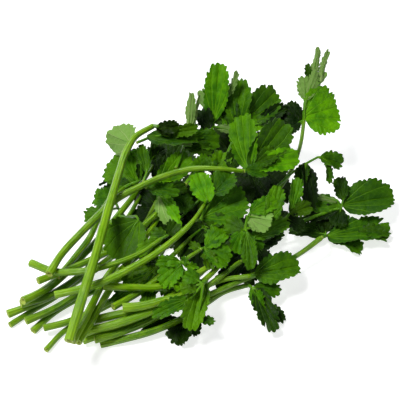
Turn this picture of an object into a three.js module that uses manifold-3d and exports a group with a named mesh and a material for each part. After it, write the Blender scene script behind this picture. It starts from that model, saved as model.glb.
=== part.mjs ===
// A loose bunch of flat-leaf coriander lying on its side.
// Millimetres, +Z up, +X from the cut stem ends to the leaf tips, standing on z = 0.
import * as THREE from "three";
import { mergeVertices } from "three/addons/utils/BufferGeometryUtils.js";
import Module from "manifold-3d";

const wasm = await Module();
wasm.setup();

// ---- driving dimensions (mm) ----
const STEM_SIDES = 6; // facets round a stem
const STALK_SIDES = 4; // facets round a leaf stalk
const LEAF_THICKNESS = 0.7; // leaflet blade
const STALK_SCALE = 1.0; // thickness of the leaf stalks
const PETIOLULE_RADIUS = 0.75; // stalk of one leaflet, where it enters the blade
const PETIOLULE_REACH = 0.16; // how far up the midrib it runs, 0 base to 1 tip
const BLADE_SCALE = 1.0; // blade outline inside its net
const GROUND = 0.0; // resting plane
const CLEARANCE = 0.35; // gap kept between a leaf and a stem it meets
const SIMPLIFY = 0.12; // flat facets closer than this are merged
const CORE = 0.5; // where the outline is centred along the midrib

// stem: [x, y, z, radius] along the centreline, from the cut end up
// leaf: stalks as above, and leaflets, each a 4 x 4 bicubic net (rows base to tip, columns across),
// with the point of the stalk it grows from
const STEMS = {
  stem_01: [[-110.89, -36.57, 25.87, 2.4], [-99.2, -26.24, 30.18, 2.45], [-87.47, -16.36, 35.4, 2.46], [-75.65, -6.22, 39.87, 2.44], [-64.13, 4.65, 43.22, 2.4], [-52.78, 15.98, 45.53, 2.33], [-41.39, 27.4, 47.0, 2.24], [-30.03, 38.93, 47.73, 2.14], [-18.56, 50.35, 47.8, 2.03], [-5.46, 59.81, 47.21, 1.89], [9.98, 63.83, 45.55, 1.7]],
  stem_02: [[-107.78, -34.66, 21.7, 2.0], [-95.81, -25.16, 19.64, 2.04], [-83.68, -15.65, 19.02, 2.04], [-71.52, -6.16, 18.67, 2.01], [-58.15, 1.51, 18.25, 1.92], [-44.44, 8.56, 17.78, 1.8], [-31.36, 16.71, 17.12, 1.65], [-19.03, 25.89, 15.85, 1.49], [-7.35, 35.65, 13.34, 1.32]],
  stem_03: [[-104.11, -32.71, 16.25, 2.0], [-90.54, -24.04, 15.43, 2.05], [-77.1, -15.12, 16.01, 2.04], [-63.3, -6.82, 16.89, 1.99], [-49.07, 0.74, 17.76, 1.88], [-34.86, 8.36, 18.48, 1.72], [-20.9, 16.43, 18.72, 1.53], [-7.56, 25.46, 17.85, 1.33]],
  stem_04: [[-97.67, 6.31, 30.76, 1.99], [-84.65, 14.92, 31.25, 2.04], [-70.08, 19.99, 33.68, 2.07], [-55.19, 23.91, 36.52, 2.07], [-40.16, 27.36, 39.16, 2.03], [-24.81, 26.16, 41.59, 1.95], [-9.54, 23.38, 43.62, 1.83], [5.06, 18.18, 45.11, 1.66], [17.61, 8.9, 45.78, 1.46], [29.59, -1.06, 44.8, 1.22]],
  stem_05: [[-99.26, 25.0, 24.45, 2.15], [-92.64, 9.88, 26.41, 2.06], [-80.85, -1.47, 29.23, 1.91], [-65.78, -8.2, 31.29, 1.69], [-49.41, -10.85, 32.04, 1.4], [-33.21, -7.31, 30.69, 1.11]],
  stem_06: [[-102.05, 12.51, 22.46, 1.96], [-85.86, 11.87, 20.93, 1.96], [-69.64, 10.55, 20.82, 1.93], [-53.38, 10.22, 21.12, 1.89], [-37.39, 13.24, 21.54, 1.84], [-21.71, 17.65, 22.12, 1.78], [-6.23, 22.68, 22.82, 1.7], [9.0, 28.41, 23.53, 1.61], [24.67, 32.85, 24.03, 1.51]],
  stem_07: [[-89.7, 12.91, 17.47, 1.56], [-75.1, 19.78, 17.98, 1.8], [-60.74, 27.06, 19.17, 1.87], [-48.09, 37.08, 19.89, 1.78], [-35.04, 46.58, 20.08, 1.56], [-20.15, 52.51, 18.52, 1.2]],
  stem_08: [[-114.37, 8.14, 18.11, 2.22], [-99.94, 11.37, 14.43, 2.2], [-85.48, 15.94, 13.14, 2.17], [-71.45, 21.93, 12.75, 2.11], [-57.22, 27.48, 12.75, 2.03], [-43.41, 33.96, 12.95, 1.93], [-29.8, 40.88, 13.25, 1.81], [-16.29, 47.97, 13.48, 1.68], [-3.53, 56.34, 13.38, 1.53], [8.86, 65.21, 12.6, 1.38]],
  stem_09: [[-100.24, -3.35, 24.14, 2.05], [-86.28, -9.17, 25.58, 2.15], [-72.1, -13.99, 28.03, 2.16], [-57.21, -15.9, 30.4, 2.07], [-42.16, -16.33, 32.47, 1.88], [-27.24, -14.1, 34.13, 1.63], [-12.71, -9.74, 35.04, 1.31], [0.49, -2.27, 34.52, 0.99]],
  stem_10: [[-74.7, -12.26, 22.75, 2.21], [-62.23, -20.39, 20.71, 2.16], [-49.6, -28.44, 20.16, 2.07], [-35.08, -32.16, 19.88, 1.94], [-20.07, -32.21, 19.83, 1.78], [-5.44, -28.83, 19.76, 1.6], [8.87, -24.29, 18.79, 1.41]],
  stem_11: [[-76.26, -23.26, 16.59, 1.91], [-64.4, -22.23, 15.61, 1.86], [-52.47, -22.03, 17.02, 1.74], [-40.71, -21.49, 19.44, 1.56], [-29.13, -22.12, 22.52, 1.31], [-17.55, -23.16, 25.53, 1.0]],
  stem_12: [[-73.92, -30.05, 20.53, 2.19], [-65.12, -34.89, 20.7, 2.19], [-55.68, -38.32, 21.27, 2.1], [-46.11, -41.39, 21.48, 1.92], [-36.18, -42.74, 21.49, 1.67], [-26.33, -40.9, 21.03, 1.37]],
  stem_13: [[-113.94, 13.07, 10.76, 2.21], [-98.16, 10.29, 9.81, 2.03], [-82.17, 11.47, 10.15, 1.86], [-66.74, 15.86, 10.55, 1.71], [-52.1, 22.48, 10.78, 1.58], [-38.04, 30.28, 10.83, 1.45], [-24.46, 38.88, 10.67, 1.33], [-11.52, 48.41, 10.22, 1.22]],
  stem_14: [[-89.44, -30.13, 1.27, 2.14], [-76.04, -37.3, 3.99, 2.08], [-61.35, -42.34, 5.13, 2.0], [-45.99, -44.2, 5.35, 1.89], [-30.45, -43.12, 5.12, 1.77], [-14.93, -41.9, 5.03, 1.61], [-0.4, -46.26, 5.7, 1.41]],
  stem_15: [[-93.05, -30.68, 7.87, 1.87], [-77.66, -34.65, 7.76, 1.81], [-62.01, -37.29, 8.66, 1.73], [-46.29, -38.75, 10.51, 1.64], [-30.56, -39.25, 12.81, 1.53], [-14.82, -38.62, 14.91, 1.41], [0.92, -36.62, 15.73, 1.28]],
  stem_16: [[-95.59, -23.69, 9.54, 2.42], [-82.27, -31.01, 13.04, 2.25], [-67.7, -36.17, 15.44, 2.06], [-52.39, -38.88, 16.94, 1.86], [-36.8, -39.6, 17.7, 1.66], [-21.5, -36.57, 17.79, 1.46], [-6.72, -31.53, 16.95, 1.27]],
  stem_17: [[-88.5, -19.35, 9.61, 2.17], [-75.36, -26.8, 13.25, 2.12], [-61.41, -33.35, 14.98, 2.01], [-46.0, -34.8, 15.6, 1.87], [-30.64, -32.33, 15.55, 1.69], [-15.77, -27.85, 14.85, 1.49], [-1.82, -21.29, 12.78, 1.28]],
  stem_18: [[-116.02, -16.66, 2.01, 1.46], [-101.84, -10.71, 1.29, 1.53], [-86.49, -9.52, 1.34, 1.55], [-71.08, -9.58, 1.89, 1.52], [-55.79, -11.35, 2.88, 1.43], [-40.49, -12.53, 4.24, 1.3], [-25.15, -11.86, 5.7, 1.13]],
  stem_19: [[-115.12, -0.55, 1.62, 1.89], [-100.07, 3.81, 1.99, 1.86], [-84.44, 4.41, 2.79, 1.78], [-68.88, 2.51, 3.95, 1.67], [-53.33, 0.76, 5.42, 1.52], [-37.73, 1.13, 7.14, 1.35], [-22.44, 4.23, 9.04, 1.15]],
  stem_20: [[-110.48, -5.47, 5.71, 1.89], [-95.96, -9.47, 5.36, 1.84], [-80.89, -10.55, 5.65, 1.78], [-65.79, -10.56, 6.15, 1.69], [-50.72, -9.9, 6.78, 1.58], [-35.94, -6.84, 7.45, 1.46], [-21.32, -3.06, 8.13, 1.32], [-6.94, 1.56, 8.74, 1.16]],
  stem_21: [[-123.45, 10.48, 1.93, 1.63], [-108.0, 12.94, 1.17, 1.63], [-92.36, 13.99, 1.52, 1.6], [-76.82, 15.96, 2.26, 1.53], [-61.22, 17.14, 3.22, 1.43], [-46.0, 20.68, 4.26, 1.31], [-31.15, 25.65, 5.15, 1.16]],
  stem_22: [[-121.72, 15.02, 5.78, 2.19], [-106.76, 13.42, 5.42, 2.03], [-91.75, 12.44, 5.77, 1.87], [-76.74, 13.6, 6.28, 1.72], [-61.86, 15.85, 6.86, 1.58], [-47.12, 18.9, 7.47, 1.44], [-32.54, 22.61, 7.99, 1.31], [-18.26, 27.41, 8.14, 1.18]],
  stem_23: [[-116.33, 4.02, 6.59, 2.18], [-100.25, 2.64, 6.69, 2.02], [-83.85, 3.25, 7.25, 1.88], [-67.45, 3.43, 8.01, 1.73], [-51.14, 5.0, 8.87, 1.58], [-34.98, 7.71, 9.82, 1.45], [-19.04, 11.55, 10.76, 1.31], [-3.49, 16.74, 11.46, 1.18]],
  stem_24: [[-96.82, -23.8, 3.74, 2.41], [-81.19, -29.35, 6.53, 2.26], [-64.64, -32.73, 8.09, 2.1], [-47.8, -34.4, 9.31, 1.92], [-30.92, -35.86, 10.37, 1.73], [-14.26, -38.64, 11.73, 1.51], [-0.28, -47.48, 14.26, 1.27]],
  stem_25: [[-76.16, -26.54, 1.07, 1.62], [-60.99, -32.27, 3.83, 1.6], [-45.24, -36.62, 5.9, 1.58], [-29.24, -40.0, 7.71, 1.56], [-13.07, -42.73, 9.27, 1.54], [3.08, -45.61, 10.64, 1.52], [19.13, -49.03, 11.95, 1.5], [35.47, -49.83, 13.26, 1.48], [51.82, -48.48, 14.72, 1.46]],
  stem_26: [[-10.54, -27.1, 18.03, 1.42], [4.71, -20.3, 14.67, 1.41], [20.85, -14.81, 14.07, 1.39], [37.24, -10.39, 15.73, 1.36], [53.26, -5.87, 19.43, 1.31], [68.41, -0.57, 25.17, 1.26], [81.47, 7.43, 32.63, 1.2], [92.56, 17.66, 40.57, 1.13]],
};

const LEAVES = {
  leaf_01: {
    joins: "stem_01",
    stalks: [[[10.37, 63.87, 45.5, 1.24], [8.54, 58.59, 49.72, 1.09], [6.58, 52.95, 54.23, 0.93]]],
    leaflets: [
      { shape: 0, tone: 0.12, root: [8.31, 57.95, 50.23, 1.07], net: [[6.17, 54.55, 46.01], [7.39, 56.49, 48.06], [8.54, 58.32, 50.2], [9.64, 60.02, 52.45], [9.96, 51.75, 46.28], [11.35, 54.07, 48.02], [12.51, 55.9, 50.17], [13.44, 57.24, 52.71], [13.95, 49.39, 46.2], [15.42, 51.9, 47.79], [16.58, 53.73, 49.93], [17.44, 54.89, 52.61], [18.24, 47.71, 45.57], [19.68, 50.14, 47.22], [20.85, 51.99, 49.36], [21.75, 53.24, 51.97]] },
      { shape: 1, tone: 0.15, root: [8.38, 58.13, 50.08, 1.08], net: [[5.95, 56.81, 47.74], [7.5, 57.5, 48.89], [9.03, 58.15, 50.08], [10.53, 58.77, 51.33], [7.94, 53.68, 46.81], [9.61, 54.53, 47.74], [11.14, 55.18, 48.94], [12.52, 55.64, 50.39], [10.1, 50.79, 45.56], [11.82, 51.72, 46.39], [13.35, 52.38, 47.58], [14.69, 52.76, 49.13], [12.53, 48.29, 43.8], [14.23, 49.18, 44.68], [15.76, 49.84, 45.87], [17.13, 50.26, 47.37]] },
    ],
  },
  leaf_02: {
    joins: "stem_01",
    stalks: [[[-7.35, 55.37, 46.5, 0.93], [-2.4, 56.83, 44.83, 0.86], [2.55, 58.41, 43.24, 0.8]]],
    leaflets: [
      { shape: 1, tone: 0.38, root: [1.87, 58.19, 43.45, 0.81], net: [[-3.19, 51.35, 43.44], [0.23, 56.17, 43.29], [3.56, 60.85, 43.55], [6.78, 65.37, 44.22], [4.45, 44.77, 44.17], [8.35, 50.14, 42.69], [11.7, 54.72, 42.99], [14.49, 58.54, 45.08], [12.51, 38.77, 43.62], [16.66, 44.35, 41.52], [20.03, 48.86, 41.85], [22.63, 52.31, 44.63], [21.21, 33.65, 41.12], [25.28, 39.02, 39.36], [28.68, 43.46, 39.72], [31.42, 46.98, 42.2]] },
      { shape: 0, tone: 0.4, root: [2.55, 58.41, 43.24, 0.8], net: [[13.09, 48.76, 42.29], [14.05, 50.99, 43.94], [15.02, 53.24, 45.6], [15.99, 55.5, 47.27], [17.87, 46.04, 43.14], [19.09, 48.62, 44.39], [20.07, 50.86, 46.05], [20.79, 52.76, 48.12], [22.76, 43.44, 43.83], [24.1, 46.18, 44.9], [25.08, 48.42, 46.56], [25.69, 50.16, 48.82], [27.77, 41.01, 44.33], [29.07, 43.67, 45.49], [30.05, 45.91, 47.15], [30.72, 47.72, 49.33]] },
      { shape: 3, tone: 0.6, root: [2.55, 58.41, 43.24, 0.8], net: [[10.79, 53.45, 44.55], [10.05, 52.94, 43.38], [9.35, 52.47, 42.18], [8.68, 52.05, 40.93], [15.43, 49.49, 43.39], [14.55, 48.78, 42.39], [13.85, 48.31, 41.18], [13.33, 48.1, 39.78], [19.9, 45.28, 42.45], [18.95, 44.46, 41.52], [18.25, 44.0, 40.31], [17.8, 43.87, 38.83], [24.07, 40.65, 41.82], [23.16, 39.88, 40.86], [22.46, 39.41, 39.65], [21.98, 39.24, 38.2]] },
    ],
  },
  leaf_03: {
    joins: "stem_01",
    stalks: [[[-7.3, 61.09, 44.86, 0.87], [-5.27, 66.18, 40.76, 0.82], [-3.25, 71.28, 36.67, 0.77]]],
    leaflets: [
      { shape: 1, tone: 0.75, root: [-7.3, 61.09, 44.86, 0.87], net: [[-16.06, 58.31, 34.02], [-11.26, 59.58, 40.0], [-6.21, 60.8, 45.7], [-0.9, 61.99, 51.13], [-15.73, 65.22, 31.27], [-12.16, 66.64, 38.4], [-7.06, 67.87, 44.15], [-0.43, 68.89, 48.54], [-16.48, 72.44, 29.4], [-13.47, 73.94, 37.1], [-8.33, 75.17, 42.91], [-1.05, 76.11, 46.82], [-18.87, 80.05, 28.87], [-15.53, 81.52, 36.37], [-10.34, 82.74, 42.23], [-3.3, 83.72, 46.46]] },
    ],
  },
  leaf_04: {
    joins: "stem_07",
    stalks: [[[-19.78, 52.64, 18.45, 1.23], [-17.51, 52.4, 18.95, 1.07], [-15.2, 52.18, 19.44, 0.92]]],
    leaflets: [
      { shape: 0, tone: 0.45, root: [-15.2, 52.18, 19.44, 0.92], net: [[-1.76, 51.01, 25.83], [-8.56, 50.55, 21.27], [-15.54, 49.97, 17.01], [-22.69, 49.28, 13.06], [-3.61, 59.07, 28.04], [-9.73, 58.87, 22.34], [-16.75, 58.29, 18.06], [-24.65, 57.31, 15.19], [-4.73, 67.56, 29.1], [-10.56, 67.48, 22.85], [-17.61, 66.89, 18.54], [-25.89, 65.77, 16.17], [-4.73, 76.63, 28.4], [-10.75, 76.49, 22.38], [-17.85, 75.88, 18.05], [-26.0, 74.82, 15.4]] },
      { shape: 0, tone: 0.3, root: [-15.75, 52.23, 19.33, 0.96], net: [[-12.86, 56.17, 21.13], [-14.72, 53.09, 19.32], [-16.61, 50.0, 17.62], [-18.53, 46.9, 16.05], [-16.17, 58.82, 20.9], [-17.81, 55.86, 18.6], [-19.69, 52.76, 16.9], [-21.82, 49.52, 15.81], [-19.26, 61.61, 20.15], [-20.79, 58.71, 17.62], [-22.67, 55.6, 15.92], [-24.9, 52.29, 15.06], [-22.02, 64.63, 18.63], [-23.6, 61.68, 16.2], [-25.47, 58.57, 14.51], [-27.65, 55.27, 13.53]] },
      { shape: 0, tone: 0.5, root: [-15.2, 52.18, 19.44, 0.92], net: [[-6.82, 48.22, 20.88], [-10.02, 49.98, 20.37], [-13.27, 51.67, 20.0], [-16.57, 53.28, 19.76], [-4.59, 53.52, 25.38], [-7.57, 55.61, 24.3], [-10.82, 57.3, 23.92], [-14.37, 58.6, 24.26], [-2.04, 59.28, 29.18], [-4.92, 61.52, 27.82], [-8.18, 63.22, 27.44], [-11.85, 64.37, 28.05], [0.99, 65.72, 31.85], [-1.95, 67.89, 30.62], [-5.22, 69.59, 30.24], [-8.84, 70.82, 30.72]] },
      { shape: 1, tone: 0.2, root: [-15.2, 52.18, 19.44, 0.92], net: [[-6.23, 48.07, 19.09], [-8.7, 49.42, 20.12], [-11.13, 50.76, 21.16], [-13.53, 52.1, 22.21], [-2.31, 51.36, 23.26], [-4.66, 53.03, 23.88], [-7.1, 54.37, 24.91], [-9.64, 55.38, 26.37], [1.82, 55.14, 26.88], [-0.49, 56.96, 27.29], [-2.94, 58.3, 28.33], [-5.55, 59.14, 29.98], [6.24, 59.67, 29.6], [3.89, 61.42, 30.1], [1.42, 62.74, 31.14], [-1.17, 63.66, 32.69]] },
    ],
  },
  leaf_05: {
    joins: "stem_04",
    stalks: [[[-20.69, 28.48, 41.63, 0.89], [-15.12, 35.05, 38.08, 0.85], [-9.5, 41.65, 34.67, 0.81], [-3.85, 48.31, 31.41, 0.77], [1.85, 54.99, 28.29, 0.73]]],
    leaflets: [
      { shape: 1, tone: 0.45, root: [-11.34, 39.49, 35.77, 0.82], net: [[-7.2, 38.73, 35.98], [-9.8, 39.23, 36.11], [-12.39, 39.86, 36.17], [-14.99, 40.62, 36.16], [-5.54, 44.02, 38.88], [-7.61, 44.68, 38.5], [-10.23, 45.29, 38.57], [-13.4, 45.84, 39.09], [-3.29, 49.57, 41.27], [-5.13, 50.29, 40.67], [-7.77, 50.88, 40.76], [-11.22, 51.32, 41.53], [-0.14, 55.49, 42.87], [-2.14, 56.12, 42.42], [-4.81, 56.68, 42.53], [-8.16, 57.15, 43.2]] },
      { shape: 1, tone: 0.4, root: [1.85, 54.99, 28.29, 0.73], net: [[4.16, 53.6, 26.49], [2.44, 54.34, 27.36], [0.74, 54.99, 28.31], [-0.95, 55.53, 29.32], [6.48, 55.05, 29.21], [4.74, 56.24, 29.76], [3.03, 56.88, 30.7], [1.35, 56.97, 32.04], [8.79, 56.94, 31.63], [7.03, 58.34, 32.02], [5.31, 58.98, 32.96], [3.64, 58.85, 34.44], [11.07, 59.5, 33.56], [9.31, 60.8, 34.03], [7.59, 61.44, 34.96], [5.91, 61.41, 36.37]] },
      { shape: 0, tone: 0.15, root: [1.85, 54.99, 28.29, 0.73], net: [[3.21, 51.92, 27.52], [2.98, 54.19, 28.61], [2.72, 56.44, 29.76], [2.44, 58.65, 30.97], [6.27, 51.62, 28.99], [6.15, 54.05, 29.79], [5.9, 56.29, 30.94], [5.5, 58.35, 32.44], [9.47, 51.5, 30.11], [9.41, 54.01, 30.78], [9.16, 56.25, 31.93], [8.72, 58.24, 33.56], [12.9, 51.69, 30.69], [12.81, 54.16, 31.43], [12.56, 56.4, 32.58], [12.15, 58.43, 34.15]] },
    ],
  },
  leaf_06: {
    joins: "stem_13",
    stalks: [[[-29.35, 38.48, 10.4, 0.88], [-28.47, 45.93, 9.6, 0.81], [-26.39, 53.14, 8.9, 0.75], [-25.97, 60.54, 8.15, 0.68]], [[-27.99, 48.0, 9.46, 0.79], [-32.33, 46.55, 12.15, 0.7], [-36.65, 45.09, 14.84, 0.61]]],
    leaflets: [
      { shape: 0, tone: 0.55, root: [-25.61, 57.53, 8.47, 0.71], net: [[-22.03, 62.4, 11.46], [-24.36, 59.26, 9.32], [-26.74, 56.09, 7.37], [-29.19, 52.89, 5.61], [-25.27, 65.33, 11.67], [-27.24, 62.39, 8.73], [-29.63, 59.21, 6.77], [-32.43, 55.78, 5.81], [-28.25, 68.44, 11.24], [-30.05, 65.59, 7.91], [-32.43, 62.4, 5.95], [-35.39, 58.86, 5.37], [-30.81, 71.83, 9.84], [-32.69, 68.91, 6.7], [-35.06, 65.71, 4.74], [-37.94, 62.21, 3.98]] },
      { shape: 0, tone: 0.5, root: [-36.35, 45.19, 14.66, 0.61], net: [[-33.78, 48.59, 14.35], [-35.66, 44.91, 13.4], [-37.55, 41.27, 12.58], [-39.46, 37.67, 11.89], [-38.15, 51.77, 13.85], [-39.86, 48.12, 12.35], [-41.74, 44.47, 11.53], [-43.78, 40.8, 11.39], [-42.36, 55.02, 12.68], [-43.98, 51.38, 10.92], [-45.84, 47.7, 10.1], [-47.94, 44.0, 10.23], [-46.29, 58.36, 10.5], [-47.93, 54.69, 8.87], [-49.78, 51.0, 8.05], [-51.83, 47.29, 8.06]] },
      { shape: 3, tone: 0.1, root: [-25.97, 60.54, 8.15, 0.68], net: [[-20.28, 67.07, 16.03], [-20.58, 66.11, 15.94], [-20.84, 65.22, 15.79], [-21.07, 64.38, 15.59], [-22.95, 67.98, 15.39], [-23.22, 67.05, 15.26], [-23.48, 66.15, 15.11], [-23.72, 65.29, 14.95], [-25.56, 68.96, 14.64], [-25.82, 68.03, 14.48], [-26.08, 67.13, 14.34], [-26.33, 66.26, 14.2], [-28.1, 70.03, 13.69], [-28.36, 69.1, 13.55], [-28.62, 68.2, 13.41], [-28.86, 67.33, 13.26]] },
      { shape: 0, tone: 0.35, root: [-25.86, 60.11, 8.2, 0.68], net: [[-20.09, 61.42, 11.86], [-22.15, 61.28, 10.85], [-24.22, 61.11, 9.9], [-26.32, 60.93, 9.02], [-20.63, 63.63, 12.86], [-22.57, 63.6, 11.58], [-24.65, 63.44, 10.63], [-26.86, 63.14, 10.01], [-21.04, 65.97, 13.57], [-22.93, 65.99, 12.16], [-25.01, 65.82, 11.21], [-27.28, 65.47, 10.72], [-21.27, 68.5, 13.84], [-23.19, 68.49, 12.5], [-25.27, 68.32, 11.55], [-27.52, 68.0, 10.99]] },
    ],
  },
  leaf_07: {
    joins: null,
    stalks: [[[7.04, 35.38, 32.94, 1.02], [13.43, 40.25, 34.62, 0.95], [19.72, 45.23, 36.34, 0.88], [25.9, 50.32, 38.12, 0.81]]],
    leaflets: [
      { shape: 0, tone: 0.45, root: [24.65, 49.28, 37.76, 0.82], net: [[20.46, 43.46, 34.7], [23.34, 47.0, 36.88], [26.17, 50.43, 39.32], [28.97, 53.76, 42.02], [25.57, 39.22, 34.95], [28.74, 43.31, 36.06], [31.59, 46.74, 38.5], [34.12, 49.5, 42.27], [30.93, 35.44, 34.29], [34.25, 39.8, 34.89], [37.11, 43.22, 37.33], [39.53, 45.7, 41.61], [36.65, 32.39, 32.26], [39.93, 36.61, 33.11], [42.81, 40.02, 35.55], [45.3, 42.62, 39.58]] },
      { shape: 3, tone: 0.75, root: [25.9, 50.32, 38.12, 0.81], net: [[24.43, 53.06, 37.42], [25.63, 50.87, 38.02], [26.93, 48.73, 38.54], [28.36, 46.67, 38.98], [28.38, 56.65, 45.2], [29.01, 54.19, 46.13], [30.31, 52.06, 46.64], [32.27, 50.26, 46.72], [31.76, 59.95, 53.24], [32.13, 57.38, 54.32], [33.41, 55.25, 54.81], [35.63, 53.56, 54.71], [34.31, 62.85, 61.71], [34.79, 60.33, 62.7], [36.07, 58.2, 63.18], [38.15, 56.46, 63.14]] },
      { shape: 3, tone: 0.5, root: [25.9, 50.32, 38.12, 0.81], net: [[28.94, 48.94, 40.07], [29.76, 48.85, 39.66], [30.57, 48.79, 39.25], [31.38, 48.75, 38.82], [32.69, 53.16, 46.08], [33.52, 52.97, 45.74], [34.34, 52.91, 45.33], [35.14, 52.99, 44.85], [36.55, 56.74, 52.46], [37.4, 56.5, 52.16], [38.22, 56.44, 51.75], [39.01, 56.57, 51.24], [40.6, 59.25, 59.42], [41.45, 59.03, 59.11], [42.27, 58.98, 58.71], [43.07, 59.09, 58.23]] },
      { shape: 0, tone: 0.68, root: [25.9, 50.32, 38.12, 0.81], net: [[29.28, 46.83, 37.39], [27.73, 48.72, 37.82], [26.14, 50.55, 38.32], [24.51, 52.31, 38.91], [31.39, 47.99, 39.93], [30.05, 50.16, 39.98], [28.46, 51.99, 40.49], [26.62, 53.47, 41.45], [33.7, 49.42, 42.1], [32.46, 51.73, 41.98], [30.87, 53.56, 42.49], [28.93, 54.91, 43.63], [36.32, 51.28, 43.73], [35.03, 53.52, 43.69], [33.44, 55.35, 44.2], [31.55, 56.76, 45.25]] },
      { shape: 0, tone: 0.3, root: [20.25, 45.66, 36.49, 0.87], net: [[17.52, 42.9, 34.15], [19.24, 44.53, 36.07], [21.07, 46.33, 37.91], [23.02, 48.3, 39.65], [21.79, 39.04, 33.84], [23.62, 40.83, 35.29], [25.45, 42.61, 37.14], [27.26, 44.38, 39.41], [26.22, 35.41, 32.9], [28.1, 37.26, 34.13], [29.92, 39.01, 36.0], [31.67, 40.68, 38.52], [30.91, 32.12, 30.96], [32.74, 33.9, 32.34], [34.55, 35.64, 34.23], [36.33, 37.33, 36.64]] },
      { shape: 1, tone: 0.7, root: [23.71, 48.5, 37.48, 0.83], net: [[23.84, 45.98, 35.84], [24.13, 47.35, 36.77], [24.4, 48.69, 37.73], [24.65, 50.01, 38.74], [27.61, 44.54, 36.89], [27.98, 46.02, 37.63], [28.25, 47.36, 38.6], [28.42, 48.57, 39.79], [31.54, 43.31, 37.59], [31.96, 44.84, 38.25], [32.23, 46.19, 39.22], [32.36, 47.34, 40.49], [35.74, 42.43, 37.73], [36.13, 43.94, 38.43], [36.41, 45.28, 39.4], [36.56, 46.46, 40.64]] },
    ],
  },
  leaf_08: {
    joins: null,
    stalks: [[[7.71, 25.98, 26.42, 1.25], [14.89, 30.12, 27.06, 1.2], [22.05, 33.84, 29.08, 1.15], [28.92, 37.72, 31.72, 1.1], [35.48, 42.07, 34.43, 1.04], [41.83, 46.91, 36.79, 0.99], [48.07, 52.18, 38.36, 0.95]]],
    leaflets: [
      { shape: 0, tone: 0.74, root: [48.07, 52.18, 38.36, 0.95], net: [[54.24, 46.32, 39.85], [50.49, 50.67, 39.48], [46.51, 54.84, 39.31], [42.32, 58.81, 39.33], [58.12, 50.23, 50.31], [55.23, 55.4, 49.19], [51.27, 59.56, 49.03], [46.25, 62.69, 49.84], [62.57, 54.71, 60.1], [60.11, 60.27, 58.63], [56.17, 64.42, 58.49], [50.76, 67.14, 59.67], [67.93, 60.07, 68.94], [65.29, 65.43, 67.66], [61.37, 69.57, 67.53], [56.17, 72.47, 68.55]] },
      { shape: 0, tone: 0.62, root: [48.07, 52.18, 38.36, 0.95], net: [[45.22, 58.37, 35.98], [47.28, 55.21, 38.48], [49.44, 52.12, 40.87], [51.72, 49.1, 43.15], [47.0, 63.51, 39.62], [48.45, 60.18, 42.49], [50.62, 57.07, 44.87], [53.5, 54.17, 46.76], [48.09, 68.5, 43.72], [49.24, 65.08, 46.76], [51.41, 61.94, 49.12], [54.58, 59.09, 50.82], [48.09, 73.25, 48.52], [49.39, 69.83, 51.45], [51.55, 66.67, 53.8], [54.58, 63.76, 55.57]] },
      { shape: 3, tone: 0.5, root: [48.07, 52.18, 38.36, 0.95], net: [[58.6, 59.05, 47.96], [58.5, 56.91, 48.5], [58.44, 54.76, 49.01], [58.42, 52.6, 49.5], [62.51, 58.83, 53.64], [62.14, 56.74, 54.33], [62.07, 54.6, 54.82], [62.3, 52.41, 55.12], [65.79, 58.71, 59.63], [65.28, 56.65, 60.38], [65.2, 54.51, 60.86], [65.55, 52.31, 61.07], [68.08, 58.74, 66.17], [67.62, 56.68, 66.86], [67.53, 54.55, 67.32], [67.81, 52.37, 67.55]] },
      { shape: 0, tone: 0.1, root: [42.36, 47.34, 36.96, 0.99], net: [[46.36, 46.28, 39.08], [43.15, 47.83, 37.91], [39.9, 49.33, 36.83], [36.59, 50.8, 35.84], [47.3, 50.46, 41.92], [44.32, 52.21, 40.32], [41.05, 53.72, 39.24], [37.51, 54.99, 38.67], [48.53, 54.91, 44.24], [45.65, 56.75, 42.45], [42.38, 58.27, 41.37], [38.72, 59.46, 41.0], [50.21, 59.76, 45.78], [47.27, 61.56, 44.08], [44.0, 63.08, 42.99], [40.38, 64.32, 42.53]] },
      { shape: 1, tone: 0.4, root: [45.54, 50.0, 37.83, 0.97], net: [[48.62, 49.98, 39.05], [47.56, 49.11, 37.76], [46.5, 48.21, 36.48], [45.42, 47.31, 35.2], [52.02, 46.85, 38.37], [50.86, 45.83, 37.28], [49.8, 44.94, 35.99], [48.83, 44.18, 34.52], [55.22, 43.44, 38.06], [54.02, 42.35, 37.05], [52.95, 41.46, 35.77], [52.03, 40.77, 34.21], [58.11, 39.6, 38.33], [56.92, 38.54, 37.28], [55.85, 37.66, 35.99], [54.91, 36.93, 34.48]] },
    ],
  },
  leaf_09: {
    joins: null,
    stalks: [[[35.8, 33.14, 13.06, 1.1], [41.27, 34.51, 18.75, 1.07], [46.98, 36.33, 24.08, 1.03], [52.57, 38.28, 29.49, 0.99], [57.57, 39.68, 35.58, 0.95]]],
    leaflets: [
      { shape: 0, tone: 0.52, root: [57.57, 39.68, 35.58, 0.95], net: [[63.64, 33.28, 37.21], [59.85, 37.87, 36.33], [56.03, 42.45, 35.45], [52.16, 47.04, 34.6], [67.1, 37.37, 45.98], [64.29, 43.3, 43.79], [60.49, 47.9, 42.94], [55.67, 51.17, 43.41], [71.97, 43.41, 52.8], [69.63, 49.98, 50.01], [65.85, 54.59, 49.17], [60.6, 57.26, 50.28], [79.07, 52.51, 56.61], [76.53, 58.79, 54.13], [72.76, 63.41, 53.3], [67.75, 66.4, 54.13]] },
      { shape: 0, tone: 0.36, root: [57.57, 39.68, 35.58, 0.95], net: [[65.45, 31.61, 33.58], [63.68, 37.56, 37.16], [61.72, 43.16, 41.08], [59.56, 48.38, 45.34], [73.97, 31.11, 38.24], [72.57, 38.06, 40.91], [70.59, 43.67, 44.85], [68.05, 47.9, 50.03], [82.92, 31.6, 42.01], [81.69, 39.03, 44.26], [79.7, 44.65, 48.2], [76.97, 48.42, 53.82], [92.48, 33.6, 44.41], [91.16, 40.82, 46.88], [89.17, 46.44, 50.83], [86.51, 50.45, 56.25]] },
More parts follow.
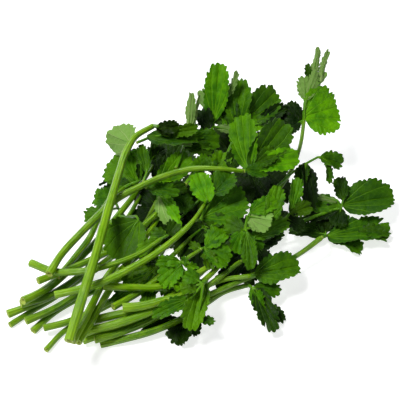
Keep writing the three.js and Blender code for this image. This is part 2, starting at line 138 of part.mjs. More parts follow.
      { shape: 0, tone: 0.3, root: [57.57, 39.68, 35.58, 0.95], net: [[62.91, 41.05, 40.41], [59.77, 40.7, 37.68], [56.57, 40.28, 35.04], [53.29, 39.81, 32.49], [60.75, 45.96, 42.34], [57.92, 45.86, 39.19], [54.71, 45.45, 36.55], [51.12, 44.72, 34.41], [58.97, 51.21, 43.76], [56.28, 51.23, 40.42], [53.06, 50.82, 37.77], [49.32, 49.97, 35.82], [57.76, 56.98, 44.4], [55.0, 56.94, 41.14], [51.77, 56.53, 38.49], [48.09, 55.74, 36.45]] },
      { shape: 0, tone: 0.3, root: [57.57, 39.68, 35.58, 0.95], net: [[62.16, 39.04, 39.19], [59.18, 40.97, 37.89], [56.13, 42.86, 36.68], [53.02, 44.7, 35.54], [63.0, 43.48, 43.75], [60.44, 45.84, 41.87], [57.39, 47.73, 40.66], [53.86, 49.15, 40.12], [64.56, 48.65, 47.31], [62.19, 51.22, 45.15], [59.14, 53.11, 43.95], [55.41, 54.34, 43.69], [67.24, 54.98, 49.29], [64.77, 57.45, 47.27], [61.72, 59.35, 46.07], [58.08, 60.68, 45.69]] },
      { shape: 1, tone: 0.7, root: [55.66, 39.25, 32.96, 0.97], net: [[56.35, 40.84, 34.95], [54.33, 41.84, 34.46], [52.3, 42.82, 34.02], [50.25, 43.78, 33.62], [57.61, 45.02, 38.66], [55.71, 46.19, 37.93], [53.67, 47.17, 37.49], [51.5, 47.96, 37.33], [59.11, 49.53, 41.91], [57.26, 50.78, 41.06], [55.22, 51.77, 40.62], [52.98, 52.48, 40.58], [60.97, 54.57, 44.42], [59.1, 55.78, 43.63], [57.05, 56.76, 43.19], [54.84, 57.51, 43.1]] },
      { shape: 1, tone: 0.86, root: [57.57, 39.68, 35.58, 0.95], net: [[71.01, 28.03, 34.36], [68.38, 30.99, 34.73], [65.66, 33.83, 35.3], [62.85, 36.54, 36.05], [73.7, 29.9, 37.96], [71.48, 33.42, 37.5], [68.76, 36.26, 38.07], [65.54, 38.42, 39.66], [76.72, 32.2, 40.93], [74.7, 35.99, 40.08], [71.97, 38.84, 40.64], [68.56, 40.73, 42.63], [80.22, 35.15, 42.95], [78.1, 38.82, 42.28], [75.37, 41.67, 42.85], [72.05, 43.69, 44.65]] },
      { shape: 0, tone: 0.12, root: [57.57, 39.68, 35.58, 0.95], net: [[68.7, 29.22, 36.58], [68.98, 32.59, 37.79], [69.17, 35.84, 39.19], [69.29, 38.94, 40.78], [75.01, 27.78, 39.48], [75.47, 31.59, 40.14], [75.69, 34.84, 41.54], [75.66, 37.54, 43.66], [81.54, 26.88, 41.68], [82.1, 30.9, 42.08], [82.34, 34.17, 43.46], [82.26, 36.68, 45.84], [88.4, 26.82, 42.8], [88.95, 30.75, 43.3], [89.21, 34.04, 44.68], [89.19, 36.66, 46.93]] },
    ],
  },
  leaf_10: {
    joins: "stem_04",
    stalks: [[[29.92, -1.27, 44.75, 1.18], [31.66, -1.1, 44.13, 1.03], [33.43, -0.95, 43.52, 0.88]]],
    leaflets: [
      { shape: 0, tone: 0.66, root: [33.43, -0.95, 43.52, 0.88], net: [[39.89, -6.2, 45.4], [35.78, -2.54, 43.88], [31.46, 1.01, 42.65], [26.92, 4.45, 41.72], [43.67, 1.54, 52.88], [40.42, 5.82, 50.02], [36.09, 9.4, 48.8], [30.67, 12.28, 49.22], [48.34, 9.95, 59.14], [45.49, 14.54, 55.64], [41.15, 18.15, 54.43], [35.31, 20.78, 55.5], [54.33, 19.32, 63.5], [51.28, 23.81, 60.31], [46.93, 27.44, 59.11], [41.27, 30.24, 59.88]] },
      { shape: 0, tone: 0.28, root: [33.43, -0.95, 43.52, 0.88], net: [[40.04, -8.26, 37.97], [36.74, -3.05, 41.88], [33.43, 1.78, 46.11], [30.1, 6.25, 50.66], [51.27, -6.58, 43.04], [48.08, 0.14, 45.39], [44.72, 5.0, 49.64], [41.19, 8.0, 55.78], [62.89, -3.39, 46.64], [59.73, 4.07, 48.26], [56.32, 8.95, 52.53], [52.65, 11.27, 59.44], [74.99, 2.09, 47.97], [71.74, 9.23, 49.97], [68.28, 14.14, 54.26], [64.6, 16.83, 60.83]] },
      { shape: 0, tone: 0.92, root: [33.43, -0.95, 43.52, 0.88], net: [[32.99, -5.85, 41.24], [34.67, -2.0, 43.66], [36.32, 1.75, 46.28], [37.96, 5.41, 49.09], [42.92, -9.33, 41.47], [44.75, -4.94, 43.06], [46.43, -1.18, 45.69], [47.97, 1.96, 49.36], [53.15, -12.16, 40.6], [55.07, -7.52, 41.81], [56.78, -3.74, 44.45], [58.29, -0.84, 48.52], [63.79, -13.98, 38.04], [65.71, -9.44, 39.45], [67.45, -5.65, 42.1], [69.02, -2.61, 45.99]] },
      { shape: 1, tone: 0.5, root: [31.82, -1.09, 44.07, 1.02], net: [[28.95, -4.54, 42.22], [30.91, -2.15, 43.58], [32.88, 0.21, 45.04], [34.83, 2.55, 46.6], [32.42, -7.12, 42.18], [34.49, -4.55, 43.13], [36.46, -2.19, 44.59], [38.34, -0.05, 46.57], [36.04, -9.41, 41.49], [38.16, -6.76, 42.24], [40.14, -4.4, 43.7], [41.99, -2.35, 45.87], [39.88, -11.25, 39.76], [41.98, -8.64, 40.6], [43.97, -6.28, 42.07], [45.85, -4.19, 44.15]] },
      { shape: 0, tone: 0.4, root: [33.43, -0.95, 43.52, 0.88], net: [[36.85, -5.28, 42.13], [36.54, -2.34, 44.07], [36.19, 0.5, 46.13], [35.81, 3.24, 48.32], [42.45, -5.86, 43.96], [42.29, -2.5, 45.34], [41.94, 0.35, 47.41], [41.41, 2.68, 50.16], [48.25, -5.98, 45.18], [48.17, -2.41, 46.3], [47.83, 0.45, 48.37], [47.22, 2.58, 51.4], [54.36, -5.39, 45.47], [54.24, -1.91, 46.73], [53.9, 0.95, 48.8], [53.33, 3.19, 51.71]] },
    ],
  },
  leaf_11: {
    joins: "stem_06",
    stalks: [[[25.06, 32.95, 24.04, 1.08], [24.03, 26.01, 30.12, 0.94], [23.14, 18.57, 36.56, 0.79]]],
    leaflets: [
      { shape: 0, tone: 0.62, root: [23.14, 18.57, 36.56, 0.79], net: [[28.84, 12.1, 34.12], [26.07, 15.12, 35.06], [23.26, 18.06, 36.1], [20.41, 20.93, 37.23], [31.53, 13.66, 36.77], [28.93, 17.01, 37.26], [26.11, 19.95, 38.3], [23.09, 22.51, 39.89], [34.46, 15.65, 38.85], [31.93, 19.15, 39.13], [29.11, 22.1, 40.17], [26.0, 24.5, 41.97], [37.74, 18.29, 40.03], [35.17, 21.72, 40.41], [32.34, 24.67, 41.45], [29.27, 27.15, 43.15]] },
      { shape: 0, tone: 0.6, root: [24.39, 28.58, 27.87, 0.99], net: [[29.63, 28.15, 28.89], [25.87, 28.58, 27.78], [21.81, 28.63, 27.14], [17.48, 28.29, 26.97], [28.99, 30.18, 31.41], [25.5, 30.82, 29.89], [21.45, 30.87, 29.23], [16.87, 30.32, 29.45], [28.6, 32.4, 33.54], [25.25, 33.15, 31.81], [21.2, 33.2, 31.15], [16.51, 32.55, 31.54], [28.58, 34.91, 35.1], [25.17, 35.62, 33.46], [21.14, 35.68, 32.77], [16.51, 35.09, 33.06]] },
      { shape: 0, tone: 0.45, root: [23.17, 18.82, 36.35, 0.8], net: [[26.67, 17.38, 37.11], [23.88, 18.25, 36.36], [21.06, 19.09, 35.69], [18.22, 19.87, 35.1], [26.99, 19.5, 38.74], [24.34, 20.57, 37.64], [21.52, 21.4, 36.97], [18.53, 21.99, 36.72], [27.45, 21.81, 40.04], [24.85, 22.97, 38.79], [22.03, 23.8, 38.12], [18.97, 24.3, 38.03], [28.1, 24.4, 40.86], [25.47, 25.51, 39.69], [22.64, 26.34, 39.01], [19.62, 26.89, 38.84]] },
      { shape: 0, tone: 0.25, root: [23.14, 18.57, 36.56, 0.79], net: [[33.83, 9.1, 34.37], [31.61, 11.31, 35.14], [29.38, 13.45, 35.99], [27.12, 15.55, 36.91], [36.79, 11.0, 36.9], [34.68, 13.45, 37.32], [32.44, 15.6, 38.17], [30.08, 17.45, 39.45], [39.9, 13.21, 39.01], [37.83, 15.78, 39.26], [35.59, 17.94, 40.11], [33.17, 19.67, 41.56], [43.22, 15.9, 40.46], [41.12, 18.42, 40.79], [38.88, 20.58, 41.64], [36.48, 22.37, 43.01]] },
    ],
  },
  leaf_12: {
    joins: "stem_02",
    stalks: [[[-7.06, 35.9, 13.25, 1.02], [-8.86, 32.5, 19.47, 0.9], [-10.81, 28.83, 26.11, 0.78]]],
    leaflets: [
      { shape: 0, tone: 0.62, root: [-10.81, 28.83, 26.11, 0.78], net: [[-6.56, 25.29, 25.52], [-7.88, 29.8, 27.81], [-9.04, 34.5, 29.92], [-10.04, 39.43, 31.88], [2.39, 27.1, 27.93], [1.26, 32.19, 29.45], [0.11, 36.93, 31.57], [-1.07, 41.35, 34.33], [11.73, 29.57, 29.5], [10.69, 34.96, 30.66], [9.55, 39.74, 32.79], [8.3, 43.94, 35.93], [21.59, 33.07, 29.71], [20.49, 38.36, 31.07], [19.37, 43.18, 33.21], [18.19, 47.58, 36.16]] },
      { shape: 1, tone: 0.85, root: [-10.81, 28.83, 26.11, 0.78], net: [[-18.28, 28.22, 25.45], [-13.32, 27.81, 25.85], [-8.57, 27.22, 26.75], [-4.07, 26.47, 28.14], [-20.83, 18.48, 25.22], [-15.18, 18.18, 24.07], [-10.48, 17.59, 24.95], [-6.74, 16.73, 27.85], [-22.86, 9.09, 24.07], [-16.9, 8.84, 22.18], [-12.24, 8.24, 23.03], [-8.9, 7.33, 26.64], [-24.17, 0.06, 21.55], [-18.42, -0.22, 19.98], [-13.79, -0.82, 20.81], [-10.32, -1.7, 24.05]] },
      { shape: 0, tone: 0.3, root: [-10.81, 28.83, 26.11, 0.78], net: [[-13.28, 22.07, 25.59], [-9.18, 24.57, 26.03], [-5.06, 26.98, 26.68], [-0.93, 29.31, 27.54], [-10.74, 17.27, 24.37], [-6.6, 20.03, 24.14], [-2.48, 22.42, 24.78], [1.63, 24.42, 26.3], [-8.17, 12.79, 22.45], [-4.01, 15.67, 21.9], [0.12, 18.03, 22.54], [4.22, 19.87, 24.37], [-5.55, 8.81, 19.47], [-1.39, 11.6, 19.07], [2.75, 13.93, 19.7], [6.87, 15.81, 21.37]] },
      { shape: 0, tone: 0.9, root: [-10.81, 28.83, 26.11, 0.78], net: [[-13.39, 32.3, 29.42], [-12.15, 34.07, 30.37], [-10.93, 35.82, 31.4], [-9.72, 37.56, 32.49], [-9.74, 29.54, 29.62], [-8.42, 31.42, 30.29], [-7.19, 33.17, 31.31], [-6.06, 34.79, 32.7], [-5.96, 26.96, 29.37], [-4.59, 28.9, 29.89], [-3.36, 30.64, 30.92], [-2.26, 32.2, 32.44], [-1.97, 24.67, 28.38], [-0.61, 26.58, 28.97], [0.62, 28.32, 29.99], [1.75, 29.9, 31.45]] },
      { shape: 0, tone: 0.25, root: [-10.81, 28.83, 26.11, 0.78], net: [[-10.9, 24.97, 25.17], [-9.85, 27.54, 26.32], [-8.83, 30.1, 27.56], [-7.82, 32.63, 28.89], [-6.13, 22.76, 26.03], [-4.98, 25.47, 26.8], [-3.94, 28.03, 28.04], [-3.03, 30.43, 29.75], [-1.21, 20.76, 26.32], [-0.0, 23.53, 26.91], [1.05, 26.08, 28.16], [1.93, 28.41, 30.05], [3.96, 19.07, 25.74], [5.15, 21.81, 26.42], [6.21, 24.36, 27.66], [7.12, 26.72, 29.47]] },
    ],
  },
  leaf_13: {
    joins: "stem_04",
    stalks: [[[-21.03, 25.76, 39.24, 0.82], [-19.04, 26.68, 37.23, 0.73], [-17.04, 27.58, 35.22, 0.64]]],
    leaflets: [
      { shape: 2, tone: 0.55, root: [-18.6, 26.88, 36.79, 0.71], net: [[-21.81, 23.74, 34.37], [-19.78, 25.93, 35.78], [-17.77, 28.09, 37.31], [-15.78, 30.22, 38.95], [-17.61, 19.54, 34.37], [-15.43, 21.92, 35.3], [-13.42, 24.07, 36.83], [-11.57, 25.99, 38.95], [-13.21, 15.65, 33.65], [-10.95, 18.12, 34.35], [-8.93, 20.26, 35.87], [-7.14, 22.07, 38.22], [-8.46, 12.24, 31.8], [-6.23, 14.66, 32.6], [-4.2, 16.79, 34.13], [-2.38, 18.64, 36.36]] },
    ],
  },
  leaf_14: {
    joins: "stem_09",
    stalks: [[[0.83, -2.05, 34.49, 0.87], [1.51, -2.42, 36.17, 0.78], [2.22, -2.82, 37.95, 0.7]]],
    leaflets: [
      { shape: 1, tone: 0.82, root: [1.87, -2.62, 37.07, 0.74], net: [[8.88, -6.08, 38.76], [4.7, -4.24, 37.22], [0.42, -2.48, 35.91], [-3.98, -0.81, 34.83], [10.26, -0.44, 41.76], [6.51, 1.73, 39.23], [2.19, 3.47, 37.95], [-2.7, 4.78, 37.9], [12.03, 5.55, 44.01], [8.45, 7.87, 41.04], [4.09, 9.6, 39.77], [-1.05, 10.72, 40.22], [14.36, 12.04, 45.15], [10.62, 14.25, 42.44], [6.22, 15.95, 41.2], [1.15, 17.15, 41.43]] },
    ],
  },
  leaf_15: {
    joins: "stem_09",
    stalks: [[[-9.88, -8.56, 32.74, 0.81], [-7.26, -6.97, 30.26, 0.75], [-4.63, -5.38, 27.79, 0.69]]],
    leaflets: [
      { shape: 0, tone: 0.42, root: [-4.63, -5.38, 27.79, 0.69], net: [[-5.3, -16.95, 25.91], [-3.38, -9.2, 27.77], [-1.66, -1.69, 30.22], [-0.15, 5.57, 33.22], [4.08, -18.62, 27.45], [6.19, -10.4, 28.52], [7.94, -2.89, 31.02], [9.36, 3.88, 34.93], [13.75, -19.8, 28.09], [15.96, -11.35, 28.82], [17.76, -3.84, 31.37], [19.16, 2.7, 35.73], [23.79, -20.19, 27.34], [26.01, -11.86, 28.33], [27.85, -4.35, 30.93], [29.33, 2.31, 35.13]] },
      { shape: 0, tone: 0.45, root: [-4.63, -5.38, 27.79, 0.69], net: [[9.75, -9.25, 36.99], [8.74, -4.1, 37.9], [7.84, 1.24, 38.7], [7.03, 6.81, 39.4], [14.49, -8.34, 39.41], [13.71, -2.88, 39.75], [12.83, 2.48, 40.55], [11.83, 7.77, 41.84], [19.49, -7.12, 41.23], [18.84, -1.49, 41.3], [17.97, 3.89, 42.11], [16.88, 9.05, 43.69], [24.88, -5.4, 42.14], [24.19, 0.18, 42.34], [23.35, 5.58, 43.16], [22.34, 10.83, 44.61]] },
      { shape: 0, tone: 0.3, root: [-4.63, -5.38, 27.79, 0.69], net: [[-6.75, -10.0, 27.06], [-4.74, -7.41, 27.55], [-2.79, -4.9, 28.23], [-0.88, -2.47, 29.08], [-3.05, -13.4, 27.53], [-0.93, -10.69, 27.64], [1.04, -8.19, 28.31], [2.87, -5.88, 29.52], [0.77, -16.61, 27.46], [2.95, -13.85, 27.38], [4.94, -11.35, 28.04], [6.74, -9.11, 29.42], [4.78, -19.54, 26.56], [6.96, -16.81, 26.55], [8.97, -14.31, 27.19], [10.8, -12.05, 28.49]] },
    ],
  },
  leaf_16: {
    joins: "stem_10",
    stalks: [[[9.24, -24.16, 18.74, 1.15], [9.17, -26.91, 25.12, 1.01], [9.23, -29.78, 31.93, 0.86]]],
    leaflets: [
      { shape: 0, tone: 0.95, root: [9.23, -29.78, 31.93, 0.86], net: [[18.5, -21.65, 40.62], [14.85, -24.85, 38.51], [11.3, -27.96, 36.24], [7.84, -30.97, 33.82], [21.86, -25.14, 39.79], [17.94, -28.59, 38.45], [14.38, -31.68, 36.19], [11.18, -34.41, 33.0], [24.98, -28.85, 39.63], [20.91, -32.41, 38.67], [17.35, -35.49, 36.41], [14.28, -38.07, 32.85], [27.72, -32.9, 40.5], [23.71, -36.39, 39.36], [20.14, -39.45, 37.11], [17.0, -42.08, 33.73]] },
      { shape: 0, tone: 0.62, root: [9.23, -29.78, 31.93, 0.86], net: [[25.1, -39.18, 32.1], [22.43, -36.81, 33.14], [19.73, -34.57, 34.36], [17.01, -32.48, 35.75], [30.56, -35.82, 36.32], [28.0, -32.84, 36.54], [25.29, -30.61, 37.75], [22.42, -29.11, 39.97], [36.18, -31.99, 39.99], [33.67, -28.72, 39.82], [30.94, -26.48, 41.04], [27.99, -25.27, 43.64], [42.0, -27.48, 42.84], [39.44, -24.35, 42.86], [36.7, -22.1, 44.07], [33.76, -20.75, 46.49]] },
      { shape: 0, tone: 0.62, root: [9.18, -28.18, 28.12, 0.94], net: [[11.33, -38.45, 23.47], [11.68, -34.93, 25.02], [12.03, -31.46, 26.75], [12.36, -28.06, 28.65], [20.03, -38.95, 24.41], [20.43, -35.11, 25.29], [20.79, -31.63, 27.02], [21.11, -28.5, 29.62], [28.92, -39.03, 24.38], [29.35, -35.03, 24.95], [29.72, -31.53, 26.7], [30.05, -28.53, 29.63], [38.02, -38.45, 22.85], [38.47, -34.5, 23.58], [38.86, -30.98, 25.35], [39.21, -27.89, 28.14]] },
      { shape: 0, tone: 0.5, root: [9.23, -29.78, 31.93, 0.86], net: [[5.18, -29.08, 30.64], [7.9, -30.79, 30.84], [10.59, -32.52, 31.17], [13.24, -34.26, 31.64], [1.1, -35.62, 29.31], [3.93, -37.23, 28.92], [6.6, -38.94, 29.25], [9.11, -40.76, 30.31], [-2.67, -41.87, 27.04], [0.2, -43.42, 26.36], [2.85, -45.12, 26.69], [5.28, -46.97, 28.03], [-6.01, -47.76, 23.26], [-3.19, -49.31, 22.71], [-0.56, -51.0, 23.03], [1.88, -52.81, 24.24]] },
      { shape: 0, tone: 0.45, root: [9.18, -28.56, 29.01, 0.92], net: [[13.8, -25.59, 32.13], [10.9, -27.05, 30.27], [7.95, -28.54, 28.55], [4.94, -30.09, 26.96], [11.96, -22.23, 32.82], [9.29, -23.56, 30.52], [6.33, -25.07, 28.8], [3.09, -26.76, 27.64], [10.36, -18.71, 33.05], [7.78, -19.98, 30.55], [4.82, -21.5, 28.82], [1.46, -23.27, 27.87], [9.1, -14.95, 32.59], [6.47, -16.27, 30.19], [3.5, -17.8, 28.46], [0.2, -19.55, 27.41]] },
      { shape: 0, tone: 0.7, root: [9.18, -28.56, 29.01, 0.92], net: [[5.23, -23.71, 29.95], [7.49, -26.53, 29.41], [9.65, -29.43, 29.09], [11.7, -32.41, 28.97], [1.7, -26.35, 28.79], [4.25, -28.98, 27.56], [6.41, -31.87, 27.23], [8.17, -35.0, 27.79], [-1.48, -28.78, 26.88], [1.21, -31.31, 25.31], [3.37, -34.18, 24.98], [5.0, -37.38, 25.87], [-4.14, -30.89, 23.81], [-1.51, -33.45, 22.39], [0.65, -36.3, 22.05], [2.35, -39.44, 22.78]] },
      { shape: 0, tone: 0.45, root: [9.17, -27.05, 25.43, 1.0], net: [[6.61, -32.49, 23.0], [9.32, -30.93, 23.71], [12.04, -29.38, 24.51], [14.78, -27.85, 25.42], [8.29, -35.67, 22.66], [11.06, -34.0, 22.95], [13.78, -32.46, 23.75], [16.47, -31.06, 25.07], [10.03, -38.71, 21.87], [12.82, -36.99, 21.96], [15.55, -35.46, 22.76], [18.21, -34.12, 24.27], [11.84, -41.53, 20.38], [14.62, -39.85, 20.56], [17.35, -38.33, 21.36], [20.03, -36.98, 22.78]] },
      { shape: 0, tone: 0.75, root: [9.23, -29.78, 31.93, 0.86], net: [[14.84, -30.46, 36.28], [15.3, -27.45, 37.92], [15.71, -24.51, 39.69], [16.09, -21.63, 41.6], [20.09, -31.76, 37.63], [20.73, -28.43, 38.71], [21.15, -25.48, 40.48], [21.35, -22.92, 42.96], [25.56, -32.71, 38.36], [26.29, -29.22, 39.17], [26.72, -26.27, 40.96], [26.85, -23.86, 43.71], [31.37, -33.11, 38.13], [32.07, -29.69, 39.08], [32.5, -26.74, 40.87], [32.68, -24.25, 43.49]] },
    ],
  },
  leaf_17: {
    joins: "stem_11",
    stalks: [[[-17.16, -23.18, 25.61, 0.91], [-15.68, -22.8, 25.06, 0.82], [-14.19, -22.4, 24.49, 0.73]]],
    leaflets: [
      { shape: 0, tone: 0.48, root: [-14.39, -22.46, 24.57, 0.74], net: [[-21.79, -26.78, 23.68], [-16.83, -23.96, 24.26], [-11.81, -21.15, 25.02], [-6.71, -18.33, 25.97], [-19.55, -31.76, 23.13], [-14.48, -28.7, 22.88], [-9.44, -25.91, 23.62], [-4.43, -23.4, 25.38], [-17.22, -36.46, 21.83], [-12.09, -33.29, 21.17], [-7.05, -30.53, 21.9], [-2.07, -28.17, 24.03], [-14.75, -40.75, 19.38], [-9.64, -37.67, 18.89], [-4.58, -34.94, 19.6], [0.42, -32.54, 21.52]] },
      { shape: 0, tone: 0.58, root: [-14.19, -22.4, 24.49, 0.73], net: [[-13.82, -28.89, 24.25], [-13.46, -24.41, 24.4], [-12.97, -19.68, 24.37], [-12.34, -14.7, 24.18], [-8.31, -28.39, 25.51], [-7.79, -23.69, 25.2], [-7.27, -18.95, 25.18], [-6.75, -14.14, 25.46], [-2.58, -27.66, 26.21], [-1.97, -22.85, 25.69], [-1.41, -18.09, 25.68], [-0.93, -13.35, 26.19], [3.49, -26.55, 26.02], [4.09, -21.77, 25.62], [4.67, -16.99, 25.61], [5.23, -12.19, 26.02]] },
      { shape: 0, tone: 0.4, root: [-16.0, -22.88, 25.18, 0.84], net: [[-14.09, -20.34, 26.31], [-15.42, -21.52, 25.67], [-16.75, -22.71, 25.1], [-18.1, -23.9, 24.57], [-15.68, -18.31, 26.53], [-16.94, -19.45, 25.65], [-18.28, -20.64, 25.07], [-19.68, -21.88, 24.79], [-17.19, -16.22, 26.44], [-18.42, -17.34, 25.45], [-19.76, -18.54, 24.87], [-21.19, -19.81, 24.7], [-18.59, -14.03, 25.89], [-19.83, -15.17, 24.95], [-21.17, -16.37, 24.37], [-22.58, -17.63, 24.15]] },
      { shape: 0, tone: 0.4, root: [-14.44, -22.47, 24.59, 0.75], net: [[-19.0, -23.54, 24.14], [-15.81, -24.08, 23.8], [-12.65, -24.67, 23.61], [-9.52, -25.33, 23.55], [-20.65, -27.42, 24.02], [-17.41, -27.86, 23.27], [-14.26, -28.46, 23.06], [-11.21, -29.2, 23.4], [-22.2, -31.15, 23.44], [-18.94, -31.54, 22.49], [-15.81, -32.13, 22.28], [-12.8, -32.92, 22.8], [-23.62, -34.67, 22.17], [-20.39, -35.07, 21.3], [-17.26, -35.66, 21.07], [-14.25, -36.42, 21.49]] },
    ],
  },
  leaf_18: {
    joins: "stem_08",
    stalks: [[[-34.0, 36.07, 15.11, 0.88], [-34.96, 28.3, 21.18, 0.82], [-35.68, 20.76, 27.56, 0.77], [-36.22, 13.45, 34.22, 0.7]]],
    leaflets: [
      { shape: 0, tone: 0.34, root: [-36.22, 13.45, 34.22, 0.7], net: [[-39.62, 22.05, 36.38], [-36.96, 14.8, 34.23], [-34.36, 7.64, 32.21], [-31.8, 0.55, 30.33], [-48.13, 18.84, 33.94], [-45.17, 11.88, 30.96], [-42.55, 4.77, 28.96], [-40.26, -2.49, 27.93], [-56.15, 15.95, 30.53], [-53.04, 9.16, 27.16], [-50.4, 2.11, 25.17], [-48.24, -5.22, 24.56], [-63.5, 13.54, 25.58], [-60.44, 6.76, 22.4], [-57.79, -0.23, 20.42], [-55.55, -7.46, 19.62]] },
    ],
  },
  leaf_19: {
    joins: "stem_05",
    stalks: [[[-32.83, -7.19, 30.63, 0.85], [-30.94, -7.2, 30.58, 0.77], [-29.04, -7.22, 30.56, 0.68]]],
    leaflets: [
      { shape: 0, tone: 0.58, root: [-32.83, -7.19, 30.63, 0.85], net: [[-33.68, -2.74, 31.9], [-33.85, -5.85, 30.86], [-34.06, -8.96, 29.92], [-34.29, -12.09, 29.11], [-38.6, -2.47, 31.08], [-38.6, -5.44, 29.54], [-38.8, -8.55, 28.61], [-39.18, -11.81, 28.29], [-43.31, -2.05, 29.68], [-43.23, -4.95, 27.91], [-43.41, -8.05, 26.99], [-43.86, -11.38, 26.91], [-47.72, -1.39, 27.4], [-47.66, -4.31, 25.75], [-47.83, -7.41, 24.84], [-48.24, -10.7, 24.65]] },
      { shape: 2, tone: 0.4, root: [-29.3, -7.22, 30.56, 0.69], net: [[-26.76, -3.01, 33.06], [-28.43, -5.39, 31.64], [-30.13, -7.79, 30.31], [-31.84, -10.22, 29.09], [-29.33, -1.41, 33.43], [-30.89, -3.64, 31.61], [-32.57, -6.04, 30.28], [-34.39, -8.63, 29.46], [-31.79, 0.35, 33.41], [-33.29, -1.81, 31.4], [-34.97, -4.22, 30.08], [-36.84, -6.88, 29.44], [-34.08, 2.34, 32.8], [-35.6, 0.14, 30.89], [-37.28, -2.28, 29.57], [-39.11, -4.91, 28.84]] },
      { shape: 0, tone: 0.25, root: [-29.04, -7.22, 30.56, 0.68], net: [[-26.52, -11.07, 29.38], [-27.7, -8.45, 30.34], [-28.91, -5.87, 31.39], [-30.13, -3.33, 32.52], [-23.88, -10.33, 30.8], [-24.97, -7.52, 31.41], [-26.17, -4.94, 32.46], [-27.49, -2.58, 33.95], [-21.13, -9.39, 31.86], [-22.18, -6.49, 32.3], [-23.38, -3.9, 33.36], [-24.75, -1.63, 35.02], [-18.23, -8.15, 32.36], [-19.29, -5.29, 32.89], [-20.5, -2.69, 33.95], [-21.84, -0.38, 35.53]] },
    ],
  },
  leaf_20: {
    joins: "stem_11",
    stalks: [[[-34.94, -23.1, 23.1, 0.87], [-34.79, -26.9, 27.88, 0.8], [-34.53, -30.69, 32.67, 0.73]]],
    leaflets: [
      { shape: 2, tone: 0.62, root: [-34.69, -28.64, 30.08, 0.77], net: [[-34.95, -22.54, 31.58], [-34.45, -27.03, 30.21], [-34.02, -31.53, 29.07], [-33.66, -36.06, 28.14], [-40.47, -23.21, 30.62], [-39.67, -27.4, 28.31], [-39.22, -31.89, 27.17], [-39.14, -36.69, 27.2], [-45.68, -23.61, 28.77], [-44.73, -27.65, 26.01], [-44.27, -32.13, 24.88], [-44.3, -37.05, 25.38], [-50.44, -23.6, 25.58], [-49.53, -27.7, 23.04], [-49.06, -32.17, 21.92], [-49.02, -37.01, 22.21]] },
      { shape: 0, tone: 0.5, root: [-34.69, -28.64, 30.08, 0.77], net: [[-32.3, -25.6, 32.17], [-33.53, -27.34, 30.91], [-34.79, -29.09, 29.71], [-36.06, -30.86, 28.59], [-35.96, -22.77, 32.12], [-37.07, -24.39, 30.56], [-38.33, -26.14, 29.37], [-39.71, -28.04, 28.54], [-39.45, -19.74, 31.61], [-40.5, -21.31, 29.91], [-41.75, -23.07, 28.72], [-43.19, -25.03, 28.03], [-42.66, -16.41, 30.37], [-43.74, -18.01, 28.74], [-44.98, -19.78, 27.55], [-46.39, -21.72, 26.8]] },
      { shape: 3, tone: 0.75, root: [-34.55, -30.53, 32.47, 0.73], net: [[-36.41, -32.48, 31.01], [-35.44, -31.67, 31.55], [-34.48, -30.88, 32.12], [-33.52, -30.1, 32.74], [-34.46, -34.78, 30.77], [-33.44, -33.9, 31.14], [-32.48, -33.11, 31.71], [-31.57, -32.4, 32.49], [-32.43, -36.95, 30.23], [-31.39, -36.04, 30.51], [-30.42, -35.25, 31.09], [-29.54, -34.58, 31.95], [-30.27, -38.93, 29.22], [-29.24, -38.05, 29.54], [-28.27, -37.26, 30.11], [-27.37, -36.57, 30.94]] },
      { shape: 0, tone: 0.52, root: [-34.81, -26.58, 27.49, 0.81], net: [[-39.76, -24.56, 26.39], [-36.74, -26.66, 26.43], [-33.73, -28.79, 26.62], [-30.72, -30.95, 26.94], [-42.68, -29.2, 26.44], [-39.62, -31.05, 25.72], [-36.64, -33.18, 25.92], [-33.73, -35.59, 27.04], [-45.51, -33.54, 25.77], [-42.44, -35.28, 24.7], [-39.48, -37.41, 24.93], [-36.64, -39.94, 26.43], [-48.18, -37.46, 24.0], [-45.15, -39.25, 23.13], [-42.23, -41.39, 23.38], [-39.41, -43.87, 24.73]] },
      { shape: 0, tone: 0.5, root: [-34.56, -30.37, 32.27, 0.73], net: [[-35.2, -33.28, 31.21], [-35.16, -31.5, 31.84], [-35.14, -29.73, 32.52], [-35.14, -27.97, 33.26], [-33.93, -33.39, 31.67], [-33.83, -31.51, 32.06], [-33.81, -29.75, 32.74], [-33.87, -28.09, 33.72], [-32.61, -33.43, 31.93], [-32.48, -31.51, 32.21], [-32.45, -29.74, 32.9], [-32.55, -28.12, 33.99], [-31.21, -33.35, 31.9], [-31.08, -31.45, 32.24], [-31.06, -29.68, 32.93], [-31.14, -28.04, 33.96]] },
    ],
  },
  leaf_21: {
    joins: "stem_12",
    stalks: [[[-25.95, -40.79, 21.0, 1.01], [-29.57, -44.2, 25.07, 0.92], [-33.48, -47.85, 29.41, 0.83]]],
    leaflets: [
      { shape: 0, tone: 0.42, root: [-28.61, -43.31, 24.01, 0.95], net: [[-34.83, -37.99, 27.67], [-30.93, -40.47, 25.3], [-27.32, -43.34, 23.67], [-24.02, -46.55, 22.78], [-42.46, -44.25, 25.92], [-38.14, -46.45, 22.02], [-34.57, -49.3, 20.38], [-31.76, -52.73, 21.03], [-49.53, -50.14, 23.02], [-45.03, -52.2, 18.39], [-41.5, -55.03, 16.75], [-38.94, -58.55, 18.12], [-55.87, -55.56, 18.36], [-51.53, -57.68, 14.08], [-48.02, -60.49, 12.43], [-45.39, -63.92, 13.44]] },
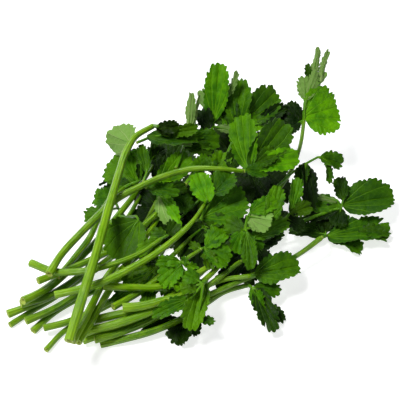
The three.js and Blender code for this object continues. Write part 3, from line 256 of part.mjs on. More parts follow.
      { shape: 0, tone: 0.58, root: [-33.48, -47.85, 29.41, 0.83], net: [[-31.09, -43.98, 32.67], [-33.36, -45.04, 31.16], [-35.65, -46.13, 29.74], [-37.98, -47.24, 28.4], [-32.54, -41.31, 33.21], [-34.65, -42.24, 31.35], [-36.95, -43.33, 29.93], [-39.43, -44.57, 28.93], [-33.84, -38.48, 33.39], [-35.87, -39.36, 31.36], [-38.17, -40.46, 29.93], [-40.73, -41.77, 29.1], [-34.88, -35.44, 33.01], [-36.95, -36.36, 31.06], [-39.25, -37.46, 29.63], [-41.78, -38.74, 28.71]] },
      { shape: 2, tone: 0.55, root: [-33.48, -47.85, 29.41, 0.83], net: [[-41.87, -44.54, 26.26], [-42.24, -47.0, 24.39], [-42.74, -49.61, 22.83], [-43.36, -52.36, 21.58], [-49.05, -42.73, 25.56], [-49.29, -45.09, 23.21], [-49.77, -47.69, 21.64], [-50.49, -50.51, 20.86], [-55.99, -40.81, 24.07], [-56.17, -43.12, 21.49], [-56.63, -45.71, 19.91], [-57.39, -48.55, 19.35], [-62.59, -38.72, 21.34], [-62.78, -41.03, 18.85], [-63.23, -43.61, 17.26], [-63.94, -46.43, 16.59]] },
      { shape: 0, tone: 0.4, root: [-33.48, -47.85, 29.41, 0.83], net: [[-45.5, -58.96, 15.28], [-44.0, -57.45, 15.45], [-42.5, -55.95, 15.68], [-40.99, -54.43, 15.98], [-43.55, -61.16, 15.39], [-42.02, -59.63, 15.27], [-40.52, -58.13, 15.5], [-39.03, -56.65, 16.09], [-41.57, -63.31, 15.14], [-40.03, -61.78, 14.88], [-38.52, -60.28, 15.11], [-37.04, -58.83, 15.84], [-39.56, -65.41, 14.33], [-38.02, -63.89, 14.13], [-36.51, -62.4, 14.36], [-35.01, -60.94, 15.03]] },
      { shape: 0, tone: 0.45, root: [-33.48, -47.85, 29.41, 0.83], net: [[-35.75, -42.12, 30.23], [-36.4, -44.64, 29.36], [-37.07, -47.17, 28.58], [-37.76, -49.69, 27.87], [-38.53, -41.27, 29.82], [-39.06, -43.71, 28.6], [-39.72, -46.23, 27.81], [-40.52, -48.85, 27.46], [-41.18, -40.33, 29.04], [-41.65, -42.73, 27.65], [-42.31, -45.26, 26.87], [-43.15, -47.91, 26.69], [-43.65, -39.26, 27.69], [-44.15, -41.68, 26.38], [-44.8, -44.21, 25.6], [-45.61, -46.84, 25.34]] },
    ],
  },
  leaf_22: {
    joins: "stem_14",
    stalks: [[[-42.12, -43.75, 4.97, 0.84], [-43.22, -44.32, 4.57, 0.75], [-44.31, -44.9, 4.17, 0.66]]],
    leaflets: [
      { shape: 0, tone: 0.1, root: [-44.31, -44.9, 4.17, 0.66], net: [[-47.81, -38.11, 2.06], [-45.56, -42.8, 3.03], [-43.3, -47.37, 4.05], [-41.03, -51.82, 5.1], [-51.84, -41.92, 2.4], [-49.5, -46.45, 2.57], [-47.22, -50.95, 3.55], [-45.01, -55.44, 5.33], [-55.74, -45.6, 1.99], [-53.34, -50.01, 1.75], [-51.05, -54.44, 2.69], [-48.86, -58.92, 4.81], [-59.47, -49.1, 0.41], [-57.07, -53.44, 0.29], [-54.76, -57.81, 1.2], [-52.54, -62.21, 3.12]] },
      { shape: 1, tone: 0.75, root: [-44.31, -44.9, 4.17, 0.66], net: [[-51.54, -47.93, 0.3], [-49.76, -47.56, 0.33], [-48.0, -47.29, 0.47], [-46.27, -47.11, 0.73], [-51.61, -45.02, 0.94], [-50.06, -44.77, 1.25], [-48.32, -44.51, 1.42], [-46.37, -44.24, 1.44], [-51.93, -42.2, 1.87], [-50.5, -42.01, 2.33], [-48.76, -41.76, 2.52], [-46.72, -41.45, 2.43], [-52.63, -39.54, 3.23], [-51.16, -39.34, 3.67], [-49.43, -39.1, 3.88], [-47.44, -38.82, 3.86]] },
      { shape: 1, tone: 0.6, root: [-44.31, -44.9, 4.17, 0.66], net: [[-50.95, -49.93, 0.57], [-50.1, -48.38, 0.38], [-49.34, -46.97, 0.38], [-48.68, -45.7, 0.59], [-53.08, -48.85, 0.41], [-52.31, -47.35, 0.38], [-51.56, -45.94, 0.39], [-50.83, -44.63, 0.44], [-55.31, -47.82, 0.46], [-54.58, -46.34, 0.51], [-53.83, -44.93, 0.53], [-53.07, -43.6, 0.5], [-57.68, -46.87, 0.87], [-56.95, -45.39, 0.89], [-56.21, -43.98, 0.91], [-55.46, -42.65, 0.92]] },
      { shape: 0, tone: 0.15, root: [-44.16, -44.82, 4.23, 0.67], net: [[-48.07, -47.24, 3.85], [-44.88, -46.6, 3.85], [-41.67, -45.98, 3.95], [-38.42, -45.36, 4.15], [-47.98, -50.66, 3.7], [-44.8, -49.97, 3.26], [-41.59, -49.36, 3.35], [-38.36, -48.82, 3.99], [-47.89, -53.99, 3.09], [-44.72, -53.28, 2.44], [-41.52, -52.68, 2.53], [-38.29, -52.18, 3.37], [-47.8, -57.18, 1.78], [-44.64, -56.5, 1.23], [-41.45, -55.91, 1.32], [-38.23, -55.41, 2.06]] },
      { shape: 0, tone: 0.15, root: [-43.68, -44.57, 4.4, 0.71], net: [[-42.14, -39.74, 3.26], [-43.55, -42.48, 3.69], [-44.49, -44.54, 3.26], [-44.98, -45.95, 1.96], [-49.64, -36.77, 3.31], [-51.03, -39.56, 3.47], [-52.0, -41.68, 3.13], [-52.54, -43.16, 2.26], [-57.1, -33.85, 2.62], [-58.47, -36.68, 2.69], [-59.45, -38.87, 2.43], [-60.04, -40.42, 1.83], [-64.48, -30.93, 0.72], [-65.85, -33.83, 0.94], [-66.84, -36.07, 0.76], [-67.45, -37.69, 0.17]] },
    ],
  },
  leaf_23: {
    joins: "stem_19",
    stalks: [[[-22.05, 4.32, 9.09, 0.88], [-27.1, -0.44, 11.85, 0.82], [-32.68, -5.74, 14.98, 0.76], [-38.22, -11.04, 18.17, 0.69]]],
    leaflets: [
      { shape: 2, tone: 0.35, root: [-38.22, -11.04, 18.17, 0.69], net: [[-37.77, -6.66, 18.17], [-38.69, -10.46, 17.05], [-39.63, -14.24, 16.05], [-40.59, -18.01, 15.19], [-44.94, -4.9, 17.24], [-45.71, -8.59, 15.6], [-46.62, -12.37, 14.61], [-47.67, -16.25, 14.28], [-51.87, -2.98, 15.52], [-52.55, -6.62, 13.63], [-53.44, -10.4, 12.65], [-54.53, -14.33, 12.58], [-58.47, -0.81, 12.54], [-59.15, -4.47, 10.78], [-60.01, -8.25, 9.81], [-61.04, -12.15, 9.62]] },
      { shape: 0, tone: 0.3, root: [-38.22, -11.04, 18.17, 0.69], net: [[-43.17, -11.62, 16.17], [-40.01, -12.73, 16.63], [-36.88, -13.9, 17.25], [-33.79, -15.15, 18.04], [-45.38, -18.25, 15.28], [-42.2, -19.24, 15.29], [-39.11, -20.42, 15.92], [-36.09, -21.79, 17.18], [-47.48, -24.57, 13.7], [-44.32, -25.52, 13.5], [-41.25, -26.71, 14.15], [-38.29, -28.14, 15.65], [-49.45, -30.5, 11.02], [-46.33, -31.48, 10.94], [-43.29, -32.68, 11.61], [-40.36, -34.09, 13.02]] },
      { shape: 2, tone: 0.4, root: [-38.22, -11.04, 18.17, 0.69], net: [[-42.9, -9.48, 14.71], [-41.65, -12.55, 15.29], [-40.06, -14.99, 15.2], [-38.07, -16.85, 14.41], [-51.95, -17.82, 14.29], [-50.68, -20.79, 14.51], [-49.1, -23.2, 14.44], [-47.19, -25.09, 14.05], [-60.6, -25.78, 13.02], [-59.31, -28.69, 13.1], [-57.76, -31.07, 13.04], [-55.9, -32.96, 12.84], [-68.76, -33.28, 10.27], [-67.5, -36.16, 10.49], [-65.97, -38.52, 10.46], [-64.13, -40.38, 10.18]] },
      { shape: 0, tone: 0.4, root: [-38.22, -11.04, 18.17, 0.69], net: [[-41.35, -9.26, 16.03], [-41.53, -12.33, 14.94], [-41.75, -15.41, 13.98], [-42.0, -18.51, 13.16], [-51.51, -9.29, 15.23], [-51.58, -12.26, 13.66], [-51.76, -15.32, 12.7], [-52.07, -18.45, 12.35], [-61.31, -9.2, 13.48], [-61.3, -12.11, 11.68], [-61.46, -15.14, 10.71], [-61.78, -18.28, 10.59], [-70.64, -8.91, 10.18], [-70.63, -11.8, 8.48], [-70.76, -14.8, 7.51], [-71.04, -17.9, 7.27]] },
      { shape: 0, tone: 0.2, root: [-37.95, -10.78, 18.01, 0.69], net: [[-32.88, -7.63, 18.53], [-36.34, -9.73, 18.02], [-39.74, -11.76, 17.54], [-43.09, -13.74, 17.09], [-34.22, -3.47, 18.81], [-37.56, -5.48, 17.85], [-40.98, -7.54, 17.38], [-44.46, -9.66, 17.39], [-35.44, 0.87, 18.59], [-38.73, -1.12, 17.42], [-42.15, -3.21, 16.96], [-45.71, -5.42, 17.19], [-36.45, 5.46, 17.58], [-39.79, 3.4, 16.54], [-43.22, 1.27, 16.09], [-46.76, -0.93, 16.22]] },
    ],
  },
  leaf_24: {
    joins: "stem_26",
    stalks: [[[92.81, 17.92, 40.75, 1.03], [95.31, 21.29, 45.6, 0.98], [98.83, 24.17, 50.19, 0.93]]],
    leaflets: [
      { shape: 1, tone: 0.72, root: [98.45, 23.89, 49.74, 0.94], net: [[96.39, 27.31, 50.14], [97.72, 24.87, 50.01], [99.23, 22.58, 49.69], [100.9, 20.42, 49.19], [100.85, 29.68, 54.72], [101.38, 26.61, 55.41], [102.88, 24.31, 55.09], [105.35, 22.79, 53.77], [104.91, 31.73, 59.68], [105.06, 28.36, 60.76], [106.55, 26.07, 60.43], [109.39, 24.85, 58.71], [108.42, 33.36, 65.17], [108.75, 30.13, 66.06], [110.24, 27.84, 65.73], [112.89, 26.48, 64.19]] },
      { shape: 1, tone: 0.6, root: [98.83, 24.17, 50.19, 0.93], net: [[105.65, 30.97, 59.18], [106.75, 29.27, 59.35], [107.96, 27.67, 59.41], [109.29, 26.15, 59.36], [109.35, 34.13, 64.14], [109.92, 32.05, 64.83], [111.13, 30.44, 64.89], [112.98, 29.31, 64.31], [112.76, 37.07, 69.37], [113.07, 34.81, 70.31], [114.28, 33.2, 70.36], [116.38, 32.25, 69.53], [115.76, 39.72, 74.99], [116.19, 37.54, 75.8], [117.39, 35.93, 75.85], [119.37, 34.89, 75.13]] },
      { shape: 1, tone: 0.74, root: [98.83, 24.17, 50.19, 0.93], net: [[98.54, 26.56, 52.79], [99.75, 24.88, 51.72], [101.01, 23.38, 50.48], [102.33, 22.05, 49.07], [104.39, 28.44, 55.72], [105.35, 25.95, 55.36], [106.62, 24.45, 54.12], [108.2, 23.92, 52.0], [110.14, 29.92, 59.02], [110.99, 27.05, 59.0], [112.26, 25.54, 57.76], [113.97, 25.39, 55.3], [115.74, 30.84, 62.83], [116.65, 28.15, 62.64], [117.93, 26.64, 61.41], [119.58, 26.31, 59.12]] },
      { shape: 3, tone: 0.6, root: [98.83, 24.17, 50.19, 0.93], net: [[108.02, 26.2, 58.78], [109.48, 25.3, 58.26], [110.98, 24.53, 57.62], [112.5, 23.89, 56.89], [112.4, 29.79, 63.16], [113.77, 28.33, 63.11], [115.27, 27.56, 62.48], [116.9, 27.49, 61.28], [116.73, 33.08, 67.82], [118.06, 31.35, 67.98], [119.56, 30.58, 67.36], [121.24, 30.78, 65.95], [120.99, 35.91, 72.86], [122.34, 34.32, 72.92], [123.85, 33.55, 72.3], [125.52, 33.62, 71.0]] },
      { shape: 0, tone: 0.78, root: [98.83, 24.17, 50.19, 0.93], net: [[94.94, 27.64, 49.2], [97.48, 25.27, 49.93], [100.12, 23.01, 50.53], [102.88, 20.86, 50.98], [96.99, 30.93, 52.16], [98.99, 28.11, 53.55], [101.63, 25.85, 54.14], [104.92, 24.14, 53.93], [98.71, 33.96, 55.52], [100.45, 30.91, 57.21], [103.09, 28.64, 57.8], [106.64, 27.15, 57.28], [99.96, 36.58, 59.45], [101.82, 33.64, 60.99], [104.47, 31.37, 61.57], [107.89, 29.77, 61.2]] },
      { shape: 1, tone: 0.3, root: [98.83, 24.17, 50.19, 0.93], net: [[107.52, 26.31, 58.19], [106.15, 27.4, 57.67], [104.72, 28.44, 57.22], [103.23, 29.43, 56.86], [108.51, 29.14, 61.29], [107.42, 30.46, 60.42], [105.99, 31.5, 59.98], [104.22, 32.26, 59.96], [109.71, 32.14, 64.13], [108.75, 33.58, 63.09], [107.32, 34.62, 62.65], [105.43, 35.27, 62.81], [111.23, 35.42, 66.58], [110.21, 36.8, 65.63], [108.78, 37.84, 65.18], [106.94, 38.55, 65.26]] },
      { shape: 0, tone: 0.72, root: [93.56, 19.1, 42.43, 1.01], net: [[90.62, 7.98, 31.98], [92.31, 15.79, 38.72], [93.84, 23.19, 45.91], [95.23, 30.21, 53.54], [97.65, 4.35, 34.32], [100.03, 13.96, 39.07], [101.57, 21.38, 46.27], [102.28, 26.62, 55.93], [105.21, 1.92, 35.3], [107.91, 12.4, 39.12], [109.46, 19.84, 46.33], [109.85, 24.24, 56.96], [113.5, 1.28, 34.28], [116.05, 11.37, 38.56], [117.6, 18.82, 45.79], [118.15, 23.65, 55.98]] },
      { shape: 0, tone: 0.1, root: [92.81, 17.92, 40.75, 1.03], net: [[97.87, 23.07, 42.47], [93.2, 19.27, 40.12], [88.32, 15.35, 38.24], [83.25, 11.29, 36.82], [92.37, 29.99, 43.95], [88.82, 26.87, 39.75], [83.99, 22.93, 37.82], [77.87, 18.17, 38.13], [87.78, 37.61, 43.83], [84.77, 34.8, 38.74], [79.98, 30.85, 36.76], [73.39, 25.75, 37.87], [84.59, 46.25, 41.3], [81.36, 43.25, 36.59], [76.6, 39.29, 34.58], [70.3, 34.34, 35.23]] },
      { shape: 0, tone: 0.12, root: [92.81, 17.92, 40.75, 1.03], net: [[91.53, 23.98, 42.85], [90.64, 20.46, 41.05], [89.73, 16.92, 39.36], [88.8, 13.36, 37.79], [88.23, 24.51, 42.69], [87.48, 21.18, 40.39], [86.57, 17.64, 38.71], [85.51, 13.89, 37.63], [85.05, 25.21, 42.08], [84.37, 21.97, 39.56], [83.48, 18.43, 37.88], [82.36, 14.6, 37.04], [82.07, 26.16, 40.82], [81.37, 22.88, 38.41], [80.48, 19.34, 36.73], [79.4, 15.55, 35.78]] },
      { shape: 0, tone: 0.1, root: [92.81, 17.92, 40.75, 1.03], net: [[96.2, 16.73, 42.89], [93.44, 17.55, 40.83], [90.69, 18.38, 38.78], [87.94, 19.21, 36.76], [95.95, 21.42, 45.16], [93.36, 22.49, 42.71], [90.6, 23.33, 40.66], [87.68, 23.94, 39.0], [95.9, 26.43, 46.98], [93.38, 27.63, 44.33], [90.63, 28.48, 42.27], [87.63, 29.0, 40.78], [96.17, 31.94, 48.06], [93.62, 33.09, 45.5], [90.87, 33.96, 43.42], [87.91, 34.55, 41.83]] },
    ],
  },
  leaf_25: {
    joins: null,
    stalks: [[[32.32, -6.0, 12.26, 1.03], [40.3, -5.96, 16.54, 0.98], [48.35, -5.7, 20.68, 0.93], [56.44, -5.43, 24.75, 0.88], [64.51, -5.87, 28.83, 0.83], [72.31, -7.81, 32.97, 0.78], [79.68, -10.92, 37.2, 0.73]]],
    leaflets: [
      { shape: 0, tone: 0.48, root: [79.68, -10.92, 37.2, 0.73], net: [[76.52, -14.74, 34.77], [79.32, -12.59, 36.25], [82.08, -10.55, 37.97], [84.82, -8.64, 39.94], [79.78, -18.42, 34.51], [82.82, -15.66, 34.9], [85.59, -13.64, 36.62], [88.11, -12.34, 39.67], [83.32, -21.39, 32.97], [86.48, -18.34, 32.85], [89.26, -16.32, 34.57], [91.67, -15.32, 38.13], [87.28, -23.25, 29.46], [90.39, -20.35, 29.59], [93.18, -18.33, 31.31], [95.66, -17.2, 34.62]] },
      { shape: 0, tone: 0.08, root: [72.95, -8.04, 33.33, 0.78], net: [[66.58, -6.72, 35.15], [70.47, -7.3, 34.2], [74.41, -8.0, 33.37], [78.39, -8.81, 32.66], [63.1, -14.06, 30.03], [66.92, -14.16, 28.47], [70.83, -14.87, 27.63], [74.83, -16.21, 27.51], [59.58, -20.62, 24.12], [63.36, -20.5, 22.26], [67.25, -21.23, 21.41], [71.24, -22.83, 21.55], [56.0, -26.0, 16.93], [59.76, -26.01, 15.19], [63.63, -26.77, 14.32], [67.59, -28.27, 14.32]] },
      { shape: 3, tone: 0.42, root: [79.68, -10.92, 37.2, 0.73], net: [[79.68, -14.76, 36.83], [81.74, -14.8, 36.24], [83.83, -14.88, 35.69], [85.94, -14.99, 35.19], [77.98, -18.75, 34.47], [79.98, -18.62, 33.64], [82.06, -18.7, 33.09], [84.22, -19.0, 32.81], [76.2, -22.39, 31.71], [78.16, -22.18, 30.77], [80.23, -22.27, 30.22], [82.41, -22.66, 30.04], [74.27, -25.5, 28.32], [76.24, -25.34, 27.42], [78.3, -25.44, 26.86], [80.45, -25.8, 26.63]] },
      { shape: 0, tone: 0.3, root: [72.95, -8.04, 33.33, 0.78], net: [[70.67, -4.01, 34.1], [72.25, -6.64, 33.8], [73.78, -9.29, 33.62], [75.24, -11.98, 33.55], [67.11, -6.2, 32.0], [68.95, -8.64, 31.22], [70.48, -11.29, 31.04], [71.68, -14.15, 31.46], [63.83, -8.19, 29.39], [65.8, -10.54, 28.37], [67.33, -13.19, 28.2], [68.41, -16.12, 28.86], [60.99, -9.88, 25.99], [62.9, -12.27, 25.09], [64.43, -14.9, 24.92], [65.58, -17.79, 25.47]] },
    ],
  },
  leaf_26: {
    joins: null,
    stalks: [[[25.36, -26.24, 13.94, 0.95], [31.42, -28.57, 17.69, 0.88], [37.37, -30.05, 21.99, 0.82], [43.89, -29.5, 25.6, 0.76]]],
    leaflets: [
      { shape: 1, tone: 0.66, root: [43.19, -29.64, 25.33, 0.77], net: [[47.28, -32.1, 23.06], [44.8, -30.63, 23.97], [42.35, -29.27, 25.01], [39.93, -28.03, 26.15], [52.48, -28.11, 27.25], [49.96, -26.09, 27.54], [47.49, -24.74, 28.57], [45.07, -24.05, 30.35], [57.73, -23.63, 30.99], [55.17, -21.35, 30.97], [52.68, -20.0, 32.01], [50.26, -19.58, 34.09], [63.01, -18.44, 34.02], [60.44, -16.3, 34.16], [57.93, -14.95, 35.19], [55.47, -14.41, 37.14]] },
      { shape: 0, tone: 0.3, root: [42.84, -29.71, 25.18, 0.77], net: [[41.87, -33.89, 22.92], [42.49, -31.26, 24.23], [43.1, -28.66, 25.63], [43.71, -26.09, 27.12], [46.75, -34.81, 23.46], [47.42, -31.99, 24.41], [48.04, -29.39, 25.81], [48.61, -26.99, 27.67], [51.73, -35.48, 23.48], [52.43, -32.56, 24.26], [53.06, -29.95, 25.67], [53.62, -27.64, 27.7], [56.85, -35.73, 22.68], [57.55, -32.86, 23.56], [58.19, -30.24, 24.97], [58.76, -27.88, 26.92]] },
      { shape: 0, tone: 0.1, root: [39.82, -30.07, 23.59, 0.8], net: [[34.95, -32.47, 22.48], [38.11, -30.91, 23.16], [41.29, -29.38, 23.95], [44.49, -27.86, 24.86], [36.63, -36.09, 21.91], [39.83, -34.4, 22.13], [43.01, -32.88, 22.92], [46.17, -31.52, 24.28], [38.34, -39.54, 20.85], [41.57, -37.8, 20.84], [44.75, -36.28, 21.62], [47.88, -35.0, 23.21], [40.12, -42.74, 19.01], [43.34, -41.04, 19.1], [46.52, -39.54, 19.88], [49.67, -38.24, 21.36]] },
    ],
  },
  leaf_27: {
    joins: null,
    stalks: [[[9.8, -23.39, 11.67, 1.17], [18.69, -23.91, 11.82, 1.14], [27.55, -24.86, 11.95, 1.11], [36.32, -26.44, 12.08, 1.08], [45.07, -28.13, 12.21, 1.04], [53.88, -29.48, 12.33, 1.01], [62.69, -30.84, 12.45, 0.98], [71.42, -32.63, 12.57, 0.95], [80.08, -34.74, 12.69, 0.91]]],
    leaflets: [
      { shape: 1, tone: 0.42, root: [80.08, -34.74, 12.69, 0.91], net: [[73.87, -45.32, 11.13], [78.4, -37.78, 12.44], [83.03, -30.1, 14.11], [87.77, -22.28, 16.15], [84.66, -49.29, 12.05], [89.38, -41.47, 11.92], [94.12, -33.8, 13.6], [98.92, -26.25, 17.1], [95.65, -53.09, 11.82], [100.51, -45.14, 11.0], [105.38, -37.47, 12.69], [110.26, -30.05, 16.88], [106.87, -56.6, 9.84], [111.84, -48.73, 9.37], [116.83, -41.05, 11.06], [121.85, -33.57, 14.92]] },
      { shape: 0, tone: 0.28, root: [80.08, -34.74, 12.69, 0.91], net: [[87.05, -35.05, 15.98], [84.33, -33.63, 15.66], [81.58, -32.24, 15.47], [78.8, -30.9, 15.39], [89.69, -30.67, 18.44], [87.08, -29.07, 17.57], [84.32, -27.68, 17.37], [81.4, -26.51, 17.85], [92.51, -26.02, 20.26], [89.95, -24.33, 19.13], [87.18, -22.94, 18.93], [84.19, -21.85, 19.67], [95.61, -20.99, 21.07], [93.01, -19.33, 20.06], [90.22, -17.93, 19.86], [87.25, -16.8, 20.47]] },
      { shape: 0, tone: 0.52, root: [80.08, -34.74, 12.69, 0.91], net: [[84.91, -29.63, 15.44], [82.04, -32.57, 14.08], [79.16, -35.51, 12.91], [76.3, -38.45, 11.94], [79.0, -24.68, 16.28], [76.28, -27.45, 14.06], [73.43, -30.41, 12.9], [70.44, -33.56, 12.77], [73.23, -19.51, 16.15], [70.6, -22.2, 13.53], [67.76, -25.18, 12.36], [64.73, -28.45, 12.64], [67.69, -13.99, 14.54], [65.05, -16.75, 12.11], [62.23, -19.75, 10.94], [59.25, -22.99, 11.02]] },
      { shape: 1, tone: 0.35, root: [80.08, -34.74, 12.69, 0.91], net: [[78.36, -32.74, 14.53], [79.67, -31.79, 15.4], [81.01, -30.79, 16.17], [82.39, -29.75, 16.84], [75.27, -28.83, 14.73], [76.45, -28.05, 16.06], [77.79, -27.05, 16.83], [79.3, -25.83, 17.05], [72.02, -25.13, 15.5], [73.14, -24.43, 17.04], [74.48, -23.42, 17.81], [76.04, -22.11, 17.82], [68.51, -21.76, 17.13], [69.66, -21.02, 18.57], [71.0, -20.0, 19.35], [72.53, -18.73, 19.46]] },
      { shape: 0, tone: 0.1, root: [77.74, -34.15, 12.66, 0.92], net: [[80.8, -29.98, 13.25], [78.76, -33.13, 12.54], [76.72, -36.26, 11.97], [74.68, -39.39, 11.52], [73.96, -27.03, 13.44], [72.0, -30.11, 12.24], [69.98, -33.26, 11.67], [67.91, -36.47, 11.73], [67.23, -23.99, 12.83], [65.32, -27.04, 11.39], [63.34, -30.19, 10.82], [61.27, -33.44, 11.12], [60.68, -20.76, 10.94], [58.78, -23.84, 9.62], [56.82, -27.0, 9.06], [54.79, -30.25, 9.25]] },
      { shape: 0, tone: 0.14, root: [80.08, -34.74, 12.69, 0.91], net: [[76.66, -30.7, 12.87], [78.67, -33.73, 12.55], [80.65, -36.76, 12.35], [82.62, -39.79, 12.26], [72.96, -33.46, 12.61], [75.0, -36.41, 11.81], [76.98, -39.42, 11.6], [78.91, -42.49, 12.0], [69.35, -36.1, 11.78], [71.41, -39.01, 10.75], [73.39, -42.0, 10.55], [75.29, -45.08, 11.18], [65.87, -38.61, 10.08], [67.92, -41.51, 9.16], [69.9, -44.49, 8.97], [71.8, -47.54, 9.49]] },
    ],
  },
  leaf_28: {
    joins: "stem_25",
    stalks: [[[52.21, -48.46, 14.76, 1.2], [58.27, -45.05, 9.5, 1.05], [64.55, -41.59, 4.15, 0.9]]],
    leaflets: [
      { shape: 2, tone: 0.45, root: [61.6, -43.21, 6.65, 0.97], net: [[56.34, -51.37, 5.83], [59.92, -46.19, 6.16], [63.58, -40.93, 6.74], [67.3, -35.57, 7.57], [68.19, -57.25, 6.84], [71.93, -52.03, 6.14], [75.67, -46.8, 6.72], [79.44, -41.54, 8.59], [80.19, -63.1, 6.76], [84.05, -57.88, 5.57], [87.89, -52.67, 6.16], [91.73, -47.47, 8.52], [92.38, -68.88, 5.01], [96.32, -63.7, 4.06], [100.26, -58.52, 4.65], [104.21, -53.34, 6.78]] },
      { shape: 0, tone: 0.42, root: [64.55, -41.59, 4.15, 0.9], net: [[60.48, -47.49, 3.64], [64.52, -45.08, 3.75], [68.62, -42.64, 4.03], [72.78, -40.17, 4.48], [62.87, -53.52, 4.04], [66.94, -51.11, 3.37], [71.03, -48.71, 3.65], [75.16, -46.32, 4.87], [65.27, -59.44, 3.6], [69.34, -57.05, 2.55], [73.43, -54.69, 2.83], [77.54, -52.35, 4.42], [67.68, -65.23, 1.85], [71.74, -62.88, 0.98], [75.83, -60.56, 1.25], [79.94, -58.25, 2.67]] },
      { shape: 0, tone: 0.25, root: [61.39, -43.32, 6.83, 0.98], net: [[66.23, -37.53, 8.01], [62.88, -40.67, 7.56], [59.6, -43.74, 7.22], [56.39, -46.77, 6.98], [61.2, -32.3, 8.57], [57.92, -35.41, 7.54], [54.66, -38.52, 7.2], [51.43, -41.63, 7.55], [56.22, -26.97, 8.3], [52.98, -30.09, 6.98], [49.74, -33.23, 6.64], [46.5, -36.4, 7.28], [51.3, -21.48, 6.71], [48.07, -24.65, 5.53], [44.85, -27.82, 5.19], [41.65, -31.01, 5.69]] },
      { shape: 0, tone: 0.42, root: [64.55, -41.59, 4.15, 0.9], net: [[65.44, -47.19, 4.29], [65.93, -43.4, 4.59], [66.41, -39.59, 5.0], [66.88, -35.74, 5.53], [71.29, -46.55, 5.21], [71.83, -42.69, 4.98], [72.33, -38.86, 5.4], [72.8, -35.04, 6.46], [77.26, -45.83, 5.41], [77.85, -41.93, 4.95], [78.37, -38.08, 5.37], [78.84, -34.27, 6.68], [83.39, -44.99, 4.51], [83.99, -41.09, 4.17], [84.54, -37.21, 4.59], [85.05, -33.37, 5.78]] },
      { shape: 0, tone: 0.36, root: [64.55, -41.59, 4.15, 0.9], net: [[75.18, -54.49, 6.12], [78.58, -51.95, 6.29], [82.02, -49.37, 6.6], [85.5, -46.77, 7.05], [78.6, -59.61, 6.42], [82.03, -57.06, 6.01], [85.47, -54.51, 6.32], [88.94, -51.98, 7.34], [82.02, -64.64, 5.97], [85.47, -62.1, 5.28], [88.93, -59.59, 5.59], [92.39, -57.1, 6.89], [85.47, -69.57, 4.36], [88.92, -67.07, 3.81], [92.39, -64.58, 4.11], [95.86, -62.11, 5.28]] },
      { shape: 0, tone: 0.12, root: [61.81, -43.09, 6.47, 0.97], net: [[67.07, -44.49, 7.43], [63.6, -43.1, 7.25], [60.14, -41.72, 7.17], [56.69, -40.36, 7.2], [69.73, -40.21, 8.43], [66.28, -38.77, 7.74], [62.8, -37.4, 7.66], [59.29, -36.08, 8.19], [72.49, -35.81, 8.8], [69.03, -34.34, 7.87], [65.53, -32.96, 7.79], [61.98, -31.66, 8.56], [75.35, -31.23, 8.2], [71.87, -29.78, 7.38], [68.34, -28.39, 7.3], [64.78, -27.08, 7.95]] },
    ],
  },
  leaf_29: {
    joins: "stem_24",
    stalks: [[[-0.0, -47.76, 14.34, 1.15], [1.23, -48.59, 14.69, 1.0], [2.45, -49.44, 15.07, 0.85]]],
    leaflets: [
      { shape: 0, tone: 0.36, root: [1.55, -48.8, 14.79, 0.96], net: [[-2.14, -56.78, 12.55], [0.42, -51.31, 13.89], [2.95, -45.89, 15.61], [5.43, -40.52, 17.71], [6.26, -60.13, 13.71], [9.06, -54.26, 13.82], [11.63, -48.84, 15.56], [13.98, -43.87, 18.91], [14.9, -63.15, 13.79], [17.83, -57.1, 13.33], [20.45, -51.68, 15.07], [22.78, -46.91, 19.03], [23.85, -65.67, 12.24], [26.79, -59.72, 12.07], [29.47, -54.31, 13.83], [31.89, -49.44, 17.51]] },
    ],
  },
  leaf_30: {
    joins: "stem_14",
    stalks: [[[-0.08, -46.49, 5.73, 1.15], [-1.45, -49.61, 8.15, 1.0], [-2.91, -52.85, 10.71, 0.86]]],
    leaflets: [
      { shape: 2, tone: 0.22, root: [-2.91, -52.85, 10.71, 0.86], net: [[-7.95, -52.92, 10.34], [-3.84, -53.74, 10.78], [0.23, -54.58, 11.45], [4.28, -55.41, 12.37], [-10.89, -62.66, 9.78], [-6.53, -63.38, 8.99], [-2.51, -64.22, 9.66], [1.2, -65.17, 11.78], [-13.53, -72.03, 8.39], [-9.08, -72.69, 7.0], [-5.1, -73.53, 7.66], [-1.58, -74.55, 10.36], [-15.78, -80.99, 5.72], [-11.43, -81.69, 4.6], [-7.49, -82.53, 5.25], [-3.95, -83.52, 7.66]] },
      { shape: 1, tone: 0.66, root: [-2.91, -52.85, 10.71, 0.86], net: [[-6.97, -51.46, 9.3], [-4.32, -52.5, 10.33], [-1.75, -53.54, 11.51], [0.74, -54.58, 12.86], [-8.65, -56.68, 9.04], [-5.64, -57.69, 9.32], [-3.08, -58.72, 10.5], [-0.97, -59.78, 12.58], [-10.06, -61.8, 8.3], [-6.89, -62.79, 8.21], [-4.35, -63.82, 9.39], [-2.42, -64.87, 11.82], [-11.09, -66.82, 6.84], [-8.02, -67.8, 6.92], [-5.49, -68.82, 8.09], [-3.49, -69.86, 10.34]] },
      { shape: 0, tone: 0.45, root: [-2.91, -52.85, 10.71, 0.86], net: [[-5.42, -56.76, 9.74], [-2.98, -54.36, 10.57], [-0.53, -51.99, 11.54], [1.93, -49.62, 12.63], [-1.78, -60.1, 9.54], [0.73, -57.55, 9.82], [3.19, -55.18, 10.78], [5.6, -53.0, 12.43], [1.92, -63.26, 8.73], [4.47, -60.64, 8.74], [6.95, -58.28, 9.7], [9.34, -56.19, 11.61], [5.73, -66.13, 6.95], [8.28, -63.55, 7.09], [10.77, -61.2, 8.05], [13.18, -59.08, 9.83]] },
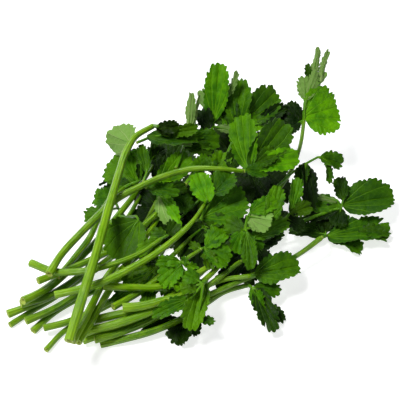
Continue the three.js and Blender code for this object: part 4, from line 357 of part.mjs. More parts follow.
      { shape: 0, tone: 0.2, root: [-2.91, -52.85, 10.71, 0.86], net: [[-5.86, -63.92, 3.9], [-2.94, -62.84, 3.93], [0.0, -61.79, 4.07], [2.95, -60.76, 4.33], [-4.93, -68.85, 3.58], [-1.99, -67.69, 3.2], [0.94, -66.65, 3.34], [3.87, -65.72, 3.97], [-4.0, -73.6, 2.72], [-1.06, -72.41, 2.15], [1.88, -71.38, 2.27], [4.8, -70.52, 3.08], [-3.05, -78.1, 1.02], [-0.11, -76.94, 0.52], [2.82, -75.93, 0.63], [5.74, -75.06, 1.34]] },
    ],
  },
  leaf_31: {
    joins: "stem_20",
    stalks: [[[-6.56, 1.69, 8.75, 0.89], [0.73, 4.25, 7.37, 0.81], [8.01, 6.85, 5.91, 0.73]]],
    leaflets: [
      { shape: 0, tone: 0.12, root: [8.01, 6.85, 5.91, 0.73], net: [[6.41, -2.67, 3.42], [7.58, 3.78, 4.79], [8.8, 10.37, 6.31], [10.05, 17.1, 8.01], [14.33, -3.1, 4.8], [15.65, 3.53, 5.23], [16.92, 10.14, 6.77], [18.13, 16.77, 9.42], [22.47, -3.38, 5.14], [23.89, 3.34, 5.14], [25.21, 9.98, 6.69], [26.42, 16.57, 9.8], [30.89, -3.43, 3.89], [32.34, 3.28, 4.11], [33.71, 9.95, 5.67], [35.0, 16.61, 8.58]] },
      { shape: 0, tone: 0.15, root: [5.55, 5.97, 6.41, 0.75], net: [[13.87, 4.8, 7.21], [8.43, 5.48, 6.57], [3.02, 6.13, 6.08], [-2.36, 6.75, 5.76], [15.63, 11.6, 9.2], [10.24, 12.39, 7.82], [4.79, 13.03, 7.33], [-0.72, 13.51, 7.73], [17.53, 18.68, 10.32], [12.15, 19.52, 8.59], [6.66, 20.14, 8.1], [1.06, 20.55, 8.83], [19.65, 26.15, 10.08], [14.2, 26.94, 8.51], [8.67, 27.55, 8.01], [3.06, 27.97, 8.57]] },
      { shape: 0, tone: 0.12, root: [8.01, 6.85, 5.91, 0.73], net: [[0.53, -0.5, 4.74], [6.04, 3.1, 4.96], [11.72, 6.87, 5.26], [17.6, 10.8, 5.64], [3.02, -6.6, 4.85], [8.59, -2.96, 4.21], [14.27, 0.74, 4.49], [20.09, 4.54, 5.73], [5.55, -12.54, 4.08], [11.14, -8.92, 3.01], [16.82, -5.27, 3.29], [22.61, -1.58, 4.93], [8.14, -18.3, 1.93], [13.72, -14.75, 1.06], [19.4, -11.15, 1.33], [25.21, -7.49, 2.76]] },
      { shape: 0, tone: 0.1, root: [4.56, 5.61, 6.61, 0.76], net: [[5.26, 14.49, 7.27], [5.0, 7.86, 6.39], [4.74, 1.32, 5.73], [4.47, -5.12, 5.28], [-2.4, 12.9, 7.27], [-2.54, 6.4, 5.51], [-2.76, -0.09, 4.86], [-3.05, -6.57, 5.31], [-9.85, 11.43, 6.3], [-9.92, 5.02, 4.12], [-10.09, -1.42, 3.48], [-10.37, -7.9, 4.37], [-17.06, 10.13, 3.82], [-17.1, 3.75, 1.85], [-17.23, -2.65, 1.22], [-17.45, -9.06, 1.91]] },
      { shape: 0, tone: 0.12, root: [7.02, 6.5, 6.11, 0.74], net: [[0.3, 7.13, 4.99], [5.07, 5.78, 4.98], [9.85, 4.4, 5.11], [14.65, 2.99, 5.41], [-2.87, -0.02, 4.83], [1.9, -1.31, 4.14], [6.64, -2.69, 4.27], [11.35, -4.16, 5.22], [-5.9, -6.92, 3.8], [-1.15, -8.17, 2.79], [3.54, -9.55, 2.91], [8.18, -11.05, 4.18], [-8.77, -13.52, 1.42], [-4.07, -14.79, 0.55], [0.58, -16.17, 0.67], [5.19, -17.65, 1.78]] },
      { shape: 0, tone: 0.12, root: [5.55, 5.97, 6.41, 0.75], net: [[11.56, 13.19, 9.1], [7.51, 8.73, 7.99], [3.52, 4.34, 7.07], [-0.42, -0.0, 6.36], [7.09, 17.4, 10.03], [3.13, 13.01, 8.09], [-0.84, 8.59, 7.18], [-4.83, 4.12, 7.28], [2.68, 21.72, 10.11], [-1.22, 17.35, 7.79], [-5.17, 12.9, 6.87], [-9.17, 8.35, 7.36], [-1.63, 26.21, 8.92], [-5.52, 21.79, 6.78], [-9.44, 17.3, 5.86], [-13.4, 12.75, 6.17]] },
      { shape: 0, tone: 0.1, root: [5.05, 5.79, 6.51, 0.76], net: [[0.92, 9.25, 6.65], [4.1, 5.53, 6.41], [7.27, 1.82, 6.31], [10.41, -1.89, 6.36], [-6.11, 1.9, 6.32], [-2.92, -1.72, 5.42], [0.22, -5.39, 5.32], [3.3, -9.1, 6.04], [-12.86, -5.14, 4.94], [-9.67, -8.69, 3.72], [-6.56, -12.3, 3.63], [-3.52, -15.99, 4.67], [-19.3, -11.83, 1.88], [-16.15, -15.34, 0.82], [-13.06, -18.91, 0.73], [-10.04, -22.54, 1.62]] },
    ],
  },
  leaf_32: {
    joins: "stem_22",
    stalks: [[[-17.89, 27.55, 8.13, 0.9], [-10.51, 31.47, 7.66, 0.86], [-3.87, 36.52, 7.03, 0.82], [1.79, 42.67, 6.51, 0.79], [6.98, 49.25, 6.41, 0.75]]],
    leaflets: [
      { shape: 0, tone: 0.15, root: [-5.35, 35.2, 7.17, 0.83], net: [[-0.87, 27.75, 6.23], [-4.05, 32.7, 6.57], [-7.27, 37.64, 7.08], [-10.54, 42.57, 7.77], [5.92, 33.13, 8.93], [2.84, 38.28, 8.5], [-0.39, 43.27, 9.02], [-3.78, 48.1, 10.51], [13.02, 38.85, 10.61], [9.99, 44.12, 9.82], [6.74, 49.16, 10.35], [3.29, 53.97, 12.21], [20.54, 45.04, 10.67], [17.47, 50.32, 10.06], [14.21, 55.41, 10.6], [10.77, 60.31, 12.3]] },
      { shape: 0, tone: 0.15, root: [-5.35, 35.2, 7.17, 0.83], net: [[1.8, 38.31, 9.27], [-3.73, 36.89, 7.93], [-9.22, 35.45, 6.76], [-14.66, 34.02, 5.77], [0.92, 45.73, 11.14], [-4.53, 44.42, 9.01], [-10.04, 42.95, 7.83], [-15.61, 41.32, 7.6], [0.16, 53.44, 12.1], [-5.26, 52.17, 9.59], [-10.8, 50.66, 8.4], [-16.45, 48.93, 8.53], [-0.41, 61.56, 11.63], [-5.88, 60.21, 9.28], [-11.45, 58.67, 8.08], [-17.1, 56.93, 8.02]] },
      { shape: 0, tone: 0.15, root: [-5.35, 35.2, 7.17, 0.83], net: [[-6.82, 25.08, 5.56], [-5.45, 31.19, 6.44], [-4.08, 37.37, 7.52], [-2.71, 43.63, 8.81], [1.58, 24.31, 7.04], [3.09, 30.57, 7.06], [4.52, 36.77, 8.15], [5.86, 42.93, 10.31], [10.21, 23.69, 7.45], [11.82, 30.03, 7.08], [13.3, 36.26, 8.19], [14.66, 42.38, 10.76], [19.13, 23.3, 6.23], [20.78, 29.63, 6.07], [22.32, 35.89, 7.18], [23.76, 42.07, 9.56]] },
      { shape: 0, tone: 0.14, root: [6.98, 49.25, 6.41, 0.75], net: [[15.31, 44.69, 6.45], [9.95, 48.03, 6.04], [4.57, 51.31, 5.8], [-0.84, 54.56, 5.74], [20.95, 54.09, 10.92], [15.7, 57.67, 9.7], [10.27, 60.98, 9.46], [4.65, 64.02, 10.21], [26.99, 64.08, 14.21], [21.78, 67.8, 12.6], [16.29, 71.14, 12.35], [10.54, 74.1, 13.49], [33.61, 74.91, 15.58], [28.31, 78.6, 14.14], [22.77, 81.97, 13.9], [17.0, 85.01, 14.85]] },
      { shape: 0, tone: 0.14, root: [6.98, 49.25, 6.41, 0.75], net: [[11.76, 40.42, 4.54], [9.1, 46.3, 5.43], [6.38, 52.17, 6.51], [3.61, 58.04, 7.8], [21.26, 45.47, 8.63], [18.77, 51.64, 8.69], [16.06, 57.57, 9.8], [13.11, 63.27, 11.94], [31.25, 51.0, 11.51], [28.84, 57.34, 11.2], [26.13, 63.33, 12.32], [23.11, 68.98, 14.88], [41.87, 57.21, 12.48], [39.43, 63.56, 12.38], [36.72, 69.61, 13.52], [33.75, 75.37, 15.9]] },
      { shape: 0, tone: 0.12, root: [-6.23, 34.47, 7.26, 0.84], net: [[-6.74, 44.77, 8.83], [-6.93, 38.44, 7.84], [-7.13, 32.18, 7.06], [-7.34, 26.0, 6.48], [-13.13, 43.47, 8.78], [-13.21, 37.28, 6.94], [-13.37, 31.06, 6.17], [-13.63, 24.8, 6.45], [-19.36, 42.29, 7.87], [-19.36, 36.19, 5.63], [-19.49, 30.0, 4.86], [-19.75, 23.73, 5.56], [-25.37, 41.3, 5.65], [-25.36, 35.2, 3.61], [-25.46, 29.05, 2.85], [-25.67, 22.84, 3.36]] },
      { shape: 0, tone: 0.12, root: [-6.67, 34.12, 7.3, 0.84], net: [[-14.4, 36.18, 6.98], [-9.28, 34.52, 6.84], [-4.11, 32.85, 6.84], [1.08, 31.17, 6.97], [-18.47, 27.25, 6.5], [-13.35, 25.65, 5.63], [-8.24, 23.98, 5.62], [-3.16, 22.24, 6.48], [-22.34, 18.67, 4.98], [-17.25, 17.12, 3.76], [-12.2, 15.45, 3.75], [-7.2, 13.67, 4.94], [-25.98, 10.51, 1.8], [-20.96, 8.94, 0.74], [-15.97, 7.27, 0.72], [-11.01, 5.52, 1.75]] },
    ],
  },
  leaf_33: {
    joins: "stem_15",
    stalks: [[[1.31, -36.55, 15.72, 0.87], [8.49, -32.06, 11.56, 0.82], [16.03, -27.56, 7.6, 0.77], [23.77, -23.17, 3.93, 0.71]]],
    leaflets: [
      { shape: 0, tone: 0.12, root: [23.77, -23.17, 3.93, 0.71], net: [[22.42, -29.93, 3.22], [23.42, -25.34, 3.47], [24.41, -20.69, 3.87], [25.42, -15.99, 4.42], [29.05, -29.84, 4.1], [30.11, -25.18, 3.71], [31.15, -20.51, 4.12], [32.16, -15.82, 5.31], [35.81, -29.68, 4.16], [36.92, -24.97, 3.47], [38.0, -20.28, 3.88], [39.03, -15.6, 5.38], [42.73, -29.42, 2.93], [43.88, -24.71, 2.4], [44.99, -19.99, 2.81], [46.07, -15.28, 4.17]] },
      { shape: 0, tone: 0.12, root: [23.77, -23.17, 3.93, 0.71], net: [[29.99, -28.52, 4.24], [26.35, -24.31, 4.26], [22.69, -20.1, 4.45], [19.0, -15.89, 4.81], [35.72, -23.24, 6.0], [32.13, -18.89, 5.28], [28.44, -14.64, 5.47], [24.66, -10.48, 6.58], [41.68, -17.7, 6.82], [38.1, -13.27, 5.74], [34.39, -8.98, 5.94], [30.55, -4.82, 7.41], [47.93, -11.84, 6.14], [44.31, -7.39, 5.23], [40.57, -3.05, 5.43], [36.73, 1.17, 6.74]] },
      { shape: 0, tone: 0.12, root: [23.38, -23.39, 4.11, 0.72], net: [[17.99, -25.34, 2.72], [21.57, -24.91, 2.76], [25.18, -24.47, 2.92], [28.81, -24.04, 3.19], [17.34, -29.71, 2.87], [20.92, -29.27, 2.42], [24.51, -28.85, 2.58], [28.11, -28.46, 3.33], [16.72, -34.0, 2.46], [20.29, -33.56, 1.78], [23.86, -33.15, 1.93], [27.43, -32.78, 2.92], [16.13, -38.19, 1.19], [19.68, -37.76, 0.62], [23.23, -37.37, 0.77], [26.79, -37.01, 1.64]] },
      { shape: 0, tone: 0.12, root: [22.98, -23.61, 4.29, 0.72], net: [[24.74, -14.09, 4.88], [23.34, -19.84, 4.31], [21.96, -25.5, 3.93], [20.59, -31.06, 3.75], [18.51, -14.26, 5.31], [17.18, -19.95, 3.93], [15.84, -25.58, 3.55], [14.49, -31.16, 4.18], [12.38, -14.39, 4.9], [11.11, -20.04, 3.15], [9.81, -25.64, 2.77], [8.49, -31.22, 3.78], [6.37, -14.46, 3.23], [5.14, -20.09, 1.66], [3.89, -25.67, 1.29], [2.61, -31.21, 2.12]] },
      { shape: 0, tone: 0.12, root: [23.77, -23.17, 3.93, 0.71], net: [[31.66, -20.51, 5.0], [26.11, -21.29, 4.68], [20.62, -22.1, 4.55], [15.17, -22.94, 4.61], [32.2, -13.99, 6.71], [26.67, -14.74, 5.65], [21.13, -15.59, 5.52], [15.59, -16.54, 6.31], [32.81, -7.27, 7.53], [27.27, -8.03, 6.13], [21.7, -8.91, 6.0], [16.1, -9.94, 7.14], [33.55, -0.29, 7.01], [27.96, -1.1, 5.78], [22.35, -2.03, 5.65], [16.72, -3.08, 6.63]] },
      { shape: 0, tone: 0.16, root: [4.99, -34.22, 13.55, 0.85], net: [[2.23, -30.26, 16.44], [3.43, -33.15, 14.03], [4.96, -35.63, 11.18], [6.86, -37.72, 7.86], [-4.77, -31.57, 15.63], [-3.54, -34.38, 12.59], [-1.98, -36.8, 9.68], [-0.08, -38.85, 6.9], [-11.62, -32.8, 13.95], [-10.36, -35.55, 10.59], [-8.79, -37.92, 7.61], [-6.88, -39.91, 5.04], [-18.32, -33.93, 10.88], [-17.05, -36.65, 7.61], [-15.46, -38.95, 4.56], [-13.53, -40.86, 1.75]] },
      { shape: 0, tone: 0.14, root: [12.5, -29.64, 9.4, 0.8], net: [[8.84, -27.68, 7.51], [11.38, -30.12, 7.92], [13.93, -32.53, 8.38], [16.49, -34.89, 8.91], [4.8, -32.96, 6.92], [7.32, -35.37, 6.87], [9.85, -37.76, 7.35], [12.37, -40.14, 8.36], [0.88, -38.07, 5.55], [3.39, -40.46, 5.29], [5.89, -42.84, 5.78], [8.39, -45.21, 7.03], [-2.9, -43.0, 2.94], [-0.42, -45.38, 2.81], [2.06, -47.75, 3.32], [4.54, -50.11, 4.47]] },
      { shape: 0, tone: 0.1, root: [23.77, -23.17, 3.93, 0.71], net: [[25.81, -29.12, 3.3], [25.15, -24.94, 3.62], [24.47, -20.73, 4.08], [23.78, -16.5, 4.67], [36.24, -25.51, 5.16], [35.66, -21.21, 4.92], [35.01, -16.95, 5.39], [34.29, -12.74, 6.57], [47.08, -21.66, 5.87], [46.55, -17.27, 5.37], [45.93, -12.95, 5.84], [45.21, -8.72, 7.3], [58.42, -17.45, 4.72], [57.9, -13.02, 4.36], [57.31, -8.65, 4.84], [56.64, -4.35, 6.18]] },
    ],
  },
  leaf_34: {
    joins: "stem_23",
    stalks: [[[-3.11, 16.87, 11.47, 0.9], [5.97, 19.7, 11.48, 0.89], [15.05, 22.55, 11.46, 0.87], [24.12, 25.4, 11.42, 0.85], [33.21, 28.23, 11.39, 0.83], [42.31, 31.01, 11.39, 0.81], [51.43, 33.69, 11.44, 0.79], [60.59, 36.27, 11.62, 0.77]]],
    leaflets: [
      { shape: 0, tone: 0.14, root: [60.59, 36.27, 11.62, 0.77], net: [[59.58, 26.33, 8.55], [60.37, 33.06, 10.35], [61.13, 39.82, 12.37], [61.85, 46.63, 14.63], [68.4, 25.93, 11.0], [69.42, 32.94, 11.9], [70.22, 39.73, 13.95], [70.8, 46.3, 17.13], [77.55, 25.83, 12.37], [78.7, 32.98, 12.86], [79.54, 39.8, 14.91], [80.09, 46.28, 18.55], [87.15, 26.2, 12.05], [88.3, 33.33, 12.76], [89.2, 40.17, 14.83], [89.83, 46.74, 18.28]] },
      { shape: 0, tone: 0.14, root: [60.59, 36.27, 11.62, 0.77], net: [[69.05, 32.58, 12.75], [63.57, 35.97, 12.34], [58.05, 39.3, 12.11], [52.49, 42.56, 12.07], [73.27, 39.12, 16.67], [67.95, 42.8, 15.44], [62.4, 46.14, 15.21], [56.61, 49.15, 15.98], [77.81, 46.12, 19.63], [72.55, 49.94, 18.01], [66.96, 53.3, 17.78], [61.05, 56.19, 18.93], [82.8, 53.76, 21.08], [77.47, 57.53, 19.65], [71.85, 60.91, 19.41], [65.94, 63.88, 20.37]] },
      { shape: 0, tone: 0.1, root: [60.59, 36.27, 11.62, 0.77], net: [[51.89, 27.96, 8.38], [57.92, 32.41, 9.89], [64.03, 36.89, 11.66], [70.23, 41.42, 13.69], [56.52, 20.03, 8.31], [62.7, 24.62, 8.79], [68.83, 29.04, 10.55], [74.89, 33.29, 13.59], [61.26, 12.4, 7.1], [67.53, 17.02, 7.08], [73.67, 21.38, 8.83], [79.67, 25.47, 12.35], [66.22, 5.19, 4.12], [72.47, 9.7, 4.32], [78.61, 14.0, 6.06], [84.66, 18.08, 9.33]] },
      { shape: 0, tone: 0.12, root: [42.15, 30.96, 11.39, 0.81], net: [[51.81, 31.05, 13.71], [45.21, 30.89, 12.17], [38.65, 30.7, 10.83], [32.13, 30.46, 9.68], [52.28, 38.68, 16.44], [45.81, 38.71, 14.0], [39.21, 38.49, 12.65], [32.49, 38.01, 12.37], [52.95, 46.68, 18.19], [46.52, 46.8, 15.32], [39.88, 46.55, 13.95], [33.04, 45.93, 14.08], [53.92, 55.22, 18.42], [47.4, 55.25, 15.74], [40.73, 54.97, 14.36], [33.89, 54.38, 14.28]] },
      { shape: 0, tone: 0.14, root: [56.24, 35.06, 11.52, 0.78], net: [[65.48, 35.27, 13.82], [59.37, 35.07, 12.07], [53.26, 34.81, 10.51], [47.17, 34.5, 9.14], [65.33, 44.97, 17.74], [59.38, 45.01, 15.18], [53.24, 44.72, 13.6], [46.92, 44.11, 13.01], [65.47, 55.21, 20.58], [59.57, 55.35, 17.61], [53.4, 55.03, 16.02], [46.95, 54.27, 15.79], [66.03, 66.23, 21.68], [60.06, 66.27, 18.88], [53.85, 65.93, 17.27], [47.41, 65.19, 16.84]] },
      { shape: 0, tone: 0.08, root: [59.5, 35.97, 11.59, 0.77], net: [[50.05, 34.75, 9.59], [56.8, 34.01, 9.94], [63.59, 33.24, 10.51], [70.42, 32.42, 11.29], [46.59, 23.83, 8.41], [53.36, 23.2, 7.83], [60.07, 22.4, 8.39], [66.72, 21.42, 10.06], [43.37, 13.42, 5.99], [50.11, 12.84, 4.97], [56.74, 12.01, 5.51], [63.27, 10.95, 7.61], [40.46, 3.62, 1.62], [47.1, 2.98, 0.79], [53.66, 2.14, 1.32], [60.14, 1.08, 3.2]] },
      { shape: 0, tone: 0.1, root: [41.07, 30.64, 11.39, 0.81], net: [[31.83, 27.66, 10.91], [38.26, 29.39, 11.63], [44.75, 31.11, 12.57], [51.33, 32.83, 13.72], [32.11, 19.63, 10.48], [38.6, 21.44, 10.29], [45.05, 23.11, 11.21], [51.49, 24.64, 13.26], [32.49, 11.89, 9.06], [38.99, 13.71, 8.42], [45.41, 15.33, 9.33], [51.76, 16.75, 11.8], [33.03, 4.51, 6.08], [39.47, 6.26, 5.64], [45.86, 7.84, 6.54], [52.19, 9.24, 8.78]] },
      { shape: 0, tone: 0.1, root: [60.59, 36.27, 11.62, 0.77], net: [[52.92, 29.42, 8.87], [58.5, 31.78, 9.63], [64.14, 34.15, 10.59], [69.85, 36.53, 11.74], [55.24, 17.08, 7.97], [60.87, 19.48, 7.89], [66.48, 21.76, 8.84], [72.07, 23.94, 10.8], [57.65, 5.22, 5.76], [63.29, 7.61, 5.27], [68.87, 9.82, 6.2], [74.37, 11.85, 8.54], [60.23, -6.04, 1.44], [65.82, -3.76, 1.13], [71.36, -1.62, 2.04], [76.86, 0.37, 4.18]] },
      { shape: 0, tone: 0.12, root: [19.51, 23.96, 11.44, 0.86], net: [[28.28, 23.83, 12.61], [22.65, 24.03, 11.68], [17.04, 24.2, 10.93], [11.46, 24.33, 10.35], [29.31, 30.09, 14.62], [23.75, 30.42, 12.93], [18.11, 30.58, 12.16], [12.39, 30.54, 12.33], [30.48, 36.62, 15.79], [24.94, 37.01, 13.74], [19.27, 37.14, 12.96], [13.46, 37.02, 13.48], [31.85, 43.51, 15.69], [26.26, 43.85, 13.8], [20.55, 43.97, 13.01], [14.73, 43.86, 13.35]] },
    ],
  },
};
const STEM_COLOR = "#6d9a25";
const PALE_STEM_COLOR = "#8db846";
const LEAF_COLORS = ["#1d4a0a", "#2f6a10", "#3f7d16", "#57911f"];

// ---- helpers ----
function solidFrom(positions, triangles) {
  return new wasm.Manifold(
    new wasm.Mesh({
      numProp: 3,
      vertProperties: new Float32Array(positions),
      triVerts: new Uint32Array(triangles),
    }),
  );
}

function solidFromGeometry(geometry) {
  const g = geometry.clone();
  g.deleteAttribute("normal");
  g.deleteAttribute("uv");
  const m = mergeVertices(g, 1e-4);
  return solidFrom(m.attributes.position.array, m.index.array);
}

function geometryFrom(solid) {
  const mesh = solid.getMesh();
  const out = new THREE.BufferGeometry();
  const n = mesh.vertProperties.length / mesh.numProp;
  const pos = new Float32Array(n * 3);
  for (let i = 0; i < n; i++)
    for (let k = 0; k < 3; k++) pos[3 * i + k] = mesh.vertProperties[mesh.numProp * i + k];
  out.setAttribute("position", new THREE.BufferAttribute(pos, 3));
  out.setIndex(Array.from(mesh.triVerts));
  out.computeVertexNormals();
  return out;
}

// A round stalk with flat ends through the listed points, resting flat where it would dip below the ground.
function rod(points, sides, scale = 1) {
  const p = points.map((q) => new THREE.Vector3(q[0], q[1], q[2]));
  const n = p.length;
  const tangents = p.map((q, i) =>
    p[Math.min(i + 1, n - 1)].clone().sub(p[Math.max(i - 1, 0)]).normalize(),
  );
  let side = new THREE.Vector3().crossVectors(new THREE.Vector3(0, 0, 1), tangents[0]);
  if (side.length() < 0.1) side = new THREE.Vector3(1, 0, 0);
  side.normalize();
  const positions = [];
  for (let i = 0; i < n; i++) {
    side.addScaledVector(tangents[i], -side.dot(tangents[i])).normalize();
    const up = new THREE.Vector3().crossVectors(tangents[i], side);
    for (let k = 0; k < sides; k++) {
      const a = (2 * Math.PI * (k + 0.5)) / sides - Math.PI / 2;
      const v = p[i]
        .clone()
        .addScaledVector(side, Math.cos(a) * points[i][3] * scale)
        .addScaledVector(up, Math.sin(a) * points[i][3] * scale);
      positions.push(v.x, v.y, Math.max(GROUND, v.z));
    }
  }
  const tri = [];
  for (let i = 0; i < n - 1; i++)
    for (let k = 0; k < sides; k++) {
      const a = i * sides + k,
        b = i * sides + ((k + 1) % sides),
        c = a + sides,
        d = b + sides;
      tri.push(a, b, d, a, d, c);
    }
  for (let k = 1; k < sides - 1; k++) {
    tri.push(0, k + 1, k);
    const o = (n - 1) * sides;
    tri.push(o, o + k, o + k + 1);
  }
  return { positions, tri };
}

const B3 = (t) => {
  const s = 1 - t;
  return [s * s * s, 3 * s * s * t, 3 * s * t * t, t * t * t];
};

// Point of a leaflet's surface: u from base to tip, v from edge to edge, -1 to 1.
function surface(net, u, v) {
  const bu = B3(u),
    bv = B3((v + 1) / 2);
  const out = new THREE.Vector3();
  for (let i = 0; i < 4; i++)
    for (let j = 0; j < 4; j++) {
      const w = bu[i] * bv[j],
        q = net[4 * i + j];
      out.x += w * q[0];
      out.y += w * q[1];
      out.z += w * q[2];
    }
  return out;
}

function surfaceNormal(net, u, v) {
  const e = 0.02;
  const du = surface(net, u + e, v).sub(surface(net, u - e, v));
  const dv = surface(net, u, v + e).sub(surface(net, u, v - e));
  return du.cross(dv).normalize();
}

// Outline of a coriander leaflet in (u, v): a wedge base, side lobes and a middle lobe.
const LOBE_DEPTH = [0.13, 0.08, 0.26, 0.06];
function outline(shape, phi) {
  const c = Math.cos(phi),
    s = Math.sin(phi);
  const n = c > 0 ? 2.3 : 1.55;
  const rho = 1 / Math.pow(Math.pow(Math.abs(c), n) + Math.pow(Math.abs(s), n), 1 / n);
  const a = Math.abs(phi);
  const notch = Math.exp(-Math.pow((a - 0.78) / 0.17, 2)) + 0.6 * Math.exp(-Math.pow((a - 1.75) / 0.16, 2));
  const r = rho * (1 - LOBE_DEPTH[shape] * notch) * BLADE_SCALE;
  return [CORE + r * c * (c > 0 ? 1 - CORE : CORE), r * s];
}

const RIM = [0, 22, 45, 68, 96, 124, 152, 180, 208, 236, 264, 292, 315, 338].map((d) => (d * Math.PI) / 180);
const RING = [0, 2, 4, 6, 8, 10, 12]; // rim angles the inner ring shares

function blade(leaflet) {
  const net = leaflet.net;
  const uv = [[CORE, 0]];
  const wrap = (a) => (a > Math.PI ? a - 2 * Math.PI : a);
  for (const k of RING) {
    const [u, v] = outline(leaflet.shape, wrap(RIM[k]));
    uv.push([CORE + (u - CORE) * 0.52, v * 0.52]);
  }
  for (const a of RIM) uv.push(outline(leaflet.shape, wrap(a)));
  const n = uv.length;
  const positions = [];
  const half = LEAF_THICKNESS / 2;
  for (const side of [1, -1])
    for (const [u, v] of uv) {
      const p = surface(net, u, v).addScaledVector(surfaceNormal(net, u, v), side * half);
      positions.push(p.x, p.y, Math.max(side > 0 ? GROUND + LEAF_THICKNESS : GROUND, p.z));
    }
  const top = [];
  const m = RING.length,
    r0 = 1,
    e0 = 1 + m,
    e = RIM.length;
  for (let i = 0; i < m; i++) top.push([0, r0 + i, r0 + ((i + 1) % m)]);
  for (let i = 0; i < m; i++) {
    const a = r0 + i,
      b = r0 + ((i + 1) % m),
      x = e0 + 2 * i,
      y = e0 + 2 * i + 1,
      z = e0 + ((2 * i + 2) % e);
    top.push([a, x, y], [a, y, b], [b, y, z]);
  }
  const tri = [];
  for (const [a, b, c] of top) {
    tri.push(a, b, c);
    tri.push(n + a, n + c, n + b);
  }
  for (let i = 0; i < e; i++) {
    const a = e0 + i,
      b = e0 + ((i + 1) % e);
    tri.push(a, n + a, n + b, a, n + b, b);
  }
  return { positions, tri };
}

// The main body of a solid, without slivers that a cut left beside it.
function largest(solid) {
  return solid.decompose().sort((a, b) => b.volume() - a.volume())[0];
}

function material(color, roughness) {
  return new THREE.MeshStandardMaterial({ color, roughness, metalness: 0, flatShading: true });
}

const bunch = new THREE.Group();
bunch.name = "coriander_bunch";
const stemSolids = {};

for (const [name, points] of Object.entries(STEMS)) {
  const { positions, tri } = rod(points, STEM_SIDES);
  const solid = solidFrom(positions, tri);
  stemSolids[name] = solid;
  const pale = points[0][3] > 2.2;
  const mesh = new THREE.Mesh(geometryFrom(solid), material(pale ? PALE_STEM_COLOR : STEM_COLOR, 0.45));
  mesh.name = name;
  bunch.add(mesh);
}

for (const [name, leaf] of Object.entries(LEAVES)) {
  const bodies = [];
  for (const stalk of leaf.stalks) {
    const r = rod(stalk, STALK_SIDES, STALK_SCALE);
    bodies.push(solidFrom(r.positions, r.tri));
  }
  for (const [k, leaflet] of leaf.leaflets.entries()) {
    const b = blade(leaflet);
    bodies.push(solidFrom(b.positions, b.tri));
    const r = leaflet.root;
    const tip = surface(leaflet.net, PETIOLULE_REACH, 0);
    const start = new THREE.Vector3(r[0], r[1], r[2]);
    const away = tip.clone().sub(start);
    // each stalklet starts a little further along, so that no two share an edge
    start.addScaledVector(away.normalize(), -Math.min(r[3], 0.45 - 0.03 * k));
    const pts = [
      [start.x, start.y, start.z, Math.min(r[3], PETIOLULE_RADIUS) * (1 - 0.01 * k)],
      [tip.x, tip.y, tip.z, PETIOLULE_RADIUS * 0.8],
    ];
    const s = rod(pts, STALK_SIDES);
    bodies.push(solidFrom(s.positions, s.tri));
  }
  let solid = wasm.Manifold.union(bodies);
  // clearance where the leaf meets a stem
  for (const [stem, points] of Object.entries(STEMS)) {
    if (solid.intersect(stemSolids[stem]).volume() < 1e-4 && leaf.joins !== stem) continue;
    const grown = points.map((q) => [q[0], q[1], q[2], q[3] + CLEARANCE]);
    const n = grown.length;
    for (let k = 0; k < 3; k++) {
      const d = points[n - 1][k] - points[n - 2][k];
      const len = Math.hypot(...[0, 1, 2].map((i) => points[n - 1][i] - points[n - 2][i]));
      grown[n - 1][k] += (d / len) * CLEARANCE;
    }
    const r = rod(grown, STEM_SIDES);
    solid = solid.subtract(solidFrom(r.positions, r.tri));
  }
  solid = largest(solid).asOriginal().simplify(SIMPLIFY);
  solid = largest(solid);
  const tone = leaf.leaflets[0].tone;
  const mesh = new THREE.Mesh(
    geometryFrom(solid),
    material(LEAF_COLORS[Math.min(3, Math.floor(tone * 4))], 0.5),
  );
  mesh.name = name;
  bunch.add(mesh);
}

export default bunch;
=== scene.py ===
# A loose bunch of flat-leaf coriander: the looks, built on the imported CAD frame.
import math

import bpy
import numpy as np
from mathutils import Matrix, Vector


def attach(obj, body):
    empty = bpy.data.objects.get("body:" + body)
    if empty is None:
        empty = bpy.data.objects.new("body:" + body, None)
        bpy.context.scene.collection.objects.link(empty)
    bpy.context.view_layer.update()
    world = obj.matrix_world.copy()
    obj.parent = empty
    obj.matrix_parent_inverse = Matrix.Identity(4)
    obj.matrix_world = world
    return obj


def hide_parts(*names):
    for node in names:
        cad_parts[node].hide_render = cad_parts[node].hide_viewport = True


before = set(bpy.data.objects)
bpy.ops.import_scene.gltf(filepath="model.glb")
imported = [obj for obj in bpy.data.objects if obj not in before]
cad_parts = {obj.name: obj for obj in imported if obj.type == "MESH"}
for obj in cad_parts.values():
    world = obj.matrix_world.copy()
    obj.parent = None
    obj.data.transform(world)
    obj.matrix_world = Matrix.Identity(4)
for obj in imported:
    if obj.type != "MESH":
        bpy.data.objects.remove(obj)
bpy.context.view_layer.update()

MM = 0.001
BLADE = 0.30  # blade thickness, mm
ANGLES = 144  # steps round a leaflet's margin
RINGS = np.array([0.15, 0.3, 0.45, 0.6, 0.72, 0.82, 0.9, 0.96, 1.0])
CORE = 0.5

